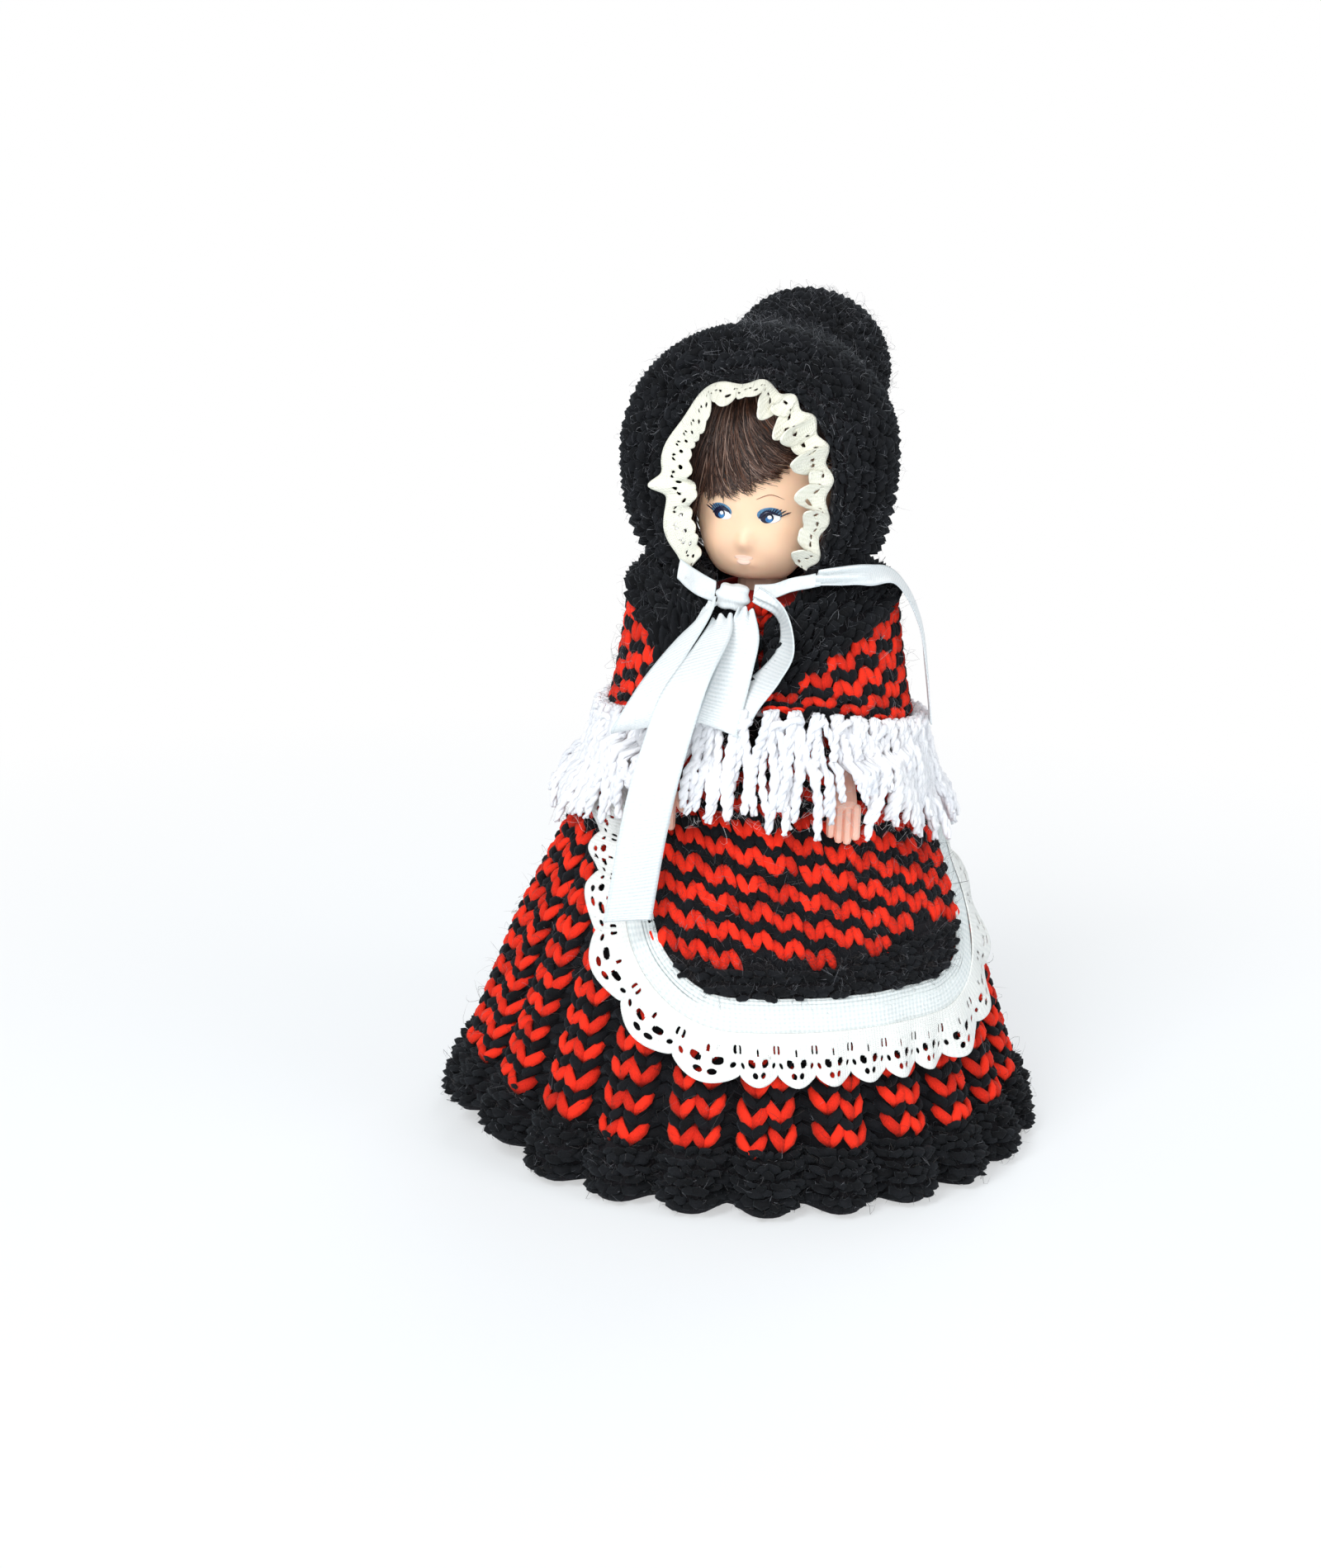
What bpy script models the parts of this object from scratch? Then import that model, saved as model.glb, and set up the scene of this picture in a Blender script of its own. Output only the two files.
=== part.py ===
"""A small jointed vinyl doll in knitted costume: hood with a crown, fringed shawl, pleated skirt and apron.

Metres, +Z up. The origin is on the floor under the neck's axis. The doll faces -Y and its left is +X.
"""

import math

import bmesh
import bpy
from mathutils import Vector

# Fits shared by all pieces
CLEARANCE = 0.0003
WELD = 0.00001
OVERRUN = 0.004
SHARP_ANGLE = math.radians(50)
HALF_TURN = math.pi
FULL_TURN = 2 * math.pi
QUARTER_TURN = math.pi / 2

# Driving heights of the doll, each from the one below it
HIP_HEIGHT = 0.0700
HIP_TO_WAIST = 0.0210
WAIST_TO_SHOULDER = 0.0150
SHOULDER_TO_NECK = 0.0167
CHIN_BELOW_NECK = 0.0029
HEAD_HEIGHT = 0.0435
WAIST_HEIGHT = HIP_HEIGHT + HIP_TO_WAIST
SHOULDER_HEIGHT = WAIST_HEIGHT + WAIST_TO_SHOULDER
NECK_HEIGHT = SHOULDER_HEIGHT + SHOULDER_TO_NECK
CHIN_HEIGHT = NECK_HEIGHT - CHIN_BELOW_NECK
CROWN_HEIGHT = CHIN_HEIGHT + HEAD_HEIGHT

# The photographed pose
HEAD_TURN = math.radians(-15)
ARM_SWING = math.radians(45)

# Torso
CROTCH_DROP = 0.0065
TORSO_BOTTOM = HIP_HEIGHT - CROTCH_DROP
SHOULDER_SLOPE = 0.0065
TORSO_SHOULDER_TOP = SHOULDER_HEIGHT + SHOULDER_SLOPE
TORSO_HALF_WIDTH = 0.0160
TORSO_HALF_DEPTH = 0.0095
NECK_RADIUS = 0.0052
TORSO_COLUMNS = 18
TORSO_SHARES = (
    (0.0, 0.20, 0.40),
    (0.06, 0.55, 0.80),
    (0.16, 0.86, 1.0),
    (0.32, 0.86, 0.98),
    (0.54, 0.70, 0.84),
    (0.76, 0.86, 0.96),
    (0.90, 1.0, 0.90),
    (0.98, 0.84, 0.74),
    (1.0, 0.50, 0.62),
)
CROTCH_HALF_WIDTH = 0.0043

# Studs that plug the head and the limbs in
STUD_STEM_RADIUS = 0.0023
STUD_STEM_LENGTH = 0.0022
STUD_FLANGE_RADIUS = 0.0036
STUD_FLANGE_LENGTH = 0.0016
KNOB_STEM_RADIUS = 0.0036
KNOB_STEM_LENGTH = 0.0034
KNOB_FLANGE_RADIUS = 0.0050
KNOB_FLANGE_LENGTH = 0.0024
TURNED_STEPS = 12

# Head
HEAD_HALF_WIDTH = 0.0155
HEAD_HALF_DEPTH = 0.0165
HEAD_COLUMNS = 36
HEAD_ROWS = 24
FACE_DENSITY_SHARE = 0.45
JAW_TAPER_SHARE = 0.10
JAW_BREADTH_SHARE = 1.28
CHIN_SQUARENESS_SHARE = 0.30
# Each relief of the face: side, height over the chin, how far it stands out, half-width, half-height
NOSE = (0.0, 0.0090, 0.0019, 0.0015, 0.0020)
LIPS = (0.0, 0.0042, 0.0006, 0.0024, 0.0011)
CHIN_BOSS = (0.0, 0.0012, 0.0008, 0.0040, 0.0022)
CHEEK = (0.0085, 0.0072, 0.0010, 0.0048, 0.0046)
EYE_SOCKET = (0.0051, 0.0138, -0.0007, 0.0030, 0.0022)

# Hair
HAIR_THICKNESS = 0.0016
HAIR_FRINGE_ABOVE_CHIN = 0.0207
HAIR_SIDE_ABOVE_CHIN = 0.0050
HAIR_FACE_ANGLE = math.radians(58)
HAIR_SWEEP = 1.5
HAIR_COLUMNS = 28
HAIR_ROWS = 7

# Arms, hanging along -Z from the shoulder before they are swung forward
SHOULDER_FACE = 0.0148
ARM_OFFSET = 0.0040
ARM_LENGTH = 0.0440
ARM_THICKNESS = 0.0044
ARM_RING = 7
# forward share and drop share of the length, half-width share and half-depth share of the thickness
ARM_SHARES = (
    (0.0, -0.085, 0.35, 0.50),
    (0.0, -0.04, 0.80, 0.88),
    (0.0, 0.05, 0.92, 1.0),
    (0.005, 0.25, 0.84, 0.90),
    (0.010, 0.48, 0.74, 0.78),
    (0.060, 0.68, 0.70, 0.74),
    (0.110, 0.86, 0.52, 0.50),
    (0.112, 0.93, 0.66, 0.42),
    (0.100, 1.0, 0.74, 0.36),
)
FINGER_RADIUS = 0.00092
FINGER_LENGTH = 0.0076
FINGER_SPACING = 0.00168
FINGER_REACH_SHARES = (0.84, 0.97, 1.0, 0.88)
FINGER_CURL = math.radians(31)
THUMB_LENGTH = 0.0052
THUMB_SPREAD = math.radians(34)
THUMB_RISE = 0.0030
FINGER_STEPS = 6

# Legs, hanging along -Z from the hip
LEG_FACE = 0.0048
LEG_OFFSET = 0.0050
LEG_THICKNESS = 0.0070
LEG_RING = 6
ANKLE_HEIGHT = 0.0042
HIP_STUB = 0.0064
# forward share and drop share of the way from the hip to the ankle, half-width share and half-depth share of the
# thickness. The stub over the hip comes before them.
LEG_STUB_SHARES = (
    (0.0, -1.0, 0.30, 0.40),
    (0.0, -0.65, 0.60, 0.78),
)
LEG_SHARES = (
    (0.0, 0.0, 0.70, 0.98),
    (0.0, 0.138, 0.70, 0.92),
    (0.0, 0.308, 0.60, 0.74),
    (0.004, 0.489, 0.50, 0.58),
    (-0.004, 0.617, 0.53, 0.63),
    (-0.002, 0.787, 0.42, 0.47),
    (0.0, 0.915, 0.34, 0.38),
    (0.004, 1.0, 0.36, 0.42),
)
FOOT_LENGTH = 0.0170
FOOT_HALF_WIDTH = 0.0032
FOOT_HALF_HEIGHT = 0.0036
FOOT_HEEL = 0.0040
# share of the length from the heel, half-width share, half-height share
FOOT_SHARES = (
    (0.0, 0.35, 0.40),
    (0.08, 0.72, 0.90),
    (0.30, 0.80, 1.0),
    (0.62, 0.96, 0.74),
    (0.88, 0.92, 0.56),
    (1.0, 0.50, 0.34),
)
FLOOR_TRIM = 0.0008

# Dress
KNIT_THICKNESS = 0.0020
BODICE_THICKNESS = 0.0014
COLLAR_BELOW_NECK = 0.0055
BODICE_TOP = NECK_HEIGHT - COLLAR_BELOW_NECK
BODICE_HALF_WIDTH = 0.0182
BODICE_HALF_DEPTH = 0.0120
BODICE_COLUMNS = 20
BODICE_SHARES = (
    (0.0, 0.80, 0.93),
    (0.24, 0.80, 0.93),
    (0.50, 0.93, 0.98),
    (0.72, 1.0, 0.98),
    (0.87, 0.86, 0.90),
    (0.95, 0.66, 0.80),
    (1.0, 0.47, 0.69),
)
ARMHOLE_RADIUS = 0.0075

# Skirt and hem band
HEM_BAND_HEIGHT = 0.0127
HEM_RADIUS = 0.0622
HEM_FLARE = 0.0038
HEM_TOP_RADIUS = HEM_RADIUS - HEM_FLARE
HEM_THICKNESS = 0.0030
# from the hem band up to the waist: height share, radius share of the hem band's top, depth share of the width
SKIRT_SHARES = (
    (0.0, 1.0, 1.0),
    (0.35, 0.842, 1.0),
    (0.655, 0.660, 1.0),
    (0.785, 0.570, 0.98),
    (0.895, 0.370, 0.88),
    (1.0, 0.253, 0.78),
)
PLEATS = 24
PLEAT_PHASE = math.radians(6.5)
PLEAT_DEPTH = 0.0023
POINTS_PER_PLEAT = 4
RUFFLE_DEPTH = 0.0014

SLOPE_SPAN = 0.0045

# Apron, hung a little towards the doll's left
APRON_CENTRE = math.radians(23.5)
APRON_HALF_WIDTH = 0.0373
APRON_GATHER_RADIUS = 0.0235
APRON_GATHER_HALF_WIDTH = 0.0415
APRON_BELOW_WAIST = 0.0015
APRON_LENGTH = 0.0473
APRON_TOP = WAIST_HEIGHT - APRON_BELOW_WAIST
APRON_BOTTOM = APRON_TOP - APRON_LENGTH
APRON_CORNER_RADIUS = 0.0160
APRON_BAND_HEIGHT = 0.0096
APRON_GATHER_LENGTH = 0.0255
APRON_GATHER_BOTTOM = APRON_TOP - APRON_GATHER_LENGTH
APRON_GATHER_LIFT = 0.0012
APRON_THICKNESS = 0.0016
APRON_COLUMNS = 20
APRON_BAND_ROWS = 3
EDGE_COLUMNS = 54
TAPE_WIDTH = 0.0064
TAPE_THICKNESS = 0.0007
TAPE_LIFT = 0.0006
LACE_WIDTH = 0.0084
LACE_THICKNESS = 0.0006
LACE_RUFFLES = 22
LACE_RUFFLE_DEPTH = 0.0008
LACE_SCALLOP_DEPTH = 0.0010
WAIST_CORD_RADIUS = 0.0008
WAIST_CORD_POINTS = 32

# Shawl: neck, shoulders and lower edge
SHAWL_THICKNESS = 0.0024
SHAWL_BELOW_NECK = 0.0041
SHAWL_TOP = NECK_HEIGHT - SHAWL_BELOW_NECK
SHAWL_NECK_RADIUS = 0.0145
SHAWL_FRONT_RADIUS = 0.0360
SHAWL_SIDE_RADIUS = 0.0318
SHAWL_SIDE_SHIFT = 0.0009
SHAWL_BACK_RADIUS = 0.0260
SHAWL_FRONT_DROP = 0.0204
SHAWL_SIDE_DROP = 0.0281
SHAWL_BACK_DROP = 0.0336
SHAWL_NECK_OPENING = math.radians(44)
SHAWL_CLOSED_SHARE = 0.68
SHAWL_FRONT_GAP = math.radians(1.2)
SHAWL_COLUMNS = 40
# from the lower edge up to the neck: share of the way out, share of the drop
SHAWL_FRONT_SHARES = ((1.0, 1.0), (0.87, 0.91), (0.68, 0.69), (0.45, 0.40), (0.23, 0.13), (0.0, 0.0))
SHAWL_SIDE_SHARES = ((1.0, 1.0), (0.92, 0.77), (0.83, 0.42), (0.74, 0.08), (0.46, -0.07), (0.0, -0.06))
SHAWL_BACK_SHARES = ((1.0, 1.0), (0.80, 0.80), (0.62, 0.54), (0.48, 0.26), (0.30, 0.05), (0.0, 0.0))
FRINGE_LENGTH = 0.0220
FRINGE_FLARE = 0.0065
FRINGE_THICKNESS = 0.0012
FRINGE_TUFTS = 22
FRINGE_ROWS = 2
FRINGE_TUFT_DEPTH = 0.0008
FRINGE_RAGGED = 0.0016
HAND_ROOM = 0.0430
HAND_ANGLE = math.radians(31)
HAND_ROOM_ANGLE = math.radians(18)
HAND_ROOM_BELOW_SHOULDER = 0.0180
HAND_ROOM_TOP = SHOULDER_HEIGHT - HAND_ROOM_BELOW_SHOULDER

# Hood: the brim's outer face at stations from the face to the crown, in the head's own frame
BRIM_THICKNESS = 0.0030
BRIM_REACH = math.radians(146)
BRIM_BACK_REACH = math.radians(158)
BRIM_COLUMNS = 32
FACE_SQUARENESS_SHARE = 0.50
BRIM_FRONT = 0.0155
BRIM_BACK = 0.0155
BRIM_SIDE_SHIFT = -0.0010
BRIM_HALF_WIDTH = 0.0275
BRIM_HALF_HEIGHT = 0.0250
BRIM_CENTRE_ABOVE_CHIN = 0.0227
BRIM_CENTRE_HEIGHT = CHIN_HEIGHT + BRIM_CENTRE_ABOVE_CHIN
BRIM_RISE = 0.0118
# share of the way back, half-width share, rise share, upper and lower half-height shares, roundness share below
BRIM_SHARES = (
    (0.0, 0.66, 0.0, 0.78, 0.95, 0.50),
    (0.06, 0.84, 0.06, 0.95, 0.95, 0.52),
    (0.20, 0.97, 0.17, 1.03, 0.96, 0.40),
    (0.41, 1.0, 0.30, 0.98, 0.95, 0.24),
    (0.63, 0.94, 0.50, 0.86, 0.93, 0.28),
    (0.84, 0.78, 0.74, 0.74, 0.85, 0.50),
    (1.0, 0.59, 1.0, 0.63, 0.63, 1.0),
)
CROWN_RADIUS = 0.0164
CROWN_LENGTH = 0.0240
CROWN_SHIFT = 0.0007
CROWN_TILT = math.radians(23)
CROWN_THICKNESS = 0.0022
CROWN_STEPS = 22
# radius share and share of the length back from the mouth, from the top of the dome to the mouth
CROWN_SHARES = (
    (0.0, 1.0),
    (0.34, 0.985),
    (0.64, 0.93),
    (0.86, 0.82),
    (0.98, 0.64),
    (1.0, 0.42),
    (0.985, 0.20),
    (0.96, 0.0),
)
STUFFING_INSET_SHARE = 0.28

# Lace round the face
FACE_LACE_WIDTH = 0.0056
FACE_LACE_THICKNESS = 0.0005
FACE_LACE_RUFFLES = 18
FACE_LACE_RUFFLE_DEPTH = 0.0011
FACE_LACE_FORWARD = 0.0016
FACE_LACE_HALF_WIDTH = 0.0172
FACE_LACE_HALF_HEIGHT = 0.0190
FACE_LACE_LOWER_HALF_HEIGHT = 0.0240
FACE_LACE_REACH = math.radians(140)

# Ribbons. A route's rows are side, forward and height shares of the reach, the ribbon's own crossways direction,
# and a share of its width.
RIBBON_WIDTH = 0.0100
RIBBON_THICKNESS = 0.00035
KNOT_SIDE = -0.0058
KNOT_FORWARD = 0.0222
KNOT_BELOW_NECK = 0.0039
KNOT_HEIGHT = NECK_HEIGHT - KNOT_BELOW_NECK
KNOT_HALF_WIDTH = 0.0034
KNOT_HALF_HEIGHT = 0.0030
KNOT_HALF_DEPTH = 0.0021
LOOP_REACH = 0.0250
TAIL_REACH = 0.0600
STRAP_REACH = 0.0190
SHOULDER_REACH = 0.0400
ROUTE_STEPS = 3
STRAP_LEFT_SHARES = (
    (0.22, -0.10, 0.04, 0.1, 0.3, 0.9, 0.30),
    (0.42, -0.13, 0.05, 0.1, 0.3, 0.9, 0.32),
    (0.62, -0.19, 0.06, 0.1, 0.3, 0.9, 0.32),
    (0.82, -0.27, 0.06, 0.1, 0.3, 0.9, 0.30),
)
STRAP_RIGHT_SHARES = (
    (-0.20, -0.02, 0.05, 0.1, 0.6, 0.8, 0.45),
    (-0.34, -0.13, 0.08, 0.1, 0.6, 0.8, 0.50),
    (-0.48, -0.28, 0.13, 0.1, 0.6, 0.8, 0.50),
    (-0.60, -0.44, 0.19, 0.1, 0.6, 0.8, 0.45),
)
LOOP_LEFT_SHARES = (
    (0.11, 0.10, -0.08, 0.95, 0.0, -0.2, 0.30),
    (0.10, 0.26, -0.26, 0.97, 0.0, -0.1, 0.65),
    (0.04, 0.46, -0.50, 0.97, 0.0, -0.1, 0.75),
    (-0.04, 0.65, -0.76, 0.95, 0.0, -0.2, 0.85),
    (-0.08, 0.73, -0.92, 0.93, 0.0, -0.3, 0.9),
    (-0.02, 0.66, -0.90, 0.92, -0.1, -0.3, 0.9),
    (0.10, 0.56, -0.74, 0.80, -0.4, -0.1, 0.9),
    (0.32, 0.46, -0.54, 0.55, -0.8, 0.0, 0.8),
    (0.45, 0.31, -0.34, 0.40, -0.9, 0.1, 0.75),
    (0.40, 0.14, -0.10, 0.20, -0.8, 0.5, 0.6),
    (0.19, 0.02, 0.03, 0.1, -0.5, 0.8, 0.35),
)
LOOP_RIGHT_SHARES = (
    (-0.16, 0.10, -0.06, 0.5, -0.1, 0.8, 0.40),
    (-0.30, 0.22, -0.22, 0.8, -0.1, 0.6, 0.75),
    (-0.52, 0.45, -0.52, 0.85, -0.1, 0.5, 0.95),
    (-0.70, 0.62, -0.84, 0.9, 0.0, 0.4, 1.0),
    (-0.73, 0.61, -0.99, 0.95, 0.0, 0.2, 1.0),
    (-0.69, 0.54, -0.92, 0.95, 0.0, 0.2, 1.0),
    (-0.54, 0.36, -0.58, 0.9, 0.0, 0.4, 0.9),
    (-0.31, 0.13, -0.24, 0.8, 0.0, 0.6, 0.7),
    (-0.17, 0.01, -0.08, 0.5, 0.0, 0.8, 0.35),
)
TAIL_LONG_SHARES = (
    (-0.03, 0.06, -0.06, 0.95, 0.0, 0.2, 0.40),
    (-0.06, 0.17, -0.12, 0.95, 0.0, 0.3, 0.75),
    (-0.14, 0.33, -0.24, 0.95, 0.0, 0.3, 1.0),
    (-0.19, 0.39, -0.40, 0.95, 0.1, 0.2, 1.0),
    (-0.23, 0.43, -0.56, 0.95, 0.2, 0.1, 1.0),
    (-0.26, 0.44, -0.73, 0.95, 0.25, 0.1, 1.0),
    (-0.28, 0.44, -0.88, 0.95, 0.3, 0.1, 1.0),
    (-0.30, 0.43, -1.03, 0.95, 0.3, 0.0, 1.0),
)
TAIL_SHOULDER_SHARES = (
    (0.42, -0.28, 0.050, 0.2, 0.9, 0.2, 0.50),
    (0.54, -0.29, 0.062, 0.1, 0.95, 0.1, 0.80),
    (0.68, -0.32, 0.060, 0.1, 0.95, 0.0, 1.0),
    (0.84, -0.37, 0.03, 0.1, 0.95, 0.0, 1.0),
    (0.97, -0.46, -0.16, 0.05, 0.95, 0.0, 1.0),
    (1.03, -0.50, -0.45, 0.0, 1.0, 0.0, 1.0),
    (1.07, -0.50, -0.72, 0.0, 1.0, 0.0, 1.0),
)

# Colours
VINYL = (0.93, 0.68, 0.50, 1)
PLASTIC = (0.90, 0.66, 0.50, 1)
BROWN = (0.09, 0.04, 0.03, 1)
BLACK = (0.012, 0.013, 0.016, 1)
RED = (0.72, 0.03, 0.01, 1)
WHITE = (0.86, 0.87, 0.88, 1)
CREAM = (0.83, 0.81, 0.70, 1)


def collection(name):
    """A new collection linked to the scene."""
    made = bpy.data.collections.new(name)
    bpy.context.scene.collection.children.link(made)
    return made


def clear_scene():
    """Removes whatever the scene holds."""
    for obj in list(bpy.data.objects):
        bpy.data.objects.remove(obj)


def material(name, colour, roughness):
    """A plain material of one colour."""
    made = bpy.data.materials.new(name)
    made.use_nodes = True
    shader = made.node_tree.nodes["Principled BSDF"]
    shader.inputs["Base Color"].default_value = colour
    shader.inputs["Roughness"].default_value = roughness
    return made


def between(table, share):
    """The row of a table at this share of the way along it, joined smoothly through its rows."""
    place = share * (len(table) - 1)
    index = min(int(place), len(table) - 2)
    t = place - index
    before = table[max(index - 1, 0)]
    start = table[index]
    end = table[index + 1]
    after = table[min(index + 2, len(table) - 1)]
    row = []
    for a, b, c, d in zip(before, start, end, after):
        row.append(
            (2 * b + (c - a) * t + (2 * a - 5 * b + 4 * c - d) * t * t + (3 * b - a - 3 * c + d) * t**3) / 2
        )
    return row


def smooth(value):
    """0 below 0, 1 above 1 and an even rise between them."""
    held = min(max(value, 0), 1)
    return held * held * (3 - 2 * held)


def bump(distance, spread):
    """A rounded hump of height 1 that fades over the spread."""
    return math.exp(-((distance / spread) ** 2))


def on_circle(radius, angle, height):
    """A point at this angle from the front, turning towards the doll's left."""
    return Vector((radius * math.sin(angle), -radius * math.cos(angle), height))


class Builder:
    """Holds the collections and materials that every piece uses."""

    def __init__(self):
        self.pieces = collection("knitted_costume_doll")
        self.cutters = collection("cutters")
        self.materials = {}

    def finish(self, obj, look, parent=None):
        """Gives a piece its material, its smooth shading and its parent."""
        name, colour, roughness = look
        if name not in self.materials:
            self.materials[name] = material(name, colour, roughness)
        own = self.materials[name].copy()
        own.name = obj.name
        obj.data.materials.append(own)
        obj.data.shade_smooth()
        obj.data.set_sharp_from_angle(angle=SHARP_ANGLE)
        self.pieces.objects.link(obj)
        obj.parent = parent
        return obj

    def helper(self, obj, parent=None):
        """Keeps a cutter or a tool shape out of the model itself."""
        self.cutters.objects.link(obj)
        obj.hide_render = True
        obj.display_type = "WIRE"
        obj.parent = parent
        return obj

    def pivot(self, name, location, rotation=(0, 0, 0)):
        """An empty on a joint's axis."""
        empty = bpy.data.objects.new(name, None)
        empty.location = location
        empty.rotation_euler = rotation
        self.pieces.objects.link(empty)
        return empty


def grid_object(name, point, columns, rows, closed):
    """An open surface: point(u, v) places each corner of a unit grid. Its outside is where u turned to v points."""
    mesh = bpy.data.meshes.new(name)
    shape = bmesh.new()
    bmesh.ops.create_grid(shape, x_segments=columns, y_segments=rows, size=1)
    for vertex in shape.verts:
        vertex.co = point((vertex.co.x + 1) / 2, (vertex.co.y + 1) / 2)
    if closed:
        bmesh.ops.remove_doubles(shape, verts=shape.verts, dist=WELD)
    shape.to_mesh(mesh)
    shape.free()
    return bpy.data.objects.new(name, mesh)


def cloth(name, point, columns, rows, thickness, closed=False, offset=-1):
    """A sheet of even thickness laid inside its outer face, or about it with offset 0."""
    obj = grid_object(name, point, columns, rows, closed)
    shell = obj.modifiers.new("Thickness", "SOLIDIFY")
    shell.thickness = thickness
    shell.offset = offset
    return obj


def capped_tube(name, point, ring, rows):
    """A closed solid round a path: u goes round it and v along it, and both ends are filled."""
    obj = grid_object(name, point, ring, rows, True)
    shape = bmesh.new()
    shape.from_mesh(obj.data)
    bmesh.ops.holes_fill(shape, edges=shape.edges, sides=0)
    bmesh.ops.recalc_face_normals(shape, faces=shape.faces)
    shape.to_mesh(obj.data)
    shape.free()
    return obj


def limb(name, stations, ring):
    """A swelling, tapering limb through stations of (centre, half-width, half-depth), from a coarse cage."""

    def point(u, v):
        index = round(v * (len(stations) - 1))
        centre, half_width, half_depth = stations[index]
        ahead = stations[min(index + 1, len(stations) - 1)][0]
        behind = stations[max(index - 1, 0)][0]
        along = (ahead - behind).normalized()
        across = Vector((1, 0, 0))
        out = along.cross(across).normalized()
        angle = u * FULL_TURN
        return centre + across * half_width * math.cos(angle) + out * half_depth * math.sin(angle)

    obj = capped_tube(name, point, ring, len(stations) - 1)
    soft = obj.modifiers.new("Soft", "SUBSURF")
    soft.levels = 1
    soft.render_levels = 1
    return obj


def turned(name, profile, steps=TURNED_STEPS):
    """A turned solid about Z from a profile of (radius, height) that runs down its outer side."""
    mesh = bpy.data.meshes.new(name)
    shape = bmesh.new()
    corners = [shape.verts.new((radius, 0, height)) for radius, height in profile]
    for upper, lower in zip(corners, corners[1:]):
        shape.edges.new((upper, lower))
    shape.to_mesh(mesh)
    shape.free()
    obj = bpy.data.objects.new(name, mesh)
    screw = obj.modifiers.new("Turn", "SCREW")
    screw.steps = steps
    screw.render_steps = steps
    screw.use_merge_vertices = True
    screw.merge_threshold = WELD
    return obj


def stud_profile(stem_radius, stem_length, flange_radius, flange_length, fit):
    """A stem with a flange on its end, from a face at height 0. A fit above 0 gives its socket."""
    return (
        (0, stem_length + flange_length + fit),
        (flange_radius + fit, stem_length + flange_length + fit),
        (flange_radius + fit, stem_length - fit),
        (stem_radius + fit, stem_length - fit),
        (stem_radius + fit, -OVERRUN),
        (0, -OVERRUN),
    )


def box(name, low, high):
    """A box between two corners."""
    mesh = bpy.data.meshes.new(name)
    shape = bmesh.new()
    bmesh.ops.create_cube(shape, size=1)
    size = Vector(high) - Vector(low)
    middle = (Vector(high) + Vector(low)) / 2
    for vertex in shape.verts:
        vertex.co = middle + Vector([a * b for a, b in zip(vertex.co, size)])
    shape.to_mesh(mesh)
    shape.free()
    return bpy.data.objects.new(name, mesh)


def combine(obj, other, operation, solver="EXACT"):
    """A Boolean of one piece with a helper shape."""
    modifier = obj.modifiers.new(other.name, "BOOLEAN")
    modifier.operation = operation
    modifier.solver = solver
    modifier.object = other


def side_name(side):
    """The doll's own left is +X."""
    return "left" if side > 0 else "right"


# Torso and limbs


def torso_skin(name):
    """The closed outer skin of the body, from the crotch to the top of the neck."""
    height = TORSO_SHOULDER_TOP - TORSO_BOTTOM
    stations = [(TORSO_BOTTOM + z * height, TORSO_HALF_WIDTH * w, TORSO_HALF_DEPTH * d) for z, w, d in TORSO_SHARES]
    stations.append((TORSO_SHOULDER_TOP + CLEARANCE * 5, NECK_RADIUS, NECK_RADIUS))
    stations.append((NECK_HEIGHT, NECK_RADIUS, NECK_RADIUS))

    def point(u, v):
        z, half_width, half_depth = stations[round(v * (len(stations) - 1))]
        angle = u * FULL_TURN
        return Vector((half_width * math.sin(angle), -half_depth * math.cos(angle), z))

    return capped_tube(name, point, TORSO_COLUMNS, len(stations) - 1)


def limb_cutters(build):
    """What the limbs' studs, faces and swing take out of the body, on both sides."""
    cutters = []
    for side in (-1, 1):
        for joint, face, height, room in (
            ("shoulder", SHOULDER_FACE, SHOULDER_HEIGHT, ARM_THICKNESS + CLEARANCE),
            ("hip", LEG_FACE, HIP_HEIGHT, LEG_THICKNESS + 2 * CLEARANCE),
        ):
            name = f"{side_name(side)}_{joint}"
            socket = turned(
                f"{name}_socket",
                stud_profile(STUD_STEM_RADIUS, STUD_STEM_LENGTH, STUD_FLANGE_RADIUS, STUD_FLANGE_LENGTH, CLEARANCE),
            )
            recess = turned(
                f"{name}_recess",
                ((0, CLEARANCE), (room, CLEARANCE), (room, -TORSO_HALF_WIDTH), (0, -TORSO_HALF_WIDTH)),
            )
            for cutter in (socket, recess):
                cutter.location = (side * face, 0, height)
                cutter.rotation_euler = (0, -side * QUARTER_TURN, 0)
                cutters.append(build.helper(cutter))
        reach = TORSO_HALF_DEPTH + OVERRUN
        inner = side * CROTCH_HALF_WIDTH
        outer = side * (TORSO_HALF_WIDTH + OVERRUN)
        cutters.append(
            build.helper(
                box(
                    f"{side_name(side)}_leg_room",
                    (min(inner, outer), -reach, TORSO_BOTTOM - OVERRUN),
                    (max(inner, outer), reach, HIP_HEIGHT),
                )
            )
        )
    return cutters


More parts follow.
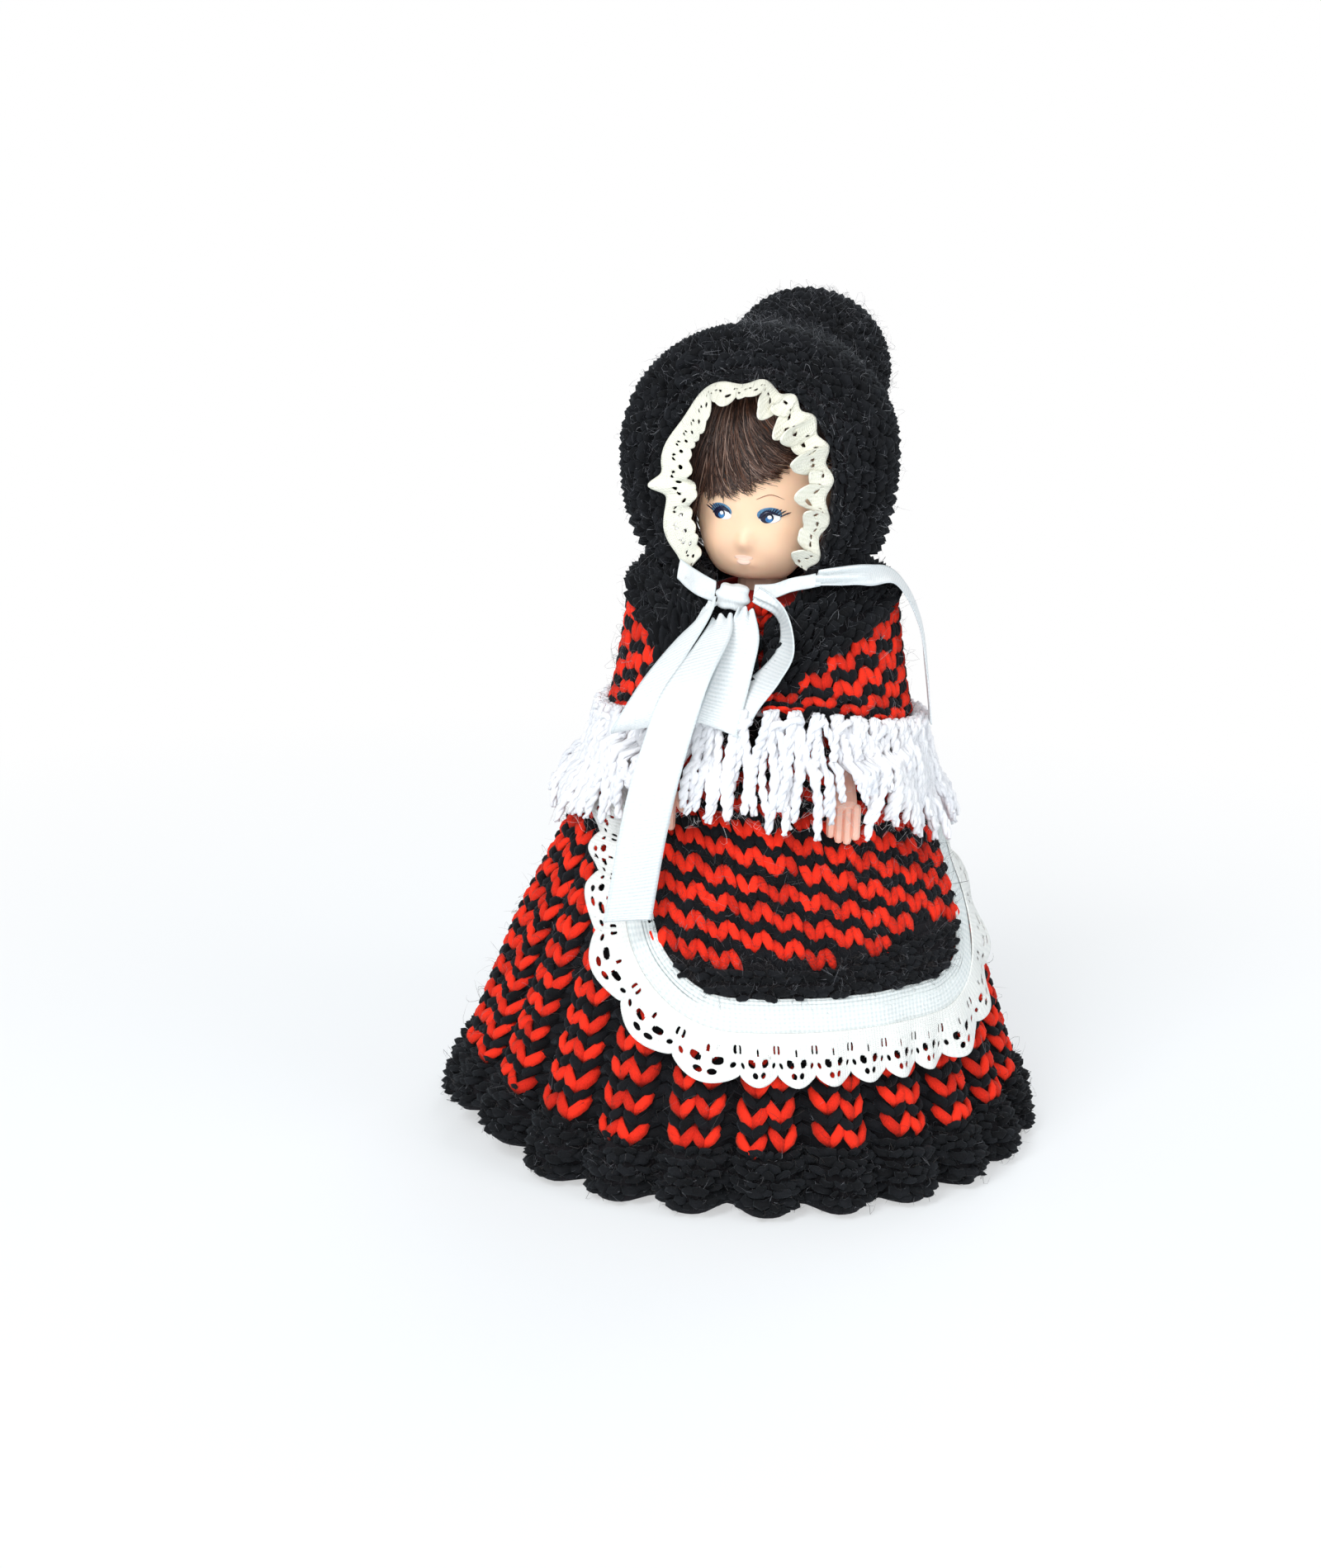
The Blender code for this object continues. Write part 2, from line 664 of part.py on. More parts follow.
def make_torso(build):
    """The two cemented halves of the body, with half a neck knob on each."""
    knob = turned(
        "neck_knob",
        stud_profile(KNOB_STEM_RADIUS, KNOB_STEM_LENGTH, KNOB_FLANGE_RADIUS, KNOB_FLANGE_LENGTH, 0),
    )
    knob.location = (0, 0, NECK_HEIGHT)
    build.helper(knob)
    cutters = limb_cutters(build)
    reach = 2 * TORSO_HALF_WIDTH
    top = NECK_HEIGHT + KNOB_STEM_LENGTH + KNOB_FLANGE_LENGTH + OVERRUN
    for name, side in (("torso_front", -1), ("torso_back", 1)):
        half = torso_skin(name)
        combine(half, knob, "UNION", "MANIFOLD")
        for cutter in cutters:
            combine(half, cutter, "DIFFERENCE", "MANIFOLD")
        seam = side * CLEARANCE / 2
        other = -side * reach
        waste = box(
            f"{name}_waste",
            (-reach, min(seam, other), TORSO_BOTTOM - OVERRUN),
            (reach, max(seam, other), top),
        )
        combine(half, build.helper(waste), "DIFFERENCE", "MANIFOLD")
        build.finish(half, ("body_plastic", PLASTIC, 0.4))


def limb_stud(build, name, parent, inward):
    """The stud that holds a limb, on the pivot's inner side."""
    stud = turned(
        name,
        stud_profile(STUD_STEM_RADIUS, STUD_STEM_LENGTH, STUD_FLANGE_RADIUS, STUD_FLANGE_LENGTH, 0),
    )
    stud.rotation_euler = (0, inward * QUARTER_TURN, 0)
    return build.helper(stud, parent)


def finger(build, name, parent, start, length, tilt_x, tilt_y):
    """A finger with a round tip, pointing down from its start."""
    rounded = FINGER_RADIUS * math.sqrt(0.5)
    shape = turned(
        name,
        (
            (0, FINGER_RADIUS),
            (rounded, rounded),
            (FINGER_RADIUS, 0),
            (FINGER_RADIUS, -length + FINGER_RADIUS),
            (rounded, -length + FINGER_RADIUS - rounded),
            (0, -length),
        ),
        FINGER_STEPS,
    )
    shape.location = start
    shape.rotation_euler = (tilt_x, tilt_y, 0)
    return build.helper(shape, parent)


def make_arm(build, side):
    """An arm bent a little at the elbow, with its hand and stud."""
    name = f"{side_name(side)}_arm"
    pivot = build.pivot(f"{name}_pivot", (side * SHOULDER_FACE, 0, SHOULDER_HEIGHT), (-ARM_SWING, 0, 0))
    middle = side * ARM_OFFSET
    stations = [
        (Vector((middle, -forward * ARM_LENGTH, -drop * ARM_LENGTH)), ARM_THICKNESS * width, ARM_THICKNESS * depth)
        for forward, drop, width, depth in ARM_SHARES
    ]
    arm = limb(name, stations, ARM_RING)
    face = box(
        f"{name}_face",
        (min(0, -side * ARM_THICKNESS * 2), -ARM_LENGTH, -ARM_LENGTH * 2),
        (max(0, -side * ARM_THICKNESS * 2), ARM_LENGTH, ARM_LENGTH),
    )
    combine(arm, build.helper(face, pivot), "DIFFERENCE")
    combine(arm, limb_stud(build, f"{name}_stud", pivot, -side), "UNION")
    knuckles = stations[-1][0]
    first = (len(FINGER_REACH_SHARES) - 1) / 2
    for index, reach in enumerate(FINGER_REACH_SHARES):
        start = knuckles + Vector((side * (index - first) * FINGER_SPACING, 0, FINGER_RADIUS))
        tip = finger(
            build, f"{name}_finger_{index}", pivot, start, FINGER_LENGTH * reach, FINGER_CURL, 0
        )
        combine(arm, tip, "UNION", "MANIFOLD")
    start = knuckles + Vector((-side * first * FINGER_SPACING, 0, THUMB_RISE))
    thumb = finger(build, f"{name}_thumb", pivot, start, THUMB_LENGTH, FINGER_CURL / 2, side * THUMB_SPREAD)
    combine(arm, thumb, "UNION", "MANIFOLD")
    build.finish(arm, ("limb_vinyl", VINYL, 0.45), pivot)


def make_leg(build, side, floor):
    """A straight leg with a bare foot whose sole is flat on the floor."""
    name = f"{side_name(side)}_leg"
    pivot = build.pivot(f"{name}_pivot", (side * LEG_FACE, 0, HIP_HEIGHT))
    middle = side * LEG_OFFSET
    shin = HIP_HEIGHT - ANKLE_HEIGHT
    stations = [
        (Vector((middle, -forward * reach, -drop * reach)), LEG_THICKNESS * width, LEG_THICKNESS * depth)
        for table, reach in ((LEG_STUB_SHARES, HIP_STUB), (LEG_SHARES, shin))
        for forward, drop, width, depth in table
    ]
    leg = limb(name, stations, LEG_RING)
    foot = limb(
        f"{name}_foot",
        [
            (
                Vector((middle, FOOT_HEEL - share * FOOT_LENGTH, FOOT_HALF_HEIGHT * high - FLOOR_TRIM - HIP_HEIGHT)),
                FOOT_HALF_WIDTH * wide,
                FOOT_HALF_HEIGHT * high,
            )
            for share, wide, high in FOOT_SHARES
        ],
        LEG_RING,
    )
    face = box(
        f"{name}_face",
        (min(0, -side * LEG_THICKNESS), -2 * LEG_THICKNESS, -HIP_HEIGHT / 2),
        (max(0, -side * LEG_THICKNESS), 2 * LEG_THICKNESS, 2 * LEG_THICKNESS),
    )
    combine(leg, build.helper(foot, pivot), "UNION")
    combine(leg, build.helper(face, pivot), "DIFFERENCE")
    combine(leg, limb_stud(build, f"{name}_stud", pivot, -side), "UNION")
    combine(leg, floor, "DIFFERENCE")
    build.finish(leg, ("limb_vinyl", VINYL, 0.45), pivot)


# Head


def head_point(turn, rise, out=0):
    """A point of the head's skin in its own frame: turn from the face, rise from the neck to the crown."""
    half_height = (CROWN_HEIGHT - CHIN_HEIGHT) / 2
    middle = (CROWN_HEIGHT + CHIN_HEIGHT) / 2
    level = math.cos(rise)
    lower = max(-math.sin(rise), 0)
    ahead = max(math.cos(turn), 0)
    power = 1 - (1 - CHIN_SQUARENESS_SHARE) * smooth(lower * 2) * smooth(JAW_BREADTH_SHARE * ahead)
    level_front = max(level, 0) ** power
    width = (HEAD_HALF_WIDTH + out) * (1 - JAW_TAPER_SHARE * lower * ahead)
    side = width * level_front * math.sin(turn)
    front = (HEAD_HALF_DEPTH + out) * level_front * math.cos(turn)
    height = middle + (half_height + out) * math.sin(rise)
    if math.cos(turn) > 0 and not out:
        for relief in (NOSE, LIPS, CHIN_BOSS, CHEEK, EYE_SOCKET):
            offset, above, stand, half_wide, half_high = relief
            front += (
                stand
                * bump(abs(side) - offset, half_wide)
                * bump(height - CHIN_HEIGHT - above, half_high)
                * smooth(2 * ahead)
            )
    return Vector((side, -front, height))


def make_head(build, neck):
    """The vinyl head, with the socket that snaps over the neck knob."""

    def point(u, v):
        spread = (u - 0.5) * FULL_TURN
        turn = spread - FACE_DENSITY_SHARE * math.sin(spread)
        return head_point(turn, (v - 0.5) * HALF_TURN)

    head = capped_tube("head", point, HEAD_COLUMNS, HEAD_ROWS)
    socket = turned(
        "head_socket",
        stud_profile(KNOB_STEM_RADIUS, KNOB_STEM_LENGTH, KNOB_FLANGE_RADIUS, KNOB_FLANGE_LENGTH, CLEARANCE),
    )
    collar_radius = NECK_RADIUS + 2 * CLEARANCE
    collar = turned(
        "head_collar",
        (
            (0, CLEARANCE),
            (collar_radius, CLEARANCE),
            (collar_radius, -OVERRUN),
            (0, -OVERRUN),
        ),
    )
    for cutter in (socket, collar):
        cutter.location = (0, 0, NECK_HEIGHT)
        combine(head, build.helper(cutter), "DIFFERENCE")
    build.finish(head, ("head_vinyl", VINYL, 0.4), neck)


def make_hair(build, neck):
    """Rooted hair as one cap with a fringe, open over the face."""
    half_height = (CROWN_HEIGHT - CHIN_HEIGHT) / 2
    crown = QUARTER_TURN * 0.97

    def point(u, v):
        turn = (u - 0.5) * FULL_TURN
        face = smooth((HAIR_FACE_ANGLE - abs(turn)) / HAIR_FACE_ANGLE * HAIR_SWEEP + 0.5)
        above = HAIR_SIDE_ABOVE_CHIN + (HAIR_FRINGE_ABOVE_CHIN - HAIR_SIDE_ABOVE_CHIN) * face
        start = math.asin(above / half_height - 1)
        return head_point(turn, start + (crown - start) * v, CLEARANCE * 3.6 + HAIR_THICKNESS)

    hair = cloth("hair", point, HAIR_COLUMNS, HAIR_ROWS, HAIR_THICKNESS, closed=True)
    build.finish(hair, ("rooted_hair", BROWN, 0.5), neck)


# Dress


def skirt_stations():
    """Height, mean radius of the outer face and depth share, from the floor to the waist."""
    bottom = HEM_BAND_HEIGHT + CLEARANCE
    rise = WAIST_HEIGHT - bottom
    return [(0, HEM_RADIUS, 1)] + [(bottom + z * rise, HEM_TOP_RADIUS * r, d) for z, r, d in SKIRT_SHARES]


def skirt_form(height):
    """Mean radius of the skirt's outer face at a height, and how deep it is for its width there."""
    stations = skirt_stations()
    for low, high in zip(stations, stations[1:]):
        if height <= high[0]:
            share = (height - low[0]) / (high[0] - low[0])
            return [a + (b - a) * share for a, b in zip(low[1:], high[1:])]
    return stations[-1][1:]


def skirt_radius(height):
    """Mean radius of the skirt's outer face at a height."""
    return skirt_form(height)[0]


def pleat_depth(height):
    """Half the height of a pleat, which grows from the waist to the hem."""
    return PLEAT_DEPTH * (skirt_radius(height) / HEM_RADIUS) ** 2


def lean(height):
    """How much further apart two layers lie level than square to the skirt's slope."""
    above = skirt_radius(height + SLOPE_SPAN)
    below = skirt_radius(max(height - SLOPE_SPAN, 0))
    return math.hypot(1, (below - above) / (2 * SLOPE_SPAN))


def dress_point(angle, height, out=0):
    """A point outside the skirt's mean face by this much, square to its slope."""
    radius, depth = skirt_form(height)
    place = on_circle(radius + out * lean(height), angle, height)
    place.y *= depth
    return place


def heights_between(low, high):
    """Two heights and the skirt's own stations between them."""
    return [low] + [z for z, radius, depth in skirt_stations() if low < z < high] + [high]


def pleated_point(angle, height, out=0):
    """A point on the pleated face: broad round ribs with narrow valleys."""
    phase = PLEATS * (angle - PLEAT_PHASE)
    wave = (4 * math.cos(phase) - math.cos(2 * phase)) / 4
    return dress_point(angle, height, out + pleat_depth(height) * wave / lean(height))


def make_bodice(build):
    """The knitted top, with armholes."""
    bottom = WAIST_HEIGHT + CLEARANCE
    stations = [
        (bottom + z * (BODICE_TOP - bottom), BODICE_HALF_WIDTH * w, BODICE_HALF_DEPTH * d)
        for z, w, d in BODICE_SHARES
    ]

    def point(u, v):
        z, half_width, half_depth = stations[round(v * (len(stations) - 1))]
        angle = u * FULL_TURN
        return Vector((half_width * math.sin(angle), -half_depth * math.cos(angle), z))

    bodice = cloth("dress_bodice", point, BODICE_COLUMNS, len(stations) - 1, BODICE_THICKNESS, closed=True)
    for side in (-1, 1):
        start = CLEARANCE - OVERRUN / 4
        end = -BODICE_HALF_WIDTH
        armhole = turned(
            f"{side_name(side)}_armhole",
            ((0, -start), (ARMHOLE_RADIUS, -start), (ARMHOLE_RADIUS, end), (0, end)),
        )
        armhole.location = (side * SHOULDER_FACE, 0, SHOULDER_HEIGHT)
        armhole.rotation_euler = (0, -side * QUARTER_TURN, 0)
        combine(bodice, build.helper(armhole), "DIFFERENCE")
    build.finish(bodice, ("red_knit", RED, 0.9))


def make_skirt(build, floor):
    """The pleated skirt and the ruffled band that its hem stands on."""
    columns = PLEATS * POINTS_PER_PLEAT
    stations = skirt_stations()[1:]
    rows = len(stations) - 1

    def skirt_point(u, v):
        return pleated_point(u * FULL_TURN, stations[round(v * rows)][0])

    def band_point(u, v):
        angle = u * FULL_TURN
        ruffle = (1 - v) * RUFFLE_DEPTH * math.cos(PLEATS * (angle - PLEAT_PHASE))
        place = pleated_point(angle, HEM_BAND_HEIGHT * v, ruffle)
        place.z -= FLOOR_TRIM * (1 - v)
        return place

    skirt = cloth("skirt", skirt_point, columns, rows, KNIT_THICKNESS, closed=True)
    build.finish(skirt, ("zigzag_knit", RED, 0.9))
    band = cloth("skirt_hem_band", band_point, columns, 1, HEM_THICKNESS, closed=True)
    combine(band, floor, "DIFFERENCE")
    build.finish(band, ("black_knit", BLACK, 0.95))


# Apron


def gather_lift(height):
    """How far the gathers hold the apron off the skirt near the waist."""
    return APRON_GATHER_LIFT * smooth((height - APRON_GATHER_BOTTOM) / (APRON_TOP - APRON_GATHER_BOTTOM))


def apron_point(across, height, out):
    """A point of the apron's plane laid on the skirt: across from its middle line, and out from the pleats."""
    reach = APRON_GATHER_HALF_WIDTH / math.hypot(skirt_radius(height), APRON_GATHER_RADIUS)
    angle = APRON_CENTRE + across / APRON_HALF_WIDTH * reach
    return dress_point(angle, height, pleat_depth(height) + CLEARANCE + gather_lift(height) + out)


def apron_half_width(height):
    """Half the panel's width at a height, with its rounded lower corners."""
    above = height - APRON_BOTTOM
    if above >= APRON_CORNER_RADIUS:
        return APRON_HALF_WIDTH
    drop = APRON_CORNER_RADIUS - above
    return APRON_HALF_WIDTH - APRON_CORNER_RADIUS + math.sqrt(APRON_CORNER_RADIUS**2 - drop**2)


def apron_outline(share, outward):
    """Across and height along the apron's edge, down one side and up the other, this far outside it."""
    radius = APRON_CORNER_RADIUS + outward
    side = APRON_TOP - APRON_BOTTOM - APRON_CORNER_RADIUS
    flat = 2 * (APRON_HALF_WIDTH - APRON_CORNER_RADIUS)
    arc = QUARTER_TURN * APRON_CORNER_RADIUS
    along = share * (2 * side + 2 * arc + flat)
    edge = APRON_HALF_WIDTH + outward
    turn_height = APRON_BOTTOM + APRON_CORNER_RADIUS
    if along <= side:
        return -edge, APRON_TOP - along
    along -= side
    if along <= arc:
        angle = along / APRON_CORNER_RADIUS
        return -flat / 2 - radius * math.cos(angle), turn_height - radius * math.sin(angle)
    along -= arc
    if along <= flat:
        return -flat / 2 + along, APRON_BOTTOM - outward
    along -= flat
    if along <= arc:
        angle = along / APRON_CORNER_RADIUS
        return flat / 2 + radius * math.sin(angle), turn_height - radius * math.cos(angle)
    return edge, turn_height + along - arc


def make_apron(build):
    """The panel, its lower band, the tape and the gathered lace round them, and the cord at the waist."""
    band_top = APRON_BOTTOM + APRON_BAND_HEIGHT

    def sheet(name, heights):
        def point(u, v):
            height = heights[round(v * (len(heights) - 1))]
            return apron_point((2 * u - 1) * apron_half_width(height), height, APRON_THICKNESS)

        return cloth(name, point, APRON_COLUMNS, len(heights) - 1, APRON_THICKNESS)

    def tape_point(u, v):
        across, height = apron_outline(u, 2 * CLEARANCE + TAPE_WIDTH * (1 - v))
        return apron_point(across, height, TAPE_LIFT + TAPE_THICKNESS)

    def lace_point(u, v):
        wave = math.cos(u * FULL_TURN * LACE_RUFFLES)
        share = 1 - v
        width = LACE_WIDTH + LACE_SCALLOP_DEPTH * wave * share
        across, height = apron_outline(u, 3 * CLEARANCE + TAPE_WIDTH + width * share)
        lift = TAPE_LIFT + LACE_THICKNESS + LACE_RUFFLE_DEPTH * (1 + wave * share)
        return apron_point(across, height, lift)

    corner_top = APRON_BOTTOM + APRON_CORNER_RADIUS
    panel = sheet(
        "apron_panel",
        heights_between(band_top + CLEARANCE, corner_top)[:-1] + heights_between(corner_top, APRON_TOP),
    )
    build.finish(panel, ("zigzag_knit", RED, 0.9))
    rise = APRON_BAND_HEIGHT / APRON_BAND_ROWS
    band = sheet("apron_band", [APRON_BOTTOM + rise * row for row in range(APRON_BAND_ROWS + 1)])
    build.finish(band, ("black_knit", BLACK, 0.95))
    tape = cloth("apron_tape", tape_point, EDGE_COLUMNS, 1, TAPE_THICKNESS)
    build.finish(tape, ("white_tape", WHITE, 0.8))
    lace = cloth("apron_lace", lace_point, 4 * LACE_RUFFLES, 1, LACE_THICKNESS)
    build.finish(lace, ("white_lace", WHITE, 0.8))
    make_waist_cord(build)


def make_waist_cord(build):
    """The cord that ties the apron, round the bottom of the bodice."""
    curve = bpy.data.curves.new("apron_waist_cord", "CURVE")
    curve.dimensions = "3D"
    curve.bevel_depth = WAIST_CORD_RADIUS
    curve.bevel_resolution = 0
    ring = curve.splines.new("POLY")
    ring.points.add(WAIST_CORD_POINTS - 1)
    ring.use_cyclic_u = True
    share_height, share_width, share_depth = BODICE_SHARES[0]
    out = WAIST_CORD_RADIUS + CLEARANCE
    for index, place in enumerate(ring.points):
        angle = FULL_TURN * index / WAIST_CORD_POINTS
        place.co = (
            (BODICE_HALF_WIDTH * share_width + out) * math.sin(angle),
            -(BODICE_HALF_DEPTH * share_depth + out) * math.cos(angle),
            WAIST_HEIGHT + share_height + WAIST_CORD_RADIUS + CLEARANCE,
            1,
        )
    cord = bpy.data.objects.new("apron_waist_cord", curve)
    build.pieces.objects.link(cord)
    curve.materials.append(material("apron_waist_cord", WHITE, 0.8))


# Shawl


def shawl_point(angle, share, out=0):
    """A point of the shawl's outer face: share 0 on its lower edge and 1 at the neck."""
    ahead = math.cos(angle)
    middle = ahead * ahead
    sides = 1 - middle
    if ahead > 0:
        table, radius, whole_drop = SHAWL_FRONT_SHARES, SHAWL_FRONT_RADIUS, SHAWL_FRONT_DROP
    else:
        table, radius, whole_drop = SHAWL_BACK_SHARES, SHAWL_BACK_RADIUS, SHAWL_BACK_DROP
    way, drop = between(table, share)
    side_way, side_drop = between(SHAWL_SIDE_SHARES, share)
    reach = middle * (radius - SHAWL_NECK_RADIUS) * way
    reach += sides * (SHAWL_SIDE_RADIUS - SHAWL_NECK_RADIUS) * side_way
    fall = middle * whole_drop * drop + sides * SHAWL_SIDE_DROP * side_drop
    place = on_circle(SHAWL_NECK_RADIUS + reach + out, angle, SHAWL_TOP - fall)
    place.x += SHAWL_SIDE_SHIFT * (1 - share)
    return place


def front_opening(share):
    """Half the angle that the shawl leaves open in front: its edges meet below the throat and part at the neck."""
    part = smooth((share - SHAWL_CLOSED_SHARE) / (1 - SHAWL_CLOSED_SHARE))
    return SHAWL_FRONT_GAP + (SHAWL_NECK_OPENING - SHAWL_FRONT_GAP) * part


def make_shawl(build):
    """The shawl round the shoulders and the fringe along its lower edge."""

    def cloth_point(u, v):
        opening = front_opening(v)
        return shawl_point(opening + (FULL_TURN - 2 * opening) * u, v)

    def fringe_point(u, v):
        opening = front_opening(0)
        angle = opening + (FULL_TURN - 2 * opening) * u
        edge = shawl_point(angle, 0)
        drop = 1 - v
        phase = u * FULL_TURN * FRINGE_TUFTS
        height = edge.z - CLEARANCE - (FRINGE_LENGTH + FRINGE_RAGGED * math.cos(phase)) * drop
        radius = math.hypot(edge.x, edge.y) + CLEARANCE + FRINGE_THICKNESS + FRINGE_FLARE * drop
        layers = pleat_depth(height) + gather_lift(height) + TAPE_LIFT + LACE_THICKNESS + 2 * LACE_RUFFLE_DEPTH
        layers += FRINGE_THICKNESS + 6 * CLEARANCE
        radius = max(radius, skirt_radius(height) + layers * lean(height))
        hand = 0
        for side in (-1, 1):
            turned_away = (angle - side * HAND_ANGLE + HALF_TURN) % FULL_TURN - HALF_TURN
            hand += bump(turned_away, HAND_ROOM_ANGLE)
        if height < HAND_ROOM_TOP:
            radius += max(HAND_ROOM + FRINGE_THICKNESS - radius, 0) * min(hand, 1)
        radius += FRINGE_TUFT_DEPTH * math.cos(phase) * min(4 * drop, 1)
        return on_circle(radius, angle, height)

    shawl = cloth("shawl", cloth_point, SHAWL_COLUMNS, len(SHAWL_SIDE_SHARES) - 1, SHAWL_THICKNESS)
    build.finish(shawl, ("zigzag_knit", RED, 0.9))
    fringe = cloth("shawl_fringe", fringe_point, 4 * FRINGE_TUFTS, FRINGE_ROWS, FRINGE_THICKNESS)
    build.finish(fringe, ("white_yarn", WHITE, 0.9))


# Hood


def brim_point(turn, share):
    """A point of the hood's outer face: turn -1 to 1 round its edge, share from the face to the crown."""
    back, wide, rise, upper, lower, roundness = between(BRIM_SHARES, share)
    angle = turn * (BRIM_REACH + (BRIM_BACK_REACH - BRIM_REACH) * smooth(2 * share - 1))
    up = math.cos(angle)
    half_height = BRIM_HALF_HEIGHT * (upper if up > 0 else lower)
    across = abs(math.sin(angle))
    if up < 0:
        across = across**roundness
    side = BRIM_SIDE_SHIFT * math.sin(share * HALF_TURN) + math.copysign(
        BRIM_HALF_WIDTH * wide * across, math.sin(angle)
    )
    tilt = math.tan(CROWN_TILT) * share**2
    front = BRIM_FRONT - (BRIM_FRONT + BRIM_BACK) * back + half_height * up * tilt
    return Vector((side, -front, BRIM_CENTRE_HEIGHT + BRIM_RISE * rise + half_height * up))


def make_hood(build, neck):
    """The deep brim round the head, the crown behind it and the filling that keeps the crown round."""

    def point(u, v):
        return brim_point(2 * u - 1, v)

    brim = cloth("bonnet_brim", point, BRIM_COLUMNS, len(BRIM_SHARES) - 1, BRIM_THICKNESS)
    build.finish(brim, ("black_knit", BLACK, 0.95), neck)
    gap = 2 * CLEARANCE
    mouth = (CROWN_SHIFT, BRIM_BACK + gap, BRIM_CENTRE_HEIGHT + BRIM_RISE)
    crown = turned("bonnet_crown", [(CROWN_RADIUS * r, CROWN_LENGTH * z) for r, z in CROWN_SHARES], CROWN_STEPS)
    shell = crown.modifiers.new("Thickness", "SOLIDIFY")
    shell.thickness = CROWN_THICKNESS
    shell.offset = -1
    inner = CROWN_RADIUS - CROWN_THICKNESS - gap
    inner_length = CROWN_LENGTH - CROWN_THICKNESS - gap
    start = STUFFING_INSET_SHARE
    profile = [(inner * r, inner_length * max(z, start)) for r, z in CROWN_SHARES if z > start]
    profile += [(profile[-1][0], inner_length * start), (0, inner_length * start)]
    stuffing = turned("crown_stuffing", profile, CROWN_STEPS)
    for obj, look in ((crown, ("black_knit", BLACK, 0.95)), (stuffing, ("white_filling", WHITE, 0.9))):
        obj.location = mouth
        obj.rotation_euler = (CROWN_TILT - QUARTER_TURN, 0, 0)
        build.finish(obj, look, neck)


def make_face_lace(build, neck):
    """The gathered lace that frames the face, sewn inside the brim's front edge."""

    def point(u, v):
        angle = (2 * u - 1) * FACE_LACE_REACH
        up = math.cos(angle)
        across = abs(math.sin(angle))
        if up < 0:
            across = across**FACE_SQUARENESS_SHARE
        wave = math.cos(u * FULL_TURN * FACE_LACE_RUFFLES)
        inward = FACE_LACE_WIDTH * v + FACE_LACE_RUFFLE_DEPTH * wave * v / 2
        half_height = FACE_LACE_HALF_HEIGHT if up > 0 else FACE_LACE_LOWER_HALF_HEIGHT
        front = BRIM_FRONT + FACE_LACE_THICKNESS + CLEARANCE + FACE_LACE_FORWARD * v
        front += FACE_LACE_RUFFLE_DEPTH * (wave * v + 1)
        return Vector(
            (
                math.copysign((FACE_LACE_HALF_WIDTH - inward) * across, math.sin(angle)),
                -front,
                BRIM_CENTRE_HEIGHT + (half_height - inward) * up,
            )
        )

    lace = cloth("bonnet_lace", point, 4 * FACE_LACE_RUFFLES, 1, FACE_LACE_THICKNESS)
    build.finish(lace, ("cream_lace", CREAM, 0.8), neck)


# Ribbons


def ribbon(build, name, shares, reach, neck):
    """A flat ribbon along a route that starts from the knot, in the body's own frame."""
    knot = Vector((KNOT_SIDE, -KNOT_FORWARD, KNOT_HEIGHT))
    turn_back = neck.rotation_euler.to_matrix().inverted()
    steps = ROUTE_STEPS * (len(shares) - 1)

    def point(u, v):
        side, forward, height, across_x, across_y, across_z, wide = between(shares, u)
        centre = knot + Vector((side, -forward, height)) * reach
        across = Vector((across_x, across_y, across_z)).normalized()
        return turn_back @ (centre + across * (v - 0.5) * RIBBON_WIDTH * wide)

    strip = cloth(name, point, steps, 1, RIBBON_THICKNESS, offset=0)
    build.finish(strip, ("white_ribbon", WHITE, 0.35), neck)


def make_ribbons(build, neck):
    """Both chin ribbons, the bow and the two long ends."""
    ribbon(build, "chin_ribbon_left", STRAP_LEFT_SHARES, STRAP_REACH, neck)
    ribbon(build, "chin_ribbon_right", STRAP_RIGHT_SHARES, STRAP_REACH, neck)
    ribbon(build, "bow_loop_left", LOOP_LEFT_SHARES, LOOP_REACH, neck)
    ribbon(build, "bow_loop_right", LOOP_RIGHT_SHARES, LOOP_REACH, neck)
    ribbon(build, "ribbon_tail_long", TAIL_LONG_SHARES, TAIL_REACH, neck)
    ribbon(build, "ribbon_tail_shoulder", TAIL_SHOULDER_SHARES, SHOULDER_REACH, neck)
    mesh = bpy.data.meshes.new("bow_knot")
    shape = bmesh.new()
    bmesh.ops.create_uvsphere(shape, u_segments=12, v_segments=8, radius=1)
    for vertex in shape.verts:
        vertex.co.x *= KNOT_HALF_WIDTH
        vertex.co.y *= KNOT_HALF_DEPTH
        vertex.co.z *= KNOT_HALF_HEIGHT
    shape.to_mesh(mesh)
    shape.free()
    knot = bpy.data.objects.new("bow_knot", mesh)
    knot.location = neck.rotation_euler.to_matrix().inverted() @ Vector((KNOT_SIDE, -KNOT_FORWARD, KNOT_HEIGHT))
    build.finish(knot, ("white_ribbon", WHITE, 0.35), neck)


def main():
    """Builds the whole doll."""
    clear_scene()
    build = Builder()
    neck = build.pivot("neck_pivot", (0, 0, 0), (0, 0, HEAD_TURN))
    reach = HEM_RADIUS + 2 * OVERRUN
    floor = build.helper(box("floor", (-reach, -reach, -OVERRUN), (reach, reach, 0)))
    make_torso(build)
    for side in (-1, 1):
        make_arm(build, side)
        make_leg(build, side, floor)
    make_head(build, neck)
    make_hair(build, neck)
    make_bodice(build)
    make_skirt(build, floor)
    make_apron(build)
    make_shawl(build)
    make_hood(build, neck)
    make_face_lace(build, neck)
    make_ribbons(build, neck)


main()
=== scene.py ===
"""Dresses a small jointed vinyl doll in hand-knitted costume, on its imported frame.

Metres, +Z up. The doll faces -Y and its left is +X. The cloth faces repeat the measures of the solids.
"""

import logging
import math
from dataclasses import dataclass
from enum import Enum
from typing import Callable, Iterable, Sequence

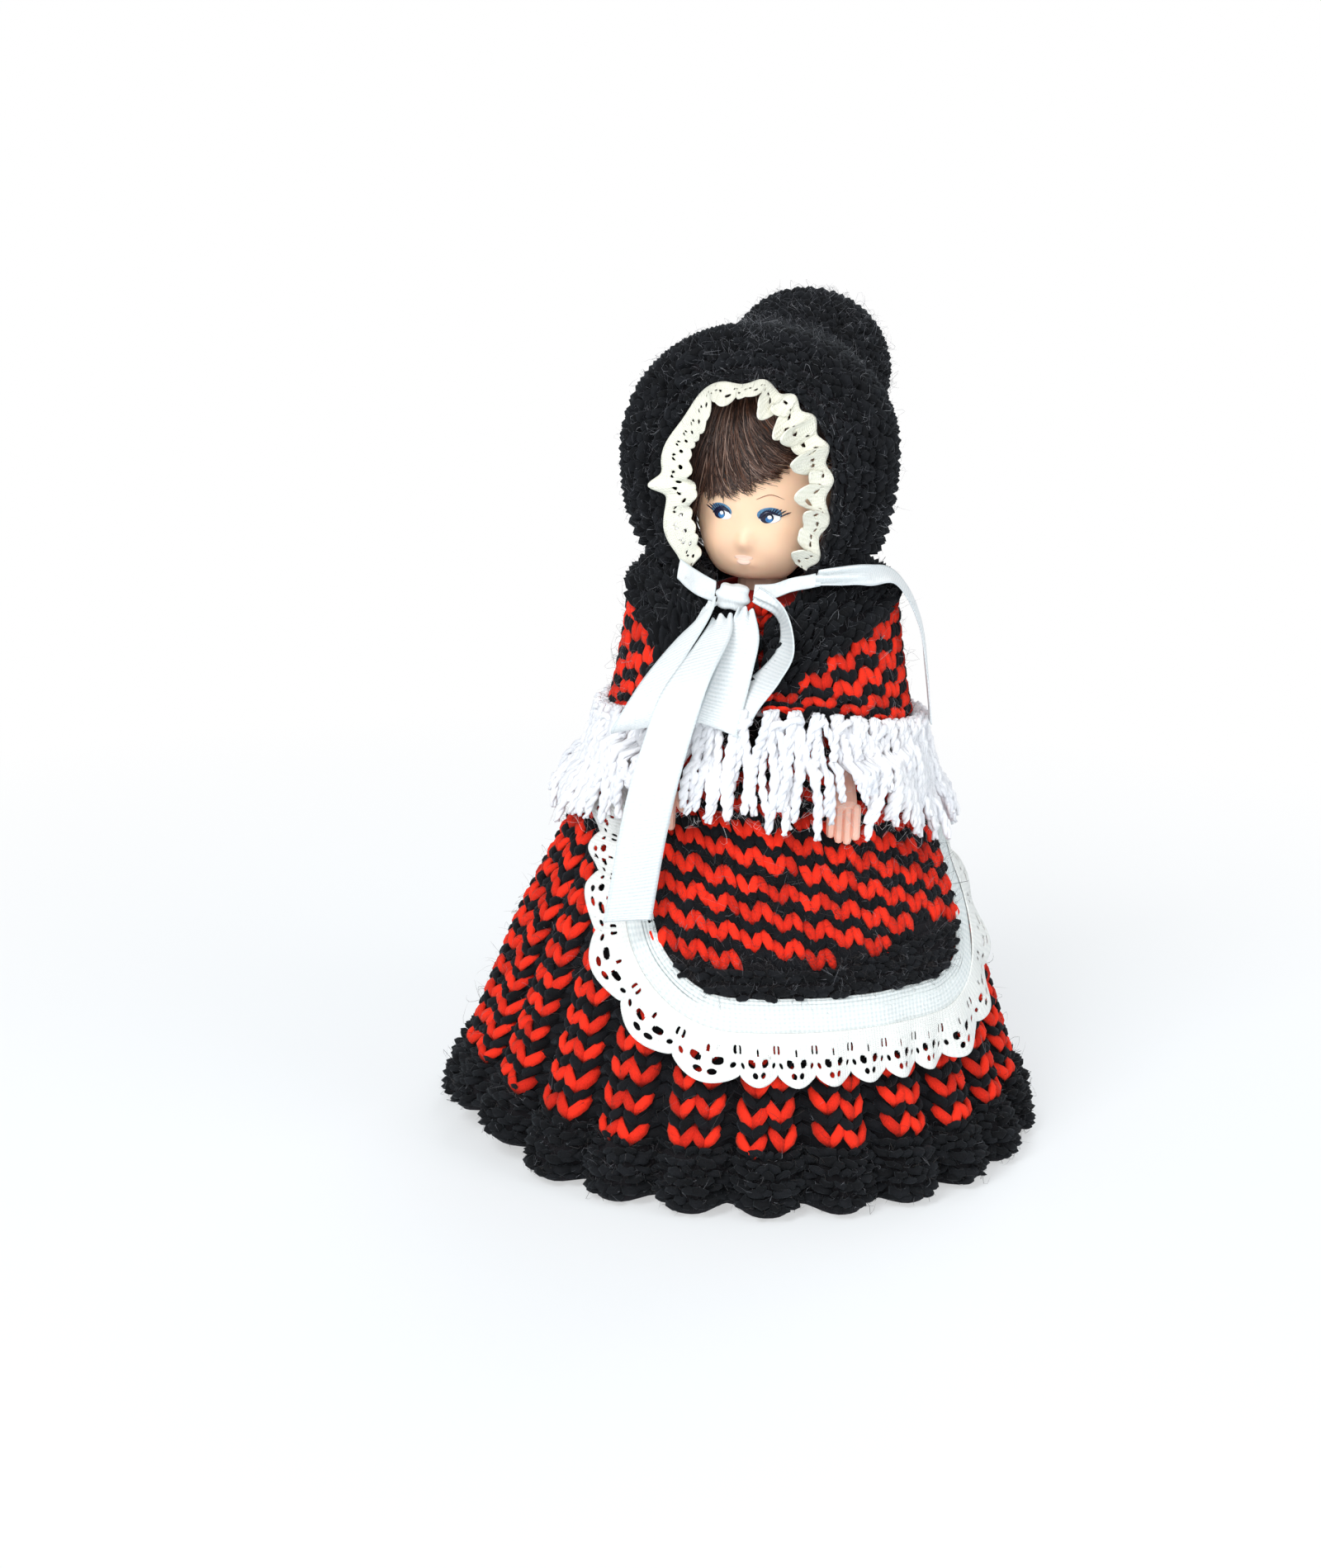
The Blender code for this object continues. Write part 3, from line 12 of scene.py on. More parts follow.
import bpy
import numpy as np
from mathutils import Matrix, Vector


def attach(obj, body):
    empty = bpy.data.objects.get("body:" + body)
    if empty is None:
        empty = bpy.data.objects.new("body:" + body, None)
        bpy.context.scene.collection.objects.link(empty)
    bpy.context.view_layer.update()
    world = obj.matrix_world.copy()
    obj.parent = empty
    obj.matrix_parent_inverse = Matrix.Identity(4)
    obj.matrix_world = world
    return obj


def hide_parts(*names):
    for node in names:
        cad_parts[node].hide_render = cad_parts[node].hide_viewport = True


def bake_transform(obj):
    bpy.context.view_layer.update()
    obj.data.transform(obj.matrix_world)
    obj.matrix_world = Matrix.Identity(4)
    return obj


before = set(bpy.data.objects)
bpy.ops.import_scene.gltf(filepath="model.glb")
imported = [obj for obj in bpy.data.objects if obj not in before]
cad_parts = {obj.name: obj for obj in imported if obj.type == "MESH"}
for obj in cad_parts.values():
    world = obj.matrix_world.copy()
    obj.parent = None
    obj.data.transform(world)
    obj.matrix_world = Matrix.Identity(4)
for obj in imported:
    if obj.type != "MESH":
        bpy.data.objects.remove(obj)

FULL_TURN = 2 * math.pi
HALF_TURN = math.pi
HEAD_TURN = math.radians(-15)
SEED = 20

logging.basicConfig(level=logging.INFO, format="%(message)s")
LOG = logging.getLogger("knitted_doll")
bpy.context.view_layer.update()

Array = np.ndarray
Place = Callable[[Array, Array], Array]


class Body(Enum):
    """The bodies of the frame that pieces ride on."""

    TORSO = "torso"
    HEAD = "head"
    LEFT_ARM = "left_arm"
    RIGHT_ARM = "right_arm"


class Hold(Enum):
    """How a sheet of cloth is held."""

    GATHERED = "gathered"
    DRAPED = "draped"
    HUNG = "hung"
    STRETCHED = "stretched"


# Numbers


def smooth(value: Array) -> Array:
    """0 below 0, 1 above 1 and an even rise between them."""
    held = np.clip(value, 0, 1)
    return held * held * (3 - 2 * held)


def bump(distance: Array, spread: float) -> Array:
    """A rounded hump of height 1 that fades over the spread."""
    return np.exp(-((distance / spread) ** 2))


def between(table: Array, share: Array) -> Array:
    """Rows of a table part of the way along it, joined smoothly through its rows.

    Args:
        table: One row for each station.
        share: How far along the table each wanted row lies, 0 to 1.

    Returns:
        One row for each share.
    """
    place = np.clip(share, 0, 1) * (len(table) - 1)
    index = np.minimum(place.astype(int), len(table) - 2)
    t = (place - index)[:, None]
    a = table[np.maximum(index - 1, 0)]
    b = table[index]
    c = table[index + 1]
    d = table[np.minimum(index + 2, len(table) - 1)]
    return (2 * b + (c - a) * t + (2 * a - 5 * b + 4 * c - d) * t * t + (3 * b - a - 3 * c + d) * t**3) / 2


def on_circle(radius: Array, angle: Array, height: Array) -> Array:
    """Points at these angles from the front, turning towards the doll's left."""
    return np.stack([radius * np.sin(angle), -radius * np.cos(angle), height + 0 * angle], axis=-1)


def turned_with_head(points: Array) -> Array:
    """Points of the head's own frame, turned as the head is at rest."""
    c, s = math.cos(HEAD_TURN), math.sin(HEAD_TURN)
    x, y, z = points[..., 0], points[..., 1], points[..., 2]
    return np.stack([c * x - s * y, s * x + c * y, z], axis=-1)


def unit(vectors: Array) -> Array:
    """The vectors at length 1."""
    return vectors / np.maximum(np.linalg.norm(vectors, axis=-1, keepdims=True), 1e-12)


def lifted(place: Place, u: Array, v: Array, lift: Array, step: float = 1e-4) -> Array:
    """Points off a face, square to it.

    Args:
        place: The face, as a function of its two coordinates.
        u: First coordinate, growing towards the doll's left on an outer face.
        v: Second coordinate, growing upwards.
        lift: How far outside the face each point is.
        step: How far apart the face is felt for its slope.

    Returns:
        One point for each pair of coordinates.
    """
    along = place(u + step, v) - place(u - step, v)
    up = place(u, v + step) - place(u, v - step)
    return place(u, v) + unit(np.cross(along, up)) * np.asarray(lift)[..., None]


# Meshes


@dataclass
class Shape:
    """Corners, faces and per-corner coordinates of a mesh that is being put together."""

    points: Array
    faces: list[Array]
    uv: Array | None = None

    def joined(self, other: "Shape") -> "Shape":
        """This shape and another as one."""
        shift = len(self.points)
        uv = None if self.uv is None or other.uv is None else np.concatenate([self.uv, other.uv])
        return Shape(
            np.concatenate([self.points, other.points]),
            self.faces + [block + shift for block in other.faces],
            uv,
        )


def object_of(name: str, shape: Shape) -> bpy.types.Object:
    """Makes an object at the origin from a shape.

    Args:
        name: The piece's name.
        shape: Its corners and faces. Each block of faces has faces of one number of corners.

    Returns:
        The new mesh object, shaded smooth.
    """
    mesh = bpy.data.meshes.new(name)
    mesh.vertices.add(len(shape.points))
    mesh.vertices.foreach_set("co", np.ascontiguousarray(shape.points, np.float32).ravel())
    loops = np.concatenate([block.ravel() for block in shape.faces]).astype(np.int32)
    sizes = np.concatenate([np.full(len(block), block.shape[1]) for block in shape.faces]).astype(np.int32)
    mesh.loops.add(len(loops))
    mesh.loops.foreach_set("vertex_index", loops)
    mesh.polygons.add(len(sizes))
    mesh.polygons.foreach_set("loop_start", (np.cumsum(sizes) - sizes).astype(np.int32))
    if shape.uv is not None:
        layer = mesh.uv_layers.new(name="UVMap")
        layer.data.foreach_set("uv", np.ascontiguousarray(shape.uv[loops], np.float32).ravel())
    mesh.update(calc_edges=True)
    mesh.validate()
    mesh.shade_smooth()
    obj = bpy.data.objects.new(name, mesh)
    bpy.context.scene.collection.objects.link(obj)
    return obj


def select_only(obj: bpy.types.Object) -> None:
    """Makes an object the one that operators act on."""
    bpy.ops.object.select_all(action="DESELECT")
    obj.select_set(True)
    bpy.context.view_layer.objects.active = obj


def applied(obj: bpy.types.Object, kind: str, **settings: object) -> bpy.types.Object:
    """Adds a modifier to a piece and applies it."""
    select_only(obj)
    modifier = obj.modifiers.new(kind.title(), kind)
    for name, value in settings.items():
        setattr(modifier, name, value)
    bpy.ops.object.modifier_apply(modifier=modifier.name)
    return obj


def tube_pattern(sides: int, rings: int) -> Shape:
    """A closed tube of radius 1 from height 0 to 1, modelled once by extruding a ring.

    Args:
        sides: Corners of each ring.
        rings: How many rings it has.

    Returns:
        The tube's shape, with its ends closed.
    """
    bpy.ops.object.select_all(action="DESELECT")
    bpy.ops.mesh.primitive_circle_add(vertices=sides, radius=1, fill_type="NGON", location=(0, 0, 0))
    obj = bpy.context.object
    bpy.ops.object.mode_set(mode="EDIT")
    bpy.ops.mesh.select_all(action="SELECT")
    for _ in range(rings - 1):
        bpy.ops.mesh.extrude_region_move(TRANSFORM_OT_translate={"value": (0, 0, 1 / (rings - 1))})
    bpy.ops.mesh.select_all(action="SELECT")
    bpy.ops.mesh.normals_make_consistent(inside=False)
    bpy.ops.object.mode_set(mode="OBJECT")
    points = np.array([corner.co[:] for corner in obj.data.vertices])
    fours = np.array(
        [face.vertices[:] for face in obj.data.polygons if len(face.vertices) == 4 and sides != 4]
    )
    ends = np.array([face.vertices[:] for face in obj.data.polygons if len(face.vertices) == sides])
    mesh = obj.data
    bpy.data.objects.remove(obj)
    bpy.data.meshes.remove(mesh)
    around = np.arctan2(points[:, 1], points[:, 0]) / FULL_TURN
    return Shape(points, [fours, ends], np.stack([around, points[:, 2]], axis=-1))


@dataclass
class Cells:
    """Where a repeated yarn shape goes: corners of the cells and their two sides, in a face's coordinates."""

    corner: Array
    across: Array
    up: Array
    mirrored: Array
    tone: Array

    def only(self, kept: Array) -> "Cells":
        """The cells that are kept."""
        return Cells(
            self.corner[kept], self.across[kept], self.up[kept], self.mirrored[kept], self.tone[kept]
        )

    def taller(self, share: float) -> "Cells":
        """The cells grown upwards and downwards to this share of their height."""
        return Cells(
            self.corner - self.up * (share - 1) / 2, self.across, self.up * share, self.mirrored, self.tone
        )

    def joined(self, other: "Cells") -> "Cells":
        """These cells and others."""
        pairs = zip(vars(self).values(), vars(other).values())
        return Cells(*[np.concatenate(pair) for pair in pairs])


def laid(pattern: Shape, cells: Cells, place: Place, thickness: float) -> Shape:
    """Repeats a yarn shape over a face.

    Args:
        pattern: The shape in its cell: x across it, y up it, and z out of the cloth in thicknesses.
        cells: Where it goes.
        place: The face.
        thickness: What a z of 1 is, in metres.

    Returns:
        All copies as one shape, each with its tone as a third of its coordinates.
    """
    x, y, z = pattern.points.T
    count = len(cells.corner)
    side = np.where(cells.mirrored, -1.0, 1.0)[:, None]
    flat = (
        cells.corner[:, None, :]
        + (side * x[None, :])[..., None] * cells.across[:, None, :]
        + y[None, :, None] * cells.up[:, None, :]
    )
    u, v = flat[..., 0].ravel(), flat[..., 1].ravel()
    points = lifted(place, u, v, np.tile(z * thickness, count))
    shift = (np.arange(count) * len(x))[:, None, None]
    blocks = []
    for block in pattern.faces:
        kept = block[None] + shift[~cells.mirrored]
        swapped = block[None, :, ::-1] + shift[cells.mirrored]
        blocks.append(np.concatenate([kept, swapped]).reshape(-1, block.shape[1]))
    uv = np.stack(
        [
            (cells.tone[:, None] + 0 * x[None, :]).ravel(),
            (pattern.uv[None, :, 1] + 0 * cells.tone[:, None]).ravel(),
        ],
        axis=-1,
    )
    return Shape(points, blocks, uv)


def swept(paths: Array, radii: Array, sides: int, reference: Array, tone: Array, twist: float = 0.0) -> Shape:
    """Closed tubes along many paths at once.

    Args:
        paths: Points of each path, as (path, step, 3).
        radii: Radius at each step, as (path, step).
        sides: Corners of each ring.
        reference: A direction for each path that it never runs along, as (path, 3).
        tone: One number for each path, kept in its coordinates.
        twist: How strongly two strands show in the ring, 0 for a round one.

    Returns:
        All tubes as one shape.
    """
    count, steps, _ = paths.shape
    along = unit(np.gradient(paths, axis=1))
    first = unit(np.cross(along, reference[:, None, :]))
    second = np.cross(along, first)
    turn = np.arange(sides) / sides * FULL_TURN
    wave = 1.0
    if twist:
        phase = np.arange(steps)[None, :, None] * 0.85 + (tone * FULL_TURN)[:, None, None]
        wave = 1 + twist * np.cos(2 * (turn[None, None, :] - phase))
    ring = radii[..., None] * wave
    points = (
        paths[:, :, None, :]
        + (ring * np.cos(turn))[..., None] * first[:, :, None, :]
        + (ring * np.sin(turn))[..., None] * second[:, :, None, :]
    )
    index = np.arange(count * steps * sides).reshape(count, steps, sides)
    nxt = np.roll(index, -1, axis=2)
    fours = np.stack([index[:, :-1], nxt[:, :-1], nxt[:, 1:], index[:, 1:]], axis=-1).reshape(-1, 4)
    ends = np.concatenate([index[:, 0, ::-1], index[:, -1]])
    uv = np.stack(
        [
            np.broadcast_to(tone[:, None, None], (count, steps, sides)).ravel(),
            np.broadcast_to(np.linspace(0, 1, steps)[None, :, None], (count, steps, sides)).ravel(),
        ],
        axis=-1,
    )
    return Shape(points.reshape(-1, 3), [fours, ends], uv)


def plied(paths: Array, outward: Array, offset: float, turns: float) -> Array:
    """Each path as two that wind round each other.

    Args:
        paths: Points of each path, as (path, step, 3).
        outward: A direction for each path that it never runs along, as (path, 3).
        offset: How far each of the two lies from the path.
        turns: How often they wind round.

    Returns:
        Twice as many paths, first all of one ply and then all of the other.
    """
    along = unit(np.gradient(paths, axis=1))
    first = unit(np.cross(along, outward[:, None, :]))
    second = np.cross(along, first)
    count, steps, _ = paths.shape
    swing = (np.linspace(0, turns, steps)[None] + np.arange(count)[:, None] * 0.37) * FULL_TURN
    away = offset * (np.cos(swing)[..., None] * first + np.sin(swing)[..., None] * second)
    return np.concatenate([paths + away, paths - away])


def grid_shape(
    place: Place, columns: int, rows: int, closed: bool = False, kept: Array | None = None
) -> Shape:
    """A sheet over the unit square of a face's coordinates.

    Args:
        place: The face, with both coordinates from 0 to 1.
        columns: Faces across.
        rows: Faces up.
        closed: Whether its last column meets its first.
        kept: Which faces stay, as (rows, columns), for a sheet with holes.

    Returns:
        The sheet, with its coordinates as its corners' UV.
    """
    across = columns if closed else columns + 1
    u, v = np.meshgrid(np.arange(across) / columns, np.linspace(0, 1, rows + 1))
    points = place(u.ravel(), v.ravel())
    index = np.arange(across * (rows + 1)).reshape(rows + 1, across)
    right = np.roll(index, -1, axis=1)
    faces = np.stack([index[:-1], right[:-1], right[1:], index[1:]], axis=-1)[:, :columns]
    faces = faces.reshape(-1, 4) if kept is None else faces[kept]
    used, faces = np.unique(faces, return_inverse=True)
    uv = np.stack([u.ravel(), v.ravel()], axis=-1)
    return Shape(points[used], [faces.reshape(-1, 4)], uv[used])


# Finishes


class Nodes:
    """Adds nodes to a material and joins them."""

    def __init__(self, name: str) -> None:
        self.material = bpy.data.materials.new(name)
        self.material.use_nodes = True
        self.tree = self.material.node_tree
        self.shader = self.tree.nodes["Principled BSDF"]

    def add(self, kind: str, **settings: object) -> bpy.types.Node:
        """A new node with these properties, or these input values where it has no such property."""
        node = self.tree.nodes.new(kind)
        for name, value in settings.items():
            if hasattr(node, name):
                setattr(node, name, value)
            else:
                node.inputs[name.replace("_", " ").title()].default_value = value
        return node

    def join(self, start: bpy.types.NodeSocket, end: bpy.types.NodeSocket) -> None:
        """A link between two sockets."""
        self.tree.links.new(start, end)

    def coordinates(self, output: str = "Object") -> bpy.types.NodeSocket:
        """The piece's own coordinates."""
        return self.add("ShaderNodeTexCoord").outputs[output]

    def scaled(
        self, vector: bpy.types.NodeSocket, scale: Sequence[float], turn: float = 0
    ) -> bpy.types.NodeSocket:
        """Coordinates stretched, then turned about Z."""
        node = self.add("ShaderNodeMapping")
        node.inputs["Scale"].default_value = scale
        node.inputs["Rotation"].default_value = (0, 0, turn)
        self.join(vector, node.inputs["Vector"])
        return node.outputs["Vector"]

    def noise(self, vector: bpy.types.NodeSocket, scale: float, detail: float = 2) -> bpy.types.NodeSocket:
        """A noise pattern."""
        node = self.add("ShaderNodeTexNoise")
        node.inputs["Scale"].default_value = scale
        node.inputs["Detail"].default_value = detail
        self.join(vector, node.inputs["Vector"])
        return node.outputs["Fac"]

    def ramp(
        self, value: bpy.types.NodeSocket, stops: Iterable[tuple[float, Sequence[float]]]
    ) -> bpy.types.NodeSocket:
        """Colours along a value."""
        node = self.add("ShaderNodeValToRGB")
        made = list(stops)
        while len(node.color_ramp.elements) < len(made):
            node.color_ramp.elements.new(0.5)
        for element, (place, colour) in zip(node.color_ramp.elements, made):
            element.position = place
            element.color = (*colour, 1)
        self.join(value, node.inputs["Fac"])
        return node.outputs["Color"]

    def math(self, kind: str, first: object, second: object = 0.5) -> bpy.types.NodeSocket:
        """A sum of two values or sockets."""
        node = self.add("ShaderNodeMath", operation=kind)
        for socket, value in zip(node.inputs, (first, second)):
            if isinstance(value, bpy.types.NodeSocket):
                self.join(value, socket)
            else:
                socket.default_value = value
        return node.outputs["Value"]

    def mix(self, factor: object, first: object, second: object, kind: str = "MIX") -> bpy.types.NodeSocket:
        """Two colours mixed."""
        node = self.add("ShaderNodeMix", data_type="RGBA", blend_type=kind)
        for socket, value in zip(
            (node.inputs["Factor"], node.inputs["A"], node.inputs["B"]), (factor, first, second)
        ):
            socket = socket if socket.name == "Factor" else [
                s for s in node.inputs if s.name == socket.name and s.type == "RGBA"
            ][0]
            if isinstance(value, bpy.types.NodeSocket):
                self.join(value, socket)
            else:
                socket.default_value = value if isinstance(value, float) else (*value, 1)
        return [s for s in node.outputs if s.type == "RGBA"][0]

    def relief(self, height: bpy.types.NodeSocket, strength: float, distance: float) -> None:
        """Raises the surface by a pattern."""
        node = self.add("ShaderNodeBump")
        node.inputs["Strength"].default_value = strength
        node.inputs["Distance"].default_value = distance
        self.join(height, node.inputs["Height"])
        self.join(node.outputs["Normal"], self.shader.inputs["Normal"])

    def set(self, **values: object) -> None:
        """Sets plain values on the shader's own sockets."""
        for name, value in values.items():
            self.shader.inputs[name.replace("_", " ").title()].default_value = value


@dataclass(frozen=True)
class YarnFinish:
    """Spun yarn: soft, matt, with twisted plies, small tone differences and painted shade at leg ends."""

    name: str
    dark: tuple[float, float, float]
    light: tuple[float, float, float]
    sheen_tint: tuple[float, float, float]
    sheen: float = 0.35
    roughness: float = 0.85
    # How much darker each leg is painted towards its ends: painted shade where the stitches meet.
    ends: float = 0.0

    def build(self) -> bpy.types.Material:
        """The finished material."""
        nodes = Nodes(self.name)
        place = nodes.coordinates()
        own = nodes.coordinates("UV")
        fibres = nodes.noise(nodes.scaled(place, (1, 1, 0.45)), 4200, 3)
        patches = nodes.noise(place, 260, 2)
        split = nodes.add("ShaderNodeSeparateXYZ")
        nodes.join(own, split.inputs["Vector"])
        tone = nodes.math("MULTIPLY", nodes.math("FRACT", split.outputs["X"]), 0.45)
        amount = nodes.math("ADD", tone, nodes.math("MULTIPLY", fibres, 0.45))
        amount = nodes.math("ADD", amount, nodes.math("MULTIPLY", patches, 0.25))
        # Painted shade: the colour darkens towards both ends of each leg, by ends.
        if self.ends:
            away = nodes.math(
                "ABSOLUTE", nodes.math("SUBTRACT", nodes.math("FRACT", split.outputs["Y"]), 0.5)
            )
            end_shade = nodes.math("POWER", nodes.math("MULTIPLY", away, 2.0), 3.0)
            amount = nodes.math(
                "SUBTRACT", nodes.math("ADD", amount, 0.10), nodes.math("MULTIPLY", end_shade, self.ends)
            )
        nodes.join(
            nodes.ramp(amount, ((0.2, self.dark), (0.8, self.light))), nodes.shader.inputs["Base Color"]
        )
        nodes.relief(fibres, 0.6, 0.0003)
        nodes.set(roughness=self.roughness, sheen_weight=self.sheen, sheen_roughness=0.45)
        nodes.shader.inputs["Sheen Tint"].default_value = (*self.sheen_tint, 1)
        nodes.shader.inputs["Specular IOR Level"].default_value = 0.2
        return nodes.material


@dataclass(frozen=True)
class FibreFinish:
    """Loose fibres of several tones."""

    name: str
    tones: tuple[tuple[float, tuple[float, float, float]], ...]
    roughness: float = 0.6

    def build(self) -> bpy.types.Material:
        """The finished material."""
        nodes = Nodes(self.name)
        split = nodes.add("ShaderNodeSeparateXYZ")
        nodes.join(nodes.coordinates("UV"), split.inputs["Vector"])
        base = nodes.ramp(nodes.math("FRACT", split.outputs["X"]), self.tones)
        patches = nodes.noise(nodes.coordinates(), 900, 2)
        shade = nodes.ramp(patches, ((0.3, (0.7, 0.7, 0.7)), (0.7, (1, 1, 1))))
        nodes.join(nodes.mix(1.0, base, shade, "MULTIPLY"), nodes.shader.inputs["Base Color"])
        nodes.set(roughness=self.roughness)
        return nodes.material


@dataclass(frozen=True)
class ClothFinish:
    """A woven or knitted ground with fine threads across and along it, and painted shade between them."""

    name: str
    dark: tuple[float, float, float]
    light: tuple[float, float, float]
    threads: tuple[float, float]
    relief: float = 0.4
    roughness: float = 0.8
    sheen: float = 0.2
    rib_share: float = 1.0

    def build(self) -> bpy.types.Material:
        """The finished material."""
        nodes = Nodes(self.name)
        own = nodes.coordinates("UV")
        split = nodes.add("ShaderNodeSeparateXYZ")
        nodes.join(own, split.inputs["Vector"])
        across = nodes.math("SINE", nodes.math("MULTIPLY", split.outputs["X"], self.threads[0] * FULL_TURN))
        along = nodes.math("SINE", nodes.math("MULTIPLY", split.outputs["Y"], self.threads[1] * FULL_TURN))
        weave = nodes.math("ADD", nodes.math("MULTIPLY", across, self.rib_share), along)
        grain = nodes.noise(nodes.coordinates(), 2500, 2)
        height = nodes.math("ADD", nodes.math("MULTIPLY", weave, 0.25), grain)
        # The colour follows the weave's height, low threads painted darker as shade, with random grain.
        shade = nodes.math("ADD", nodes.math("MULTIPLY", height, 0.5), 0.25)
        nodes.join(
            nodes.ramp(shade, ((0.1, self.dark), (0.7, self.light))), nodes.shader.inputs["Base Color"]
        )
        nodes.relief(height, self.relief, 0.0002)
        nodes.set(roughness=self.roughness, sheen_weight=self.sheen)
        return nodes.material


@dataclass(frozen=True)
class SatinFinish:
    """Woven ribbon with fine ribs across it and a firm edge each side, painted darker as shade in both."""

    name: str
    dark: tuple[float, float, float]
    light: tuple[float, float, float]
    ribs: float = 90
    edge_shade_share: float = 0.07
    roughness: float = 0.42

    def build(self) -> bpy.types.Material:
        """The finished material."""
        nodes = Nodes(self.name)
        split = nodes.add("ShaderNodeSeparateXYZ")
        nodes.join(nodes.coordinates("UV"), split.inputs["Vector"])
        ribs = nodes.math("SINE", nodes.math("MULTIPLY", split.outputs["X"], self.ribs * FULL_TURN))
        aside = nodes.math("ABSOLUTE", nodes.math("SUBTRACT", split.outputs["Y"], 0.5))
        # The edge band is raised in the relief and painted darker: a painted shadow line along each edge.
        edge = nodes.math("GREATER_THAN", aside, 0.5 - self.edge_shade_share)
        grain = nodes.noise(nodes.coordinates(), 2500, 2)
        # The colour follows the ribs, darker in their valleys as painted shade, with random grain.
        shade = nodes.math("ADD", nodes.math("MULTIPLY", ribs, 0.22), grain)
        shade = nodes.math("SUBTRACT", shade, nodes.math("MULTIPLY", edge, 0.45))
        nodes.join(
            nodes.ramp(shade, ((0.1, self.dark), (0.7, self.light))), nodes.shader.inputs["Base Color"]
        )
        height = nodes.math("ADD", nodes.math("MULTIPLY", ribs, 0.35), edge)
        nodes.relief(height, 0.35, 0.0002)
        nodes.set(roughness=self.roughness, sheen_weight=0.2)
        return nodes.material


@dataclass(frozen=True)
class VinylFinish:
    """Soft moulded vinyl with a faint glow through it and small blemishes."""

    name: str
    light: tuple[float, float, float]
    blush: tuple[float, float, float]
    roughness: float = 0.42
    depth: float = 0.12

    def build(self) -> bpy.types.Material:
        """The finished material."""
        nodes = Nodes(self.name)
        place = nodes.coordinates()
        patches = nodes.noise(place, 140, 3)
        nodes.join(
            nodes.ramp(patches, ((0.35, self.light), (0.75, self.blush))), nodes.shader.inputs["Base Color"]
        )
        nodes.relief(nodes.noise(place, 2400, 2), 0.12, 0.0001)
        nodes.set(roughness=self.roughness, subsurface_weight=self.depth, subsurface_scale=0.002)
        nodes.shader.inputs["Subsurface Radius"].default_value = (1.0, 0.45, 0.25)
        nodes.shader.inputs["Specular IOR Level"].default_value = 0.4
        return nodes.material


@dataclass(frozen=True)
class PaintFinish:
    """Thin paint on vinyl."""

    name: str
    colour: tuple[float, float, float]
    worn: tuple[float, float, float]
    roughness: float = 0.35

    def build(self) -> bpy.types.Material:
        """The finished material."""
        nodes = Nodes(self.name)
        grain = nodes.noise(nodes.coordinates(), 1500, 3)
        nodes.join(
            nodes.ramp(grain, ((0.3, self.colour), (0.8, self.worn))), nodes.shader.inputs["Base Color"]
        )
        nodes.relief(grain, 0.1, 0.0001)
        nodes.set(roughness=self.roughness)
        return nodes.material


BLACK_YARN = YarnFinish(
    "black_yarn", (0.0009, 0.0010, 0.0015), (0.0055, 0.0062, 0.0085), (0.45, 0.52, 0.62), 0.09
)
BLACK_GARTER = YarnFinish(
    "black_garter_yarn", (0.0008, 0.0009, 0.0013), (0.0080, 0.0090, 0.0115), (0.45, 0.52, 0.58), 0.10
)
# Red legs are painted darker towards their ends (ends), as shade where the stitches meet.
RED_YARN = YarnFinish(
    "red_yarn", (0.26, 0.005, 0.003), (0.92, 0.030, 0.010), (1.0, 0.40, 0.25), 0.12, ends=0.62
)
WHITE_YARN = YarnFinish("white_yarn", (0.72, 0.74, 0.79), (0.94, 0.94, 0.96), (1, 1, 1), 0.30)
GROUND_YARN = YarnFinish("black_ground", (0.002, 0.002, 0.003), (0.010, 0.009, 0.011), (0.4, 0.4, 0.5), 0.1)
RED_GROUND = YarnFinish("red_ground", (0.16, 0.006, 0.004), (0.32, 0.012, 0.008), (0.6, 0.2, 0.2), 0.1)
DARK_FIBRES = FibreFinish(
    "black_fibres",
    (
        (0.0, (0.006, 0.006, 0.009)),
        (0.55, (0.024, 0.025, 0.032)),
        (0.8, (0.075, 0.062, 0.055)),
        (0.95, (0.26, 0.27, 0.30)),
    ),
)
# Grey fibres, far lighter than the black yarn that they come from: a painted highlight of light caught in the
# fuzz.
HIGHLIGHT_FIBRES = FibreFinish(
    "grey_fibres",
    (
        (0.0, (0.020, 0.021, 0.027)),
        (0.35, (0.085, 0.088, 0.105)),
        (0.75, (0.22, 0.23, 0.26)),
        (0.95, (0.46, 0.47, 0.50)),
    ),
)
WHITE_FIBRES = FibreFinish("white_fibres", ((0.0, (0.75, 0.76, 0.8)), (0.9, (0.95, 0.95, 0.95))))
HAIR_STRANDS = FibreFinish(
    "brown_strands",
    (
        (0.0, (0.014, 0.006, 0.004)),
        (0.5, (0.055, 0.022, 0.013)),
        (0.85, (0.14, 0.058, 0.032)),
        (0.97, (0.34, 0.22, 0.17)),
    ),
    0.38,
)
SCALP = VinylFinish("hair_cap", (0.20, 0.060, 0.024), (0.38, 0.12, 0.045), 0.5, 0.0)
SKIN = VinylFinish("face_vinyl", (0.99, 0.665, 0.455), (0.99, 0.62, 0.43), 0.42, 0.22)
LIMB_SKIN = VinylFinish("limb_vinyl_skin", (0.93, 0.55, 0.42), (0.90, 0.48, 0.38))
BODY_PLASTIC = VinylFinish("body_plastic_skin", (0.86, 0.58, 0.43), (0.82, 0.52, 0.40), 0.35, 0.0)
TAPE = ClothFinish("cotton_tape", (0.58, 0.65, 0.66), (0.84, 0.87, 0.86), (170, 9), 0.6)
APRON_LACE = ClothFinish("cotton_lace", (0.74, 0.76, 0.74), (0.89, 0.90, 0.87), (260, 26), 0.7)
FACE_LACE = ClothFinish("cream_lace_thread", (0.78, 0.77, 0.63), (0.90, 0.89, 0.78), (220, 16), 0.7)
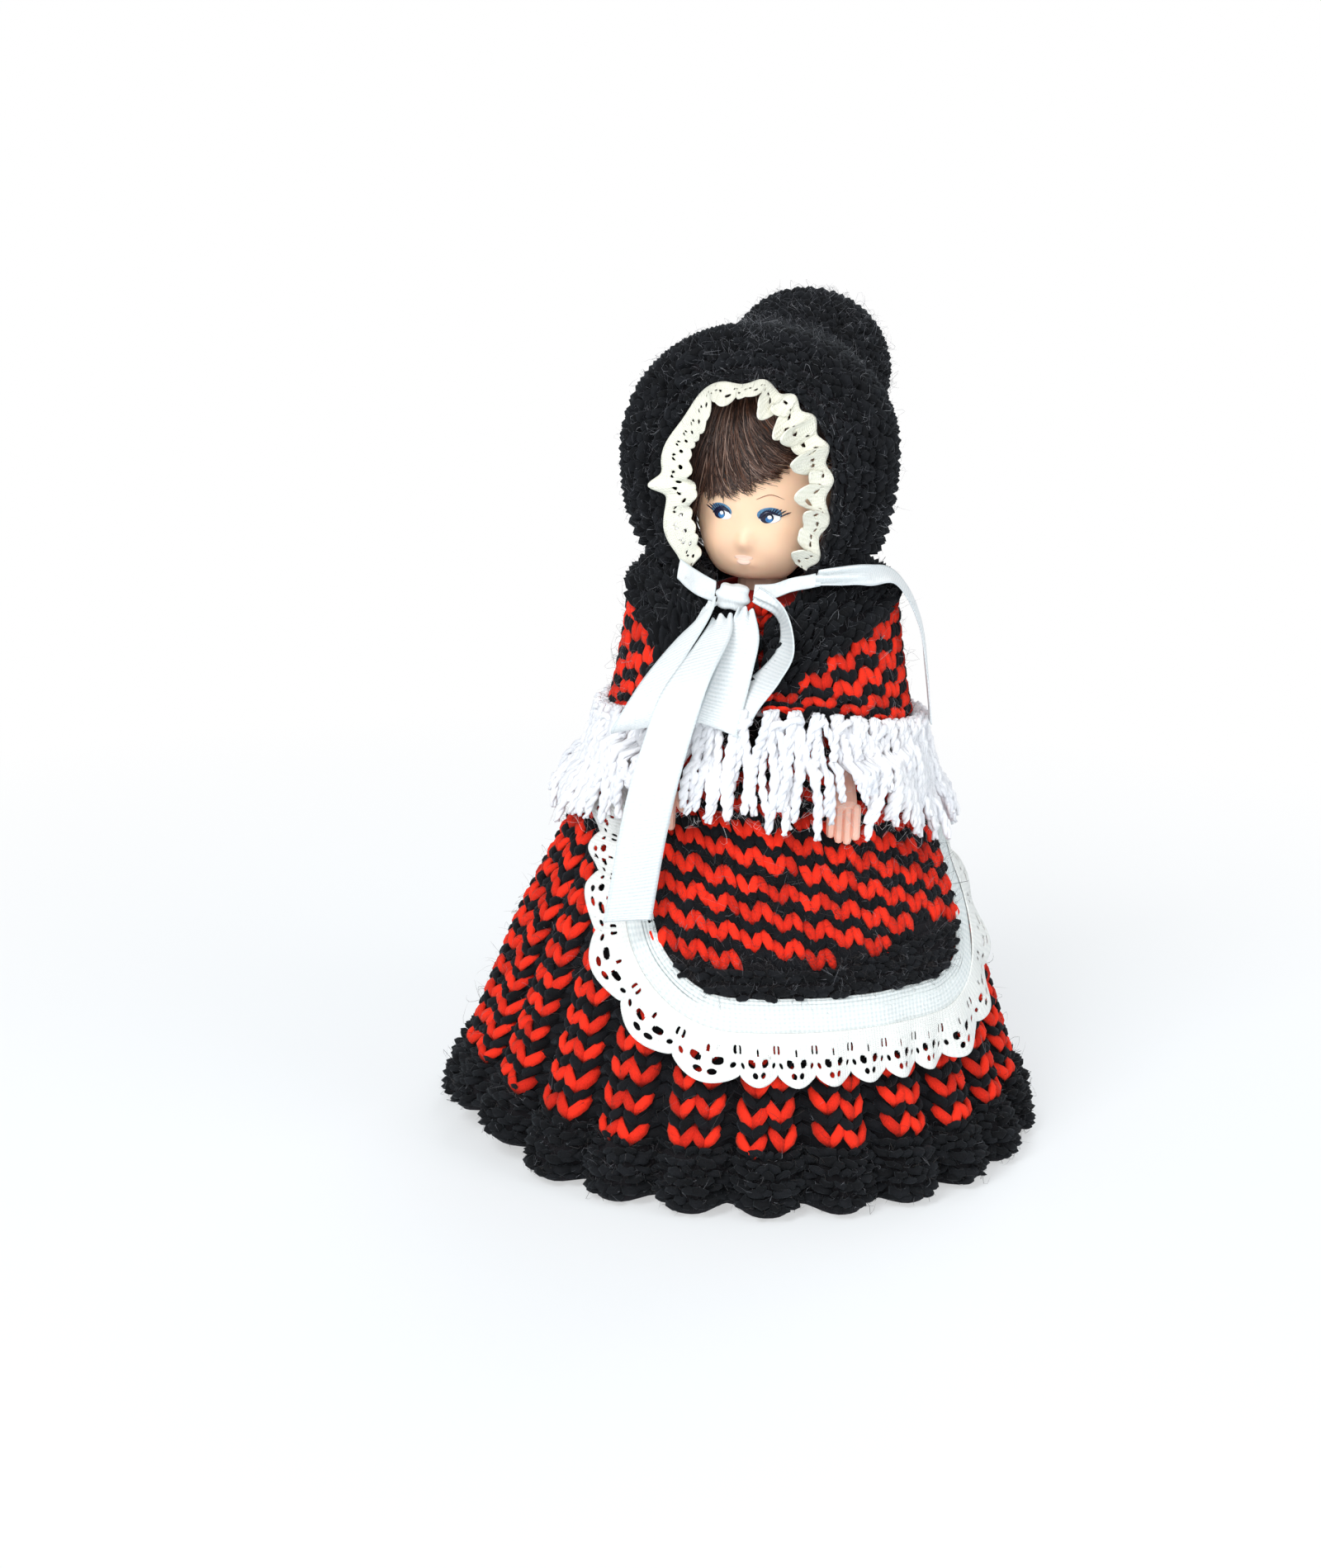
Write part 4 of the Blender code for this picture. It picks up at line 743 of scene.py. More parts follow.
# The bluish grey dark tone shows where the rib and edge shade is painted, and in random grain.
SATIN = SatinFinish("ribbed_satin", (0.66, 0.72, 0.74), (0.84, 0.87, 0.88))
FILLING = ClothFinish("toy_filling", (0.7, 0.7, 0.68), (0.9, 0.9, 0.88), (40, 40), 0.8)


EYE_SHADOW = PaintFinish("eyelid_paint", (0.03, 0.13, 0.30), (0.16, 0.36, 0.50))
EYE_WHITE = PaintFinish("eye_white_paint", (0.85, 0.88, 0.92), (0.92, 0.93, 0.94), 0.2)
EYE_BLUE = PaintFinish("eye_blue_paint", (0.02, 0.12, 0.38), (0.06, 0.30, 0.62), 0.2)
EYE_DARK = PaintFinish("eye_dark_paint", (0.006, 0.007, 0.03), (0.012, 0.014, 0.05), 0.25)
BROW = PaintFinish("brow_paint", (0.30, 0.14, 0.08), (0.42, 0.22, 0.13), 0.4)
LIP = PaintFinish("lip_paint", (0.98, 0.68, 0.56), (0.99, 0.74, 0.62), 0.35)
LIP_LINE = PaintFinish("lip_line_paint", (0.86, 0.46, 0.36), (0.90, 0.54, 0.42), 0.35)


class Dresser:
    """Gives finished pieces their material and body."""

    def __init__(self) -> None:
        self.materials: dict[str, bpy.types.Material] = {}

    def material(self, finish: object) -> bpy.types.Material:
        """The one material of a finish."""
        if finish.name not in self.materials:
            self.materials[finish.name] = finish.build()
        return self.materials[finish.name]

    def wear(self, obj: bpy.types.Object, finish: object, body: Body | None) -> bpy.types.Object:
        """Dresses a piece and lets it ride.

        Args:
            obj: The piece.
            finish: What it is made of.
            body: The body that it rides on, or None to leave it unattached.

        Returns:
            The same piece.
        """
        obj.data.materials.clear()
        obj.data.materials.append(self.material(finish))
        if body is not None:
            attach(obj, body.value)
        LOG.info("%s: %d faces", obj.name, len(obj.data.polygons))
        return obj


def declare(
    obj: bpy.types.Object,
    flat: tuple[float, float],
    area: float | None = None,
) -> None:
    """Reports a sheet of cloth's area against its flat one.

    Args:
        obj: The sheet, already thickened.
        flat: Its cut width and length.
        area: Its flat area where the cut is not a rectangle.
    """
    real = sum(face.area for face in obj.data.polygons) / 2
    whole = area or flat[0] * flat[1]
    LOG.info("%s: area %.5f, flat %.5f, share %.2f", obj.name, real, whole, real / whole)


# Yarn shapes


class YarnPatterns:
    """The yarn shapes that all knitting repeats, each modelled once."""

    def __init__(self) -> None:
        route = (
            (0.02, -0.32, -0.40),
            (0.06, -0.06, 0.40),
            (0.17, 0.20, 0.88),
            (0.33, 0.50, 0.88),
            (0.46, 0.80, 0.40),
            (0.51, 1.04, -0.35),
        )
        self.leg = self.along(tube_pattern(6, 6), route, (0.05, 0.185, 0.245, 0.245, 0.185, 0.05), 0.74)
        self.slim_leg = self.along(tube_pattern(6, 6), route, (0.05, 0.155, 0.205, 0.205, 0.155, 0.05), 0.86)
        self.purl = self.along(
            tube_pattern(6, 5),
            (
                (-0.50, -0.30, -0.40),
                (-0.32, 0.06, 0.60),
                (0.0, 0.22, 0.86),
                (0.32, 0.06, 0.60),
                (0.50, -0.30, -0.40),
            ),
            (0.16, 0.27, 0.31, 0.27, 0.16),
            0.85,
        )

    @staticmethod
    def along(
        tube: Shape, route: Sequence[Sequence[float]], widths: Sequence[float], fullness: float
    ) -> Shape:
        """Bends and swells the tube along a short route in a stitch's cell.

        Args:
            tube: The tube pattern, with as many rings as the route has points.
            route: Across, up and out, in shares of the stitch's width, row height and thickness.
            widths: The half-width at each point, as a share of the stitch's width.
            fullness: How far it stands out for its width.

        Returns:
            The yarn shape in its cell.
        """
        points = np.array(route)
        ring = np.rint(tube.points[:, 2] * (len(points) - 1)).astype(int)
        flat = points[:, :2] * (1, 0.68)
        along = unit(np.gradient(flat, axis=0))
        aside = np.stack([along[:, 1], -along[:, 0]], axis=-1)
        width = np.array(widths)[ring]
        x = flat[ring, 0] + aside[ring, 0] * width * tube.points[:, 0]
        y = (flat[ring, 1] + aside[ring, 1] * width * tube.points[:, 0]) / 0.68
        z = points[ring, 2] + tube.points[:, 1] * width * fullness / 0.245
        shape = Shape(np.stack([x, y, z], axis=-1), tube.faces, tube.uv)
        return outward(shape)


def outward(shape: Shape) -> Shape:
    """The shape with its faces pointing out, by the sign of its volume."""
    total = 0.0
    for block in shape.faces:
        corners = shape.points[block]
        for last in range(2, block.shape[1]):
            total += np.einsum(
                "ij,ij->i", corners[:, 0], np.cross(corners[:, last - 1], corners[:, last])
            ).sum()
    if total < 0:
        return Shape(shape.points, [block[:, ::-1] for block in shape.faces], shape.uv)
    return shape


class Knitter:
    """Lays stitches and loose fibres over faces of cloth."""

    def __init__(self) -> None:
        self.patterns = YarnPatterns()
        self.random = np.random.default_rng(SEED)

    def cells(self, corners: Array, across: Array, up: Array, ease: float = 0.05) -> Cells:
        """Cells of even stitches, a little uneven as by hand.

        Args:
            corners: Bottom middle of each stitch, in the face's coordinates.
            across: The stitch's width, as a step in those coordinates.
            up: The row's height, as a step in those coordinates.
            ease: How uneven the stitches are, as a share of their size.

        Returns:
            One cell for each stitch.
        """
        count = len(corners)
        across = np.broadcast_to(across, (count, 2))
        up = np.broadcast_to(up, (count, 2))
        slip = self.random.normal(0, ease, (count, 2))
        swell = 1 + self.random.normal(0, ease, (count, 1))
        tilt = self.random.normal(0, ease * 1.4, (count, 1))
        moved = corners + slip[:, :1] * across + slip[:, 1:] * up
        return Cells(
            moved, across * swell + up * tilt, up * swell, np.zeros(count, bool), self.random.random(count)
        )

    def vees(self, name: str, cells: Cells, place: Place, thickness: float) -> bpy.types.Object:
        """Both legs of each plain stitch, as one piece."""
        other = Cells(cells.corner, cells.across, cells.up, ~cells.mirrored, (cells.tone + 0.37) % 1)
        return object_of(name, laid(self.patterns.slim_leg, cells.joined(other), place, thickness))

    def zigzag(
        self, name: str, cells: Cells, place: Place, thickness: float, falling: bool
    ) -> bpy.types.Object:
        """A V and the leg that leads on to the next row step, in each cell, as one piece.

        Args:
            name: The piece's name.
            cells: One cell for each step, from its left edge.
            place: The face.
            thickness: How far the yarn stands out.
            falling: True where the rows sink from left to right.

        Returns:
            The yarn as one piece.
        """
        middle, lead = (0.32, 0.96) if falling else (0.68, 0.04)
        across = cells.across * 0.62

        def legs(at: float, mirrored: bool) -> Cells:
            """One leg of each stitch, this far along its cell."""
            tone = (cells.tone + 0.37 * at) % 1
            return Cells(
                cells.corner + cells.across * at, across, cells.up, np.full(len(cells.tone), mirrored), tone
            )

        parts = legs(middle, False).joined(legs(middle, True)).joined(legs(lead, falling))
        return object_of(name, laid(self.patterns.leg, parts, place, thickness))

    def purls(self, name: str, cells: Cells, place: Place, thickness: float) -> bpy.types.Object:
        """The bumps of garter stitch, as one piece."""
        return object_of(name, laid(self.patterns.purl, cells, place, thickness))

    def fuzz(
        self,
        name: str,
        spots: Array,
        place: Place,
        length: float,
        lift: float,
        thickness: float,
        steps: int = 6,
    ) -> bpy.types.Object:
        """Loose fibres that curl off a face.

        Args:
            name: The piece's name.
            spots: Where each fibre starts, in the face's coordinates.
            place: The face.
            length: The usual length of a fibre.
            lift: How far the fibres start off the face.
            thickness: The radius of a fibre.
            steps: Points along each fibre.

        Returns:
            All fibres as one piece.
        """
        count = len(spots)
        u, v = spots.T
        start = lifted(place, u, v, lift * self.random.random(count))
        out = unit(lifted(place, u, v, np.full(count, 0.001)) - place(u, v))
        heading = unit(self.random.normal(size=(count, 3)) + out * 0.35)
        curl = self.random.normal(size=(count, 3))
        reach = length * (0.35 + np.minimum(self.random.gamma(2.0, 0.35, count), 1.3))
        t = np.linspace(0, 1, steps)[None, :, None]
        paths = start[:, None] + reach[:, None, None] * (
            heading[:, None] * np.sin(t * 1.9) * 0.7
            + curl[:, None] * 0.30 * np.sin(t * 4.4)
            + out[:, None] * 0.12 * t
        )
        depth = np.einsum("nsk,nk->ns", paths - start[:, None], out)
        paths += out[:, None] * np.maximum(-depth, 0)[..., None]
        taper = thickness * (1.05 - np.linspace(0, 1, steps) ** 2)[None] * (
            0.6 + 0.8 * self.random.random((count, 1))
        )
        reference = unit(np.cross(heading, curl))
        return object_of(name, swept(paths, taper, 3, reference, self.random.random(count)))


KNITTER = Knitter()
DRESSER = Dresser()


# Skirt


@dataclass
class SkirtForm:
    """The skirt's cone, pleats and slope, shared by all that lies on it."""

    hem_height: float = 0.0130
    hem_radius: float = 0.0622
    hem_top_radius: float = 0.0584
    waist_height: float = 0.0910
    pleats: int = 24
    pleat_phase: float = math.radians(6.5)
    pleat_depth: float = 0.0025
    slope_span: float = 0.0045
    shares: tuple = (
        (0.0, 1.0, 1.0),
        (0.35, 0.842, 1.0),
        (0.655, 0.660, 1.0),
        (0.785, 0.570, 0.98),
        (0.895, 0.370, 0.88),
        (1.0, 0.253, 0.78),
    )

    def __post_init__(self) -> None:
        rise = self.waist_height - self.hem_height
        rows = [(0.0, self.hem_radius, 1.0)]
        rows += [(self.hem_height + z * rise, self.hem_top_radius * r, d) for z, r, d in self.shares]
        self.table = np.array(rows)
        self.heights = np.linspace(0, self.waist_height, 400)
        radii = self.radius(self.heights)
        steps = np.hypot(np.diff(self.heights), np.diff(radii))
        self.lengths = np.concatenate([[0], np.cumsum(steps)])

    def radius(self, height: Array) -> Array:
        """Mean radius of the outer face at a height."""
        near = [
            np.interp(height + step, self.table[:, 0], self.table[:, 1]) for step in (-0.004, 0, 0, 0.004)
        ]
        return sum(near) / len(near)

    def depth_share(self, height: Array) -> Array:
        """How deep the skirt is for its width at a height."""
        return np.interp(height, self.table[:, 0], self.table[:, 2])

    def lean(self, height: Array) -> Array:
        """How much further apart layers lie level than square to the slope."""
        above = self.radius(height + self.slope_span)
        below = self.radius(np.maximum(height - self.slope_span, 0))
        return np.hypot(1, (below - above) / (2 * self.slope_span))

    def depth(self, height: Array) -> Array:
        """Half the height of a pleat."""
        return self.pleat_depth * (self.radius(height) / self.hem_radius) ** 2

    def height_at(self, length: Array) -> Array:
        """The height that lies this far up the slope from the floor."""
        return np.interp(length, self.lengths, self.heights)

    def length_at(self, height: Array) -> Array:
        """How far up the slope a height lies."""
        return np.interp(height, self.heights, self.lengths)

    def plain(self, angle: Array, height: Array, out: Array | float = 0) -> Array:
        """A point outside the mean face by this much, square to its slope."""
        place = on_circle(self.radius(height) + out * self.lean(height), angle, height)
        place[..., 1] *= self.depth_share(height)
        return place

    def pleated(self, angle: Array, height: Array, out: Array | float = 0) -> Array:
        """A point on the pleats."""
        phase = self.pleats * (angle - self.pleat_phase)
        wave = (4 * np.cos(phase) - np.cos(2 * phase)) / 4
        return self.plain(angle, height, out + self.depth(height) * wave / self.lean(height))


@dataclass
class Skirt:
    """The knitted skirt: zigzag rows in pleats, and a ruffled band in garter stitch round its hem."""

    form: SkirtForm
    columns: int = 72
    row_height: float = 0.00300
    top_height: float = 0.0835
    yarn: float = 0.0011
    band_top: float = 0.0127
    ruffle: float = 0.0006
    cloth: float = 0.0012
    band_columns: int = 168
    scallop: float = 0.0004
    tuck: float = 0.0052
    tuck_angle: float = math.radians(-61)
    tuck_spread: float = math.radians(15)
    tuck_height: float = 0.050

    def tucked(self, place: Array, angle: Array) -> Array:
        """The place lifted where the hem is turned up at the doll's right."""
        away = (angle - self.tuck_angle + HALF_TURN) % FULL_TURN - HALF_TURN
        rise = self.tuck * bump(away, self.tuck_spread) * smooth(1 - place[..., 2] / self.tuck_height)
        return place + rise[..., None] * (0, 0, 1)

    def face(self, angle: Array, length: Array) -> Array:
        """The skirt's outer face by angle and distance up the slope."""
        return self.tucked(self.form.pleated(angle, self.form.height_at(length), -self.yarn * 0.9), angle)

    def band_face(self, angle: Array, height: Array) -> Array:
        """The hem band's outer face by angle and height."""
        share = height / self.band_top
        wave = np.cos(self.form.pleats * (angle - self.form.pleat_phase))
        puff = 0.0017 * np.sin(np.clip(share, 0, 1) * HALF_TURN)
        place = self.form.pleated(angle, height, (1 - share) * self.ruffle * wave + puff - 0.0016)
        place[..., 2] += self.scallop * np.maximum(1 - share, 0) * (1 - wave) / 2
        return self.tucked(place, angle)

    def build(self) -> None:
        """Makes the skirt's pieces."""
        form = self.form
        low = float(form.length_at(np.array(self.band_top)))
        high = float(form.length_at(np.array(form.waist_height)))

        def ground(u: Array, v: Array) -> Array:
            """The face, over the unit square."""
            return self.face(u * FULL_TURN, low + (high - low) * v)

        sheet = object_of("skirt_cloth", grid_shape(ground, 24 * 12, 34, closed=True))
        applied(sheet, "SOLIDIFY", thickness=self.cloth, offset=-1)
        DRESSER.wear(sheet, GROUND_YARN, Body.TORSO)
        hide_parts("skirt")
        step = FULL_TURN / self.columns
        rows = int((float(form.length_at(np.array(self.top_height))) - low) / self.row_height)
        row, column = np.meshgrid(np.arange(rows), np.arange(self.columns), indexing="ij")
        row, column = row.ravel(), column.ravel()
        slip = KNITTER.random.normal(0, 0.00055, form.pleats)[column // 3]
        tilt = KNITTER.random.normal(0, 0.0005, form.pleats)[column // 3] * (column % 3 - 0.5)
        corners = np.stack(
            [
                form.pleat_phase + (column - 0.5) * step, low + (row + 0.42) * self.row_height + slip + tilt
            ], axis=-1
        )
        cells = KNITTER.cells(corners, (step * 1.02, 0), (0, self.row_height), 0.07)
        # The pleats' valley columns get no red rows, only black purl bumps: painted shade deep in each fold.
        shaded_valley = column % 3 == 2
        red = (row % 2 == 0) & ~shaded_valley
        for name, kept, finish in (
            ("skirt_red_rows", red, RED_YARN), ("skirt_black_rows", ~red & ~shaded_valley, BLACK_YARN)
        ):
            grown = cells.only(kept).taller(1.44 if finish is RED_YARN else 1.04)
            obj = KNITTER.vees(name, grown, self.face, self.yarn)
            DRESSER.wear(obj, finish, Body.TORSO)
        obj = KNITTER.purls("skirt_valley_stitches", cells.only(shaded_valley), self.face, self.yarn)
        DRESSER.wear(obj, BLACK_YARN, Body.TORSO)
        self.fuzz(low, high)
        declare(
            sheet,
            flat=(0.385, 0.092),
            area=0.0245,
        )
        self.build_band()

    def fuzz(self, low: float, high: float) -> bpy.types.Object:
        """Dark fibres over the zigzag rows."""
        count = 2600
        spots = np.stack(
            [
                KNITTER.random.random(count) * FULL_TURN,
                low + (high - low) * 0.8 * KNITTER.random.random(count),
            ], axis=-1
        )
        made = KNITTER.fuzz("skirt_fibres", spots, self.face, 0.0030, 0.0018, 0.000028)
        return DRESSER.wear(made, DARK_FIBRES, Body.TORSO)

    def build_band(self) -> None:
        """Makes the hem band's pieces."""

        def ground(u: Array, v: Array) -> Array:
            """The face, over the unit square."""
            return self.band_face(u * FULL_TURN, self.band_top * (0.02 + 0.98 * v))

        sheet = object_of("hem_band_cloth", grid_shape(ground, 24 * 12, 6, closed=True))
        applied(sheet, "SOLIDIFY", thickness=0.0018, offset=-1)
        DRESSER.wear(sheet, GROUND_YARN, Body.TORSO)
        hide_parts("skirt_hem_band")
        step = FULL_TURN / self.band_columns
        rows = 7
        rise = (self.band_top - 0.0014) / rows
        row, column = np.meshgrid(np.arange(rows), np.arange(self.band_columns), indexing="ij")
        shift = (row % 2) * 0.5
        corners = np.stack([(column + shift).ravel() * step, 0.0021 + row.ravel() * rise], axis=-1)
        flip = np.where(row.ravel() % 2, -1.0, 1.0)[:, None]
        cells = KNITTER.cells(corners, (step, 0), flip * (0, rise * 0.95), 0.18)
        cells.mirrored = flip[:, 0] < 0
        bumps = DRESSER.wear(
            KNITTER.purls(
                "hem_band_stitches", cells, self.band_face, 0.0014
            ), BLACK_GARTER, Body.TORSO
        )
        count = 6600
        spots = np.stack(
            [
                KNITTER.random.random(count) * FULL_TURN,
                0.0015 + (self.band_top - 0.0015) * KNITTER.random.random(count),
            ],
            axis=-1,
        )
        made = KNITTER.fuzz("hem_band_fibres", spots, self.band_face, 0.0017, 0.0019, 0.000034, 4)
        clip_to_floor(made, 0.0003)
        fibres = DRESSER.wear(made, DARK_FIBRES, Body.TORSO)
        declare(
            sheet, flat=(0.44, 0.0135)
        )


def clip_to_floor(obj: bpy.types.Object, height: float) -> None:
    """Keeps a piece's corners from going under the floor."""
    co = np.zeros(len(obj.data.vertices) * 3, np.float32)
    obj.data.vertices.foreach_get("co", co)
    co = co.reshape(-1, 3)
    co[:, 2] = np.maximum(co[:, 2], height)
    obj.data.vertices.foreach_set("co", co.ravel())
    obj.data.update()


# Apron


@dataclass(frozen=True)
class Hole:
    """One hole of a lace repeat: its middle and half-sizes as shares of the repeat, and how square it is."""

    along: float
    out: float
    half_along: float
    half_out: float
    power: float = 2.0


def lace_shape(
    place: Place, repeats: int, steps: int, rows: int, holes: Sequence[Hole], shown: Array | None = None
) -> Shape:
    """A sheet of lace with its holes cut out.

    Args:
        place: The lace's face, along it and out from its sewn edge, both 0 to 1.
        repeats: How often its pattern comes.
        steps: Faces along each repeat.
        rows: Faces out from the sewn edge.
        holes: The holes of one repeat.
        shown: Which repeats have holes, or all of them.

    Returns:
        The lace as one sheet.
    """
    columns = repeats * steps
    u, v = np.meshgrid(np.arange(columns + 1) / columns, np.linspace(0, 1, rows + 1))
    open_faces = np.zeros((rows, columns), bool)
    mid_u = (np.arange(columns) + 0.5) / columns
    mid_v = (np.arange(rows) + 0.5) / rows
    face_u, face_v = np.meshgrid(mid_u, mid_v)
    pierced = np.ones(repeats, bool) if shown is None else shown
    for hole in holes:
        for grid_u, grid_v, faces in ((face_u, face_v, True), (u, v, False)):
            repeat = np.minimum((grid_u * repeats).astype(int), repeats - 1)
            dx = (grid_u * repeats - repeat - hole.along) / hole.half_along
            dy = (grid_v - hole.out) / hole.half_out
            norm = (np.abs(dx) ** hole.power + np.abs(dy) ** hole.power) ** (1 / hole.power)
            if faces:
                open_faces |= (norm < 1) & pierced[repeat]
                continue
            near = (np.abs(norm - 1) < 0.42) & pierced[repeat] & (norm > 0.3)
            pull = np.where(near, 1 / np.maximum(norm, 0.3), 1.0)
            u = np.where(near, (repeat + hole.along + dx * pull * hole.half_along) / repeats, u)
            v = np.where(near, hole.out + dy * pull * hole.half_out, v)
    points = place(u.ravel(), v.ravel())
    index = np.arange((columns + 1) * (rows + 1)).reshape(rows + 1, columns + 1)
    faces = np.stack([index[:-1, :-1], index[:-1, 1:], index[1:, 1:], index[1:, :-1]], axis=-1)[~open_faces]
    used, faces = np.unique(faces, return_inverse=True)
    uv = np.stack([u.ravel(), v.ravel()], axis=-1)
    return Shape(points[used], [faces.reshape(-1, 4)], uv[used])


@dataclass
class ApronForm:
    """Where the apron lies on the skirt, and its outline."""

    dress: SkirtForm
    centre: float = math.radians(23.5)
    half_width: float = 0.0373
    gather_radius: float = 0.0235
    gather_half_width: float = 0.0415
    top: float = 0.0895
    bottom: float = 0.0422
    corner: float = 0.0160
    gather_bottom: float = 0.0640
    gather_rise: float = 0.0012
    gap: float = 0.0003

    def lift(self, height: Array) -> Array:
        """How far the gathers hold the apron off the skirt near the waist."""
        return self.gather_rise * smooth((height - self.gather_bottom) / (self.top - self.gather_bottom))

    def point(self, across: Array, height: Array, out: Array | float = 0) -> Array:
        """A point of the apron: across from its middle line, and out from the pleats."""
        reach = self.gather_half_width / np.hypot(self.dress.radius(height), self.gather_radius)
        angle = self.centre + across / self.half_width * reach
        return self.dress.plain(angle, height, self.dress.depth(height) + self.gap + self.lift(height) + out)

    def width_at(self, height: Array) -> Array:
        """Half the panel's width at a height."""
        drop = np.clip(self.corner - (height - self.bottom), 0, self.corner)
        return self.half_width - self.corner + np.sqrt(self.corner**2 - drop**2)

    def outline(self, share: Array, outward: Array | float) -> tuple[Array, Array]:
        """Across and height along the apron's edge, down one side and up the other, this far outside it."""
        radius = self.corner + outward
        side = self.top - self.bottom - self.corner
        flat = 2 * (self.half_width - self.corner)
        arc = self.corner * HALF_TURN / 2
        along = share * (2 * side + 2 * arc + flat)
        edge = self.half_width + outward + 0 * along
        turn = self.bottom + self.corner
        first = (along - side) / self.corner
        second = (along - side - arc - flat) / self.corner
        where = [
            along <= side, along <= side + arc, along <= side + arc + flat, along <= side + 2 * arc + flat
        ]
        across = np.select(
            where,
            [
                -edge,
                -flat / 2 - radius * np.cos(first),
                -flat / 2 + along - side - arc,
                flat / 2 + radius * np.sin(second),
            ],
            edge,
        )
        height = np.select(
            where,
            [
                self.top - along,
                turn - radius * np.sin(first),
                self.bottom - outward + 0 * along,
                turn - radius * np.cos(second),
            ],
            turn + along - side - 2 * arc - flat,
        )
        return across, height


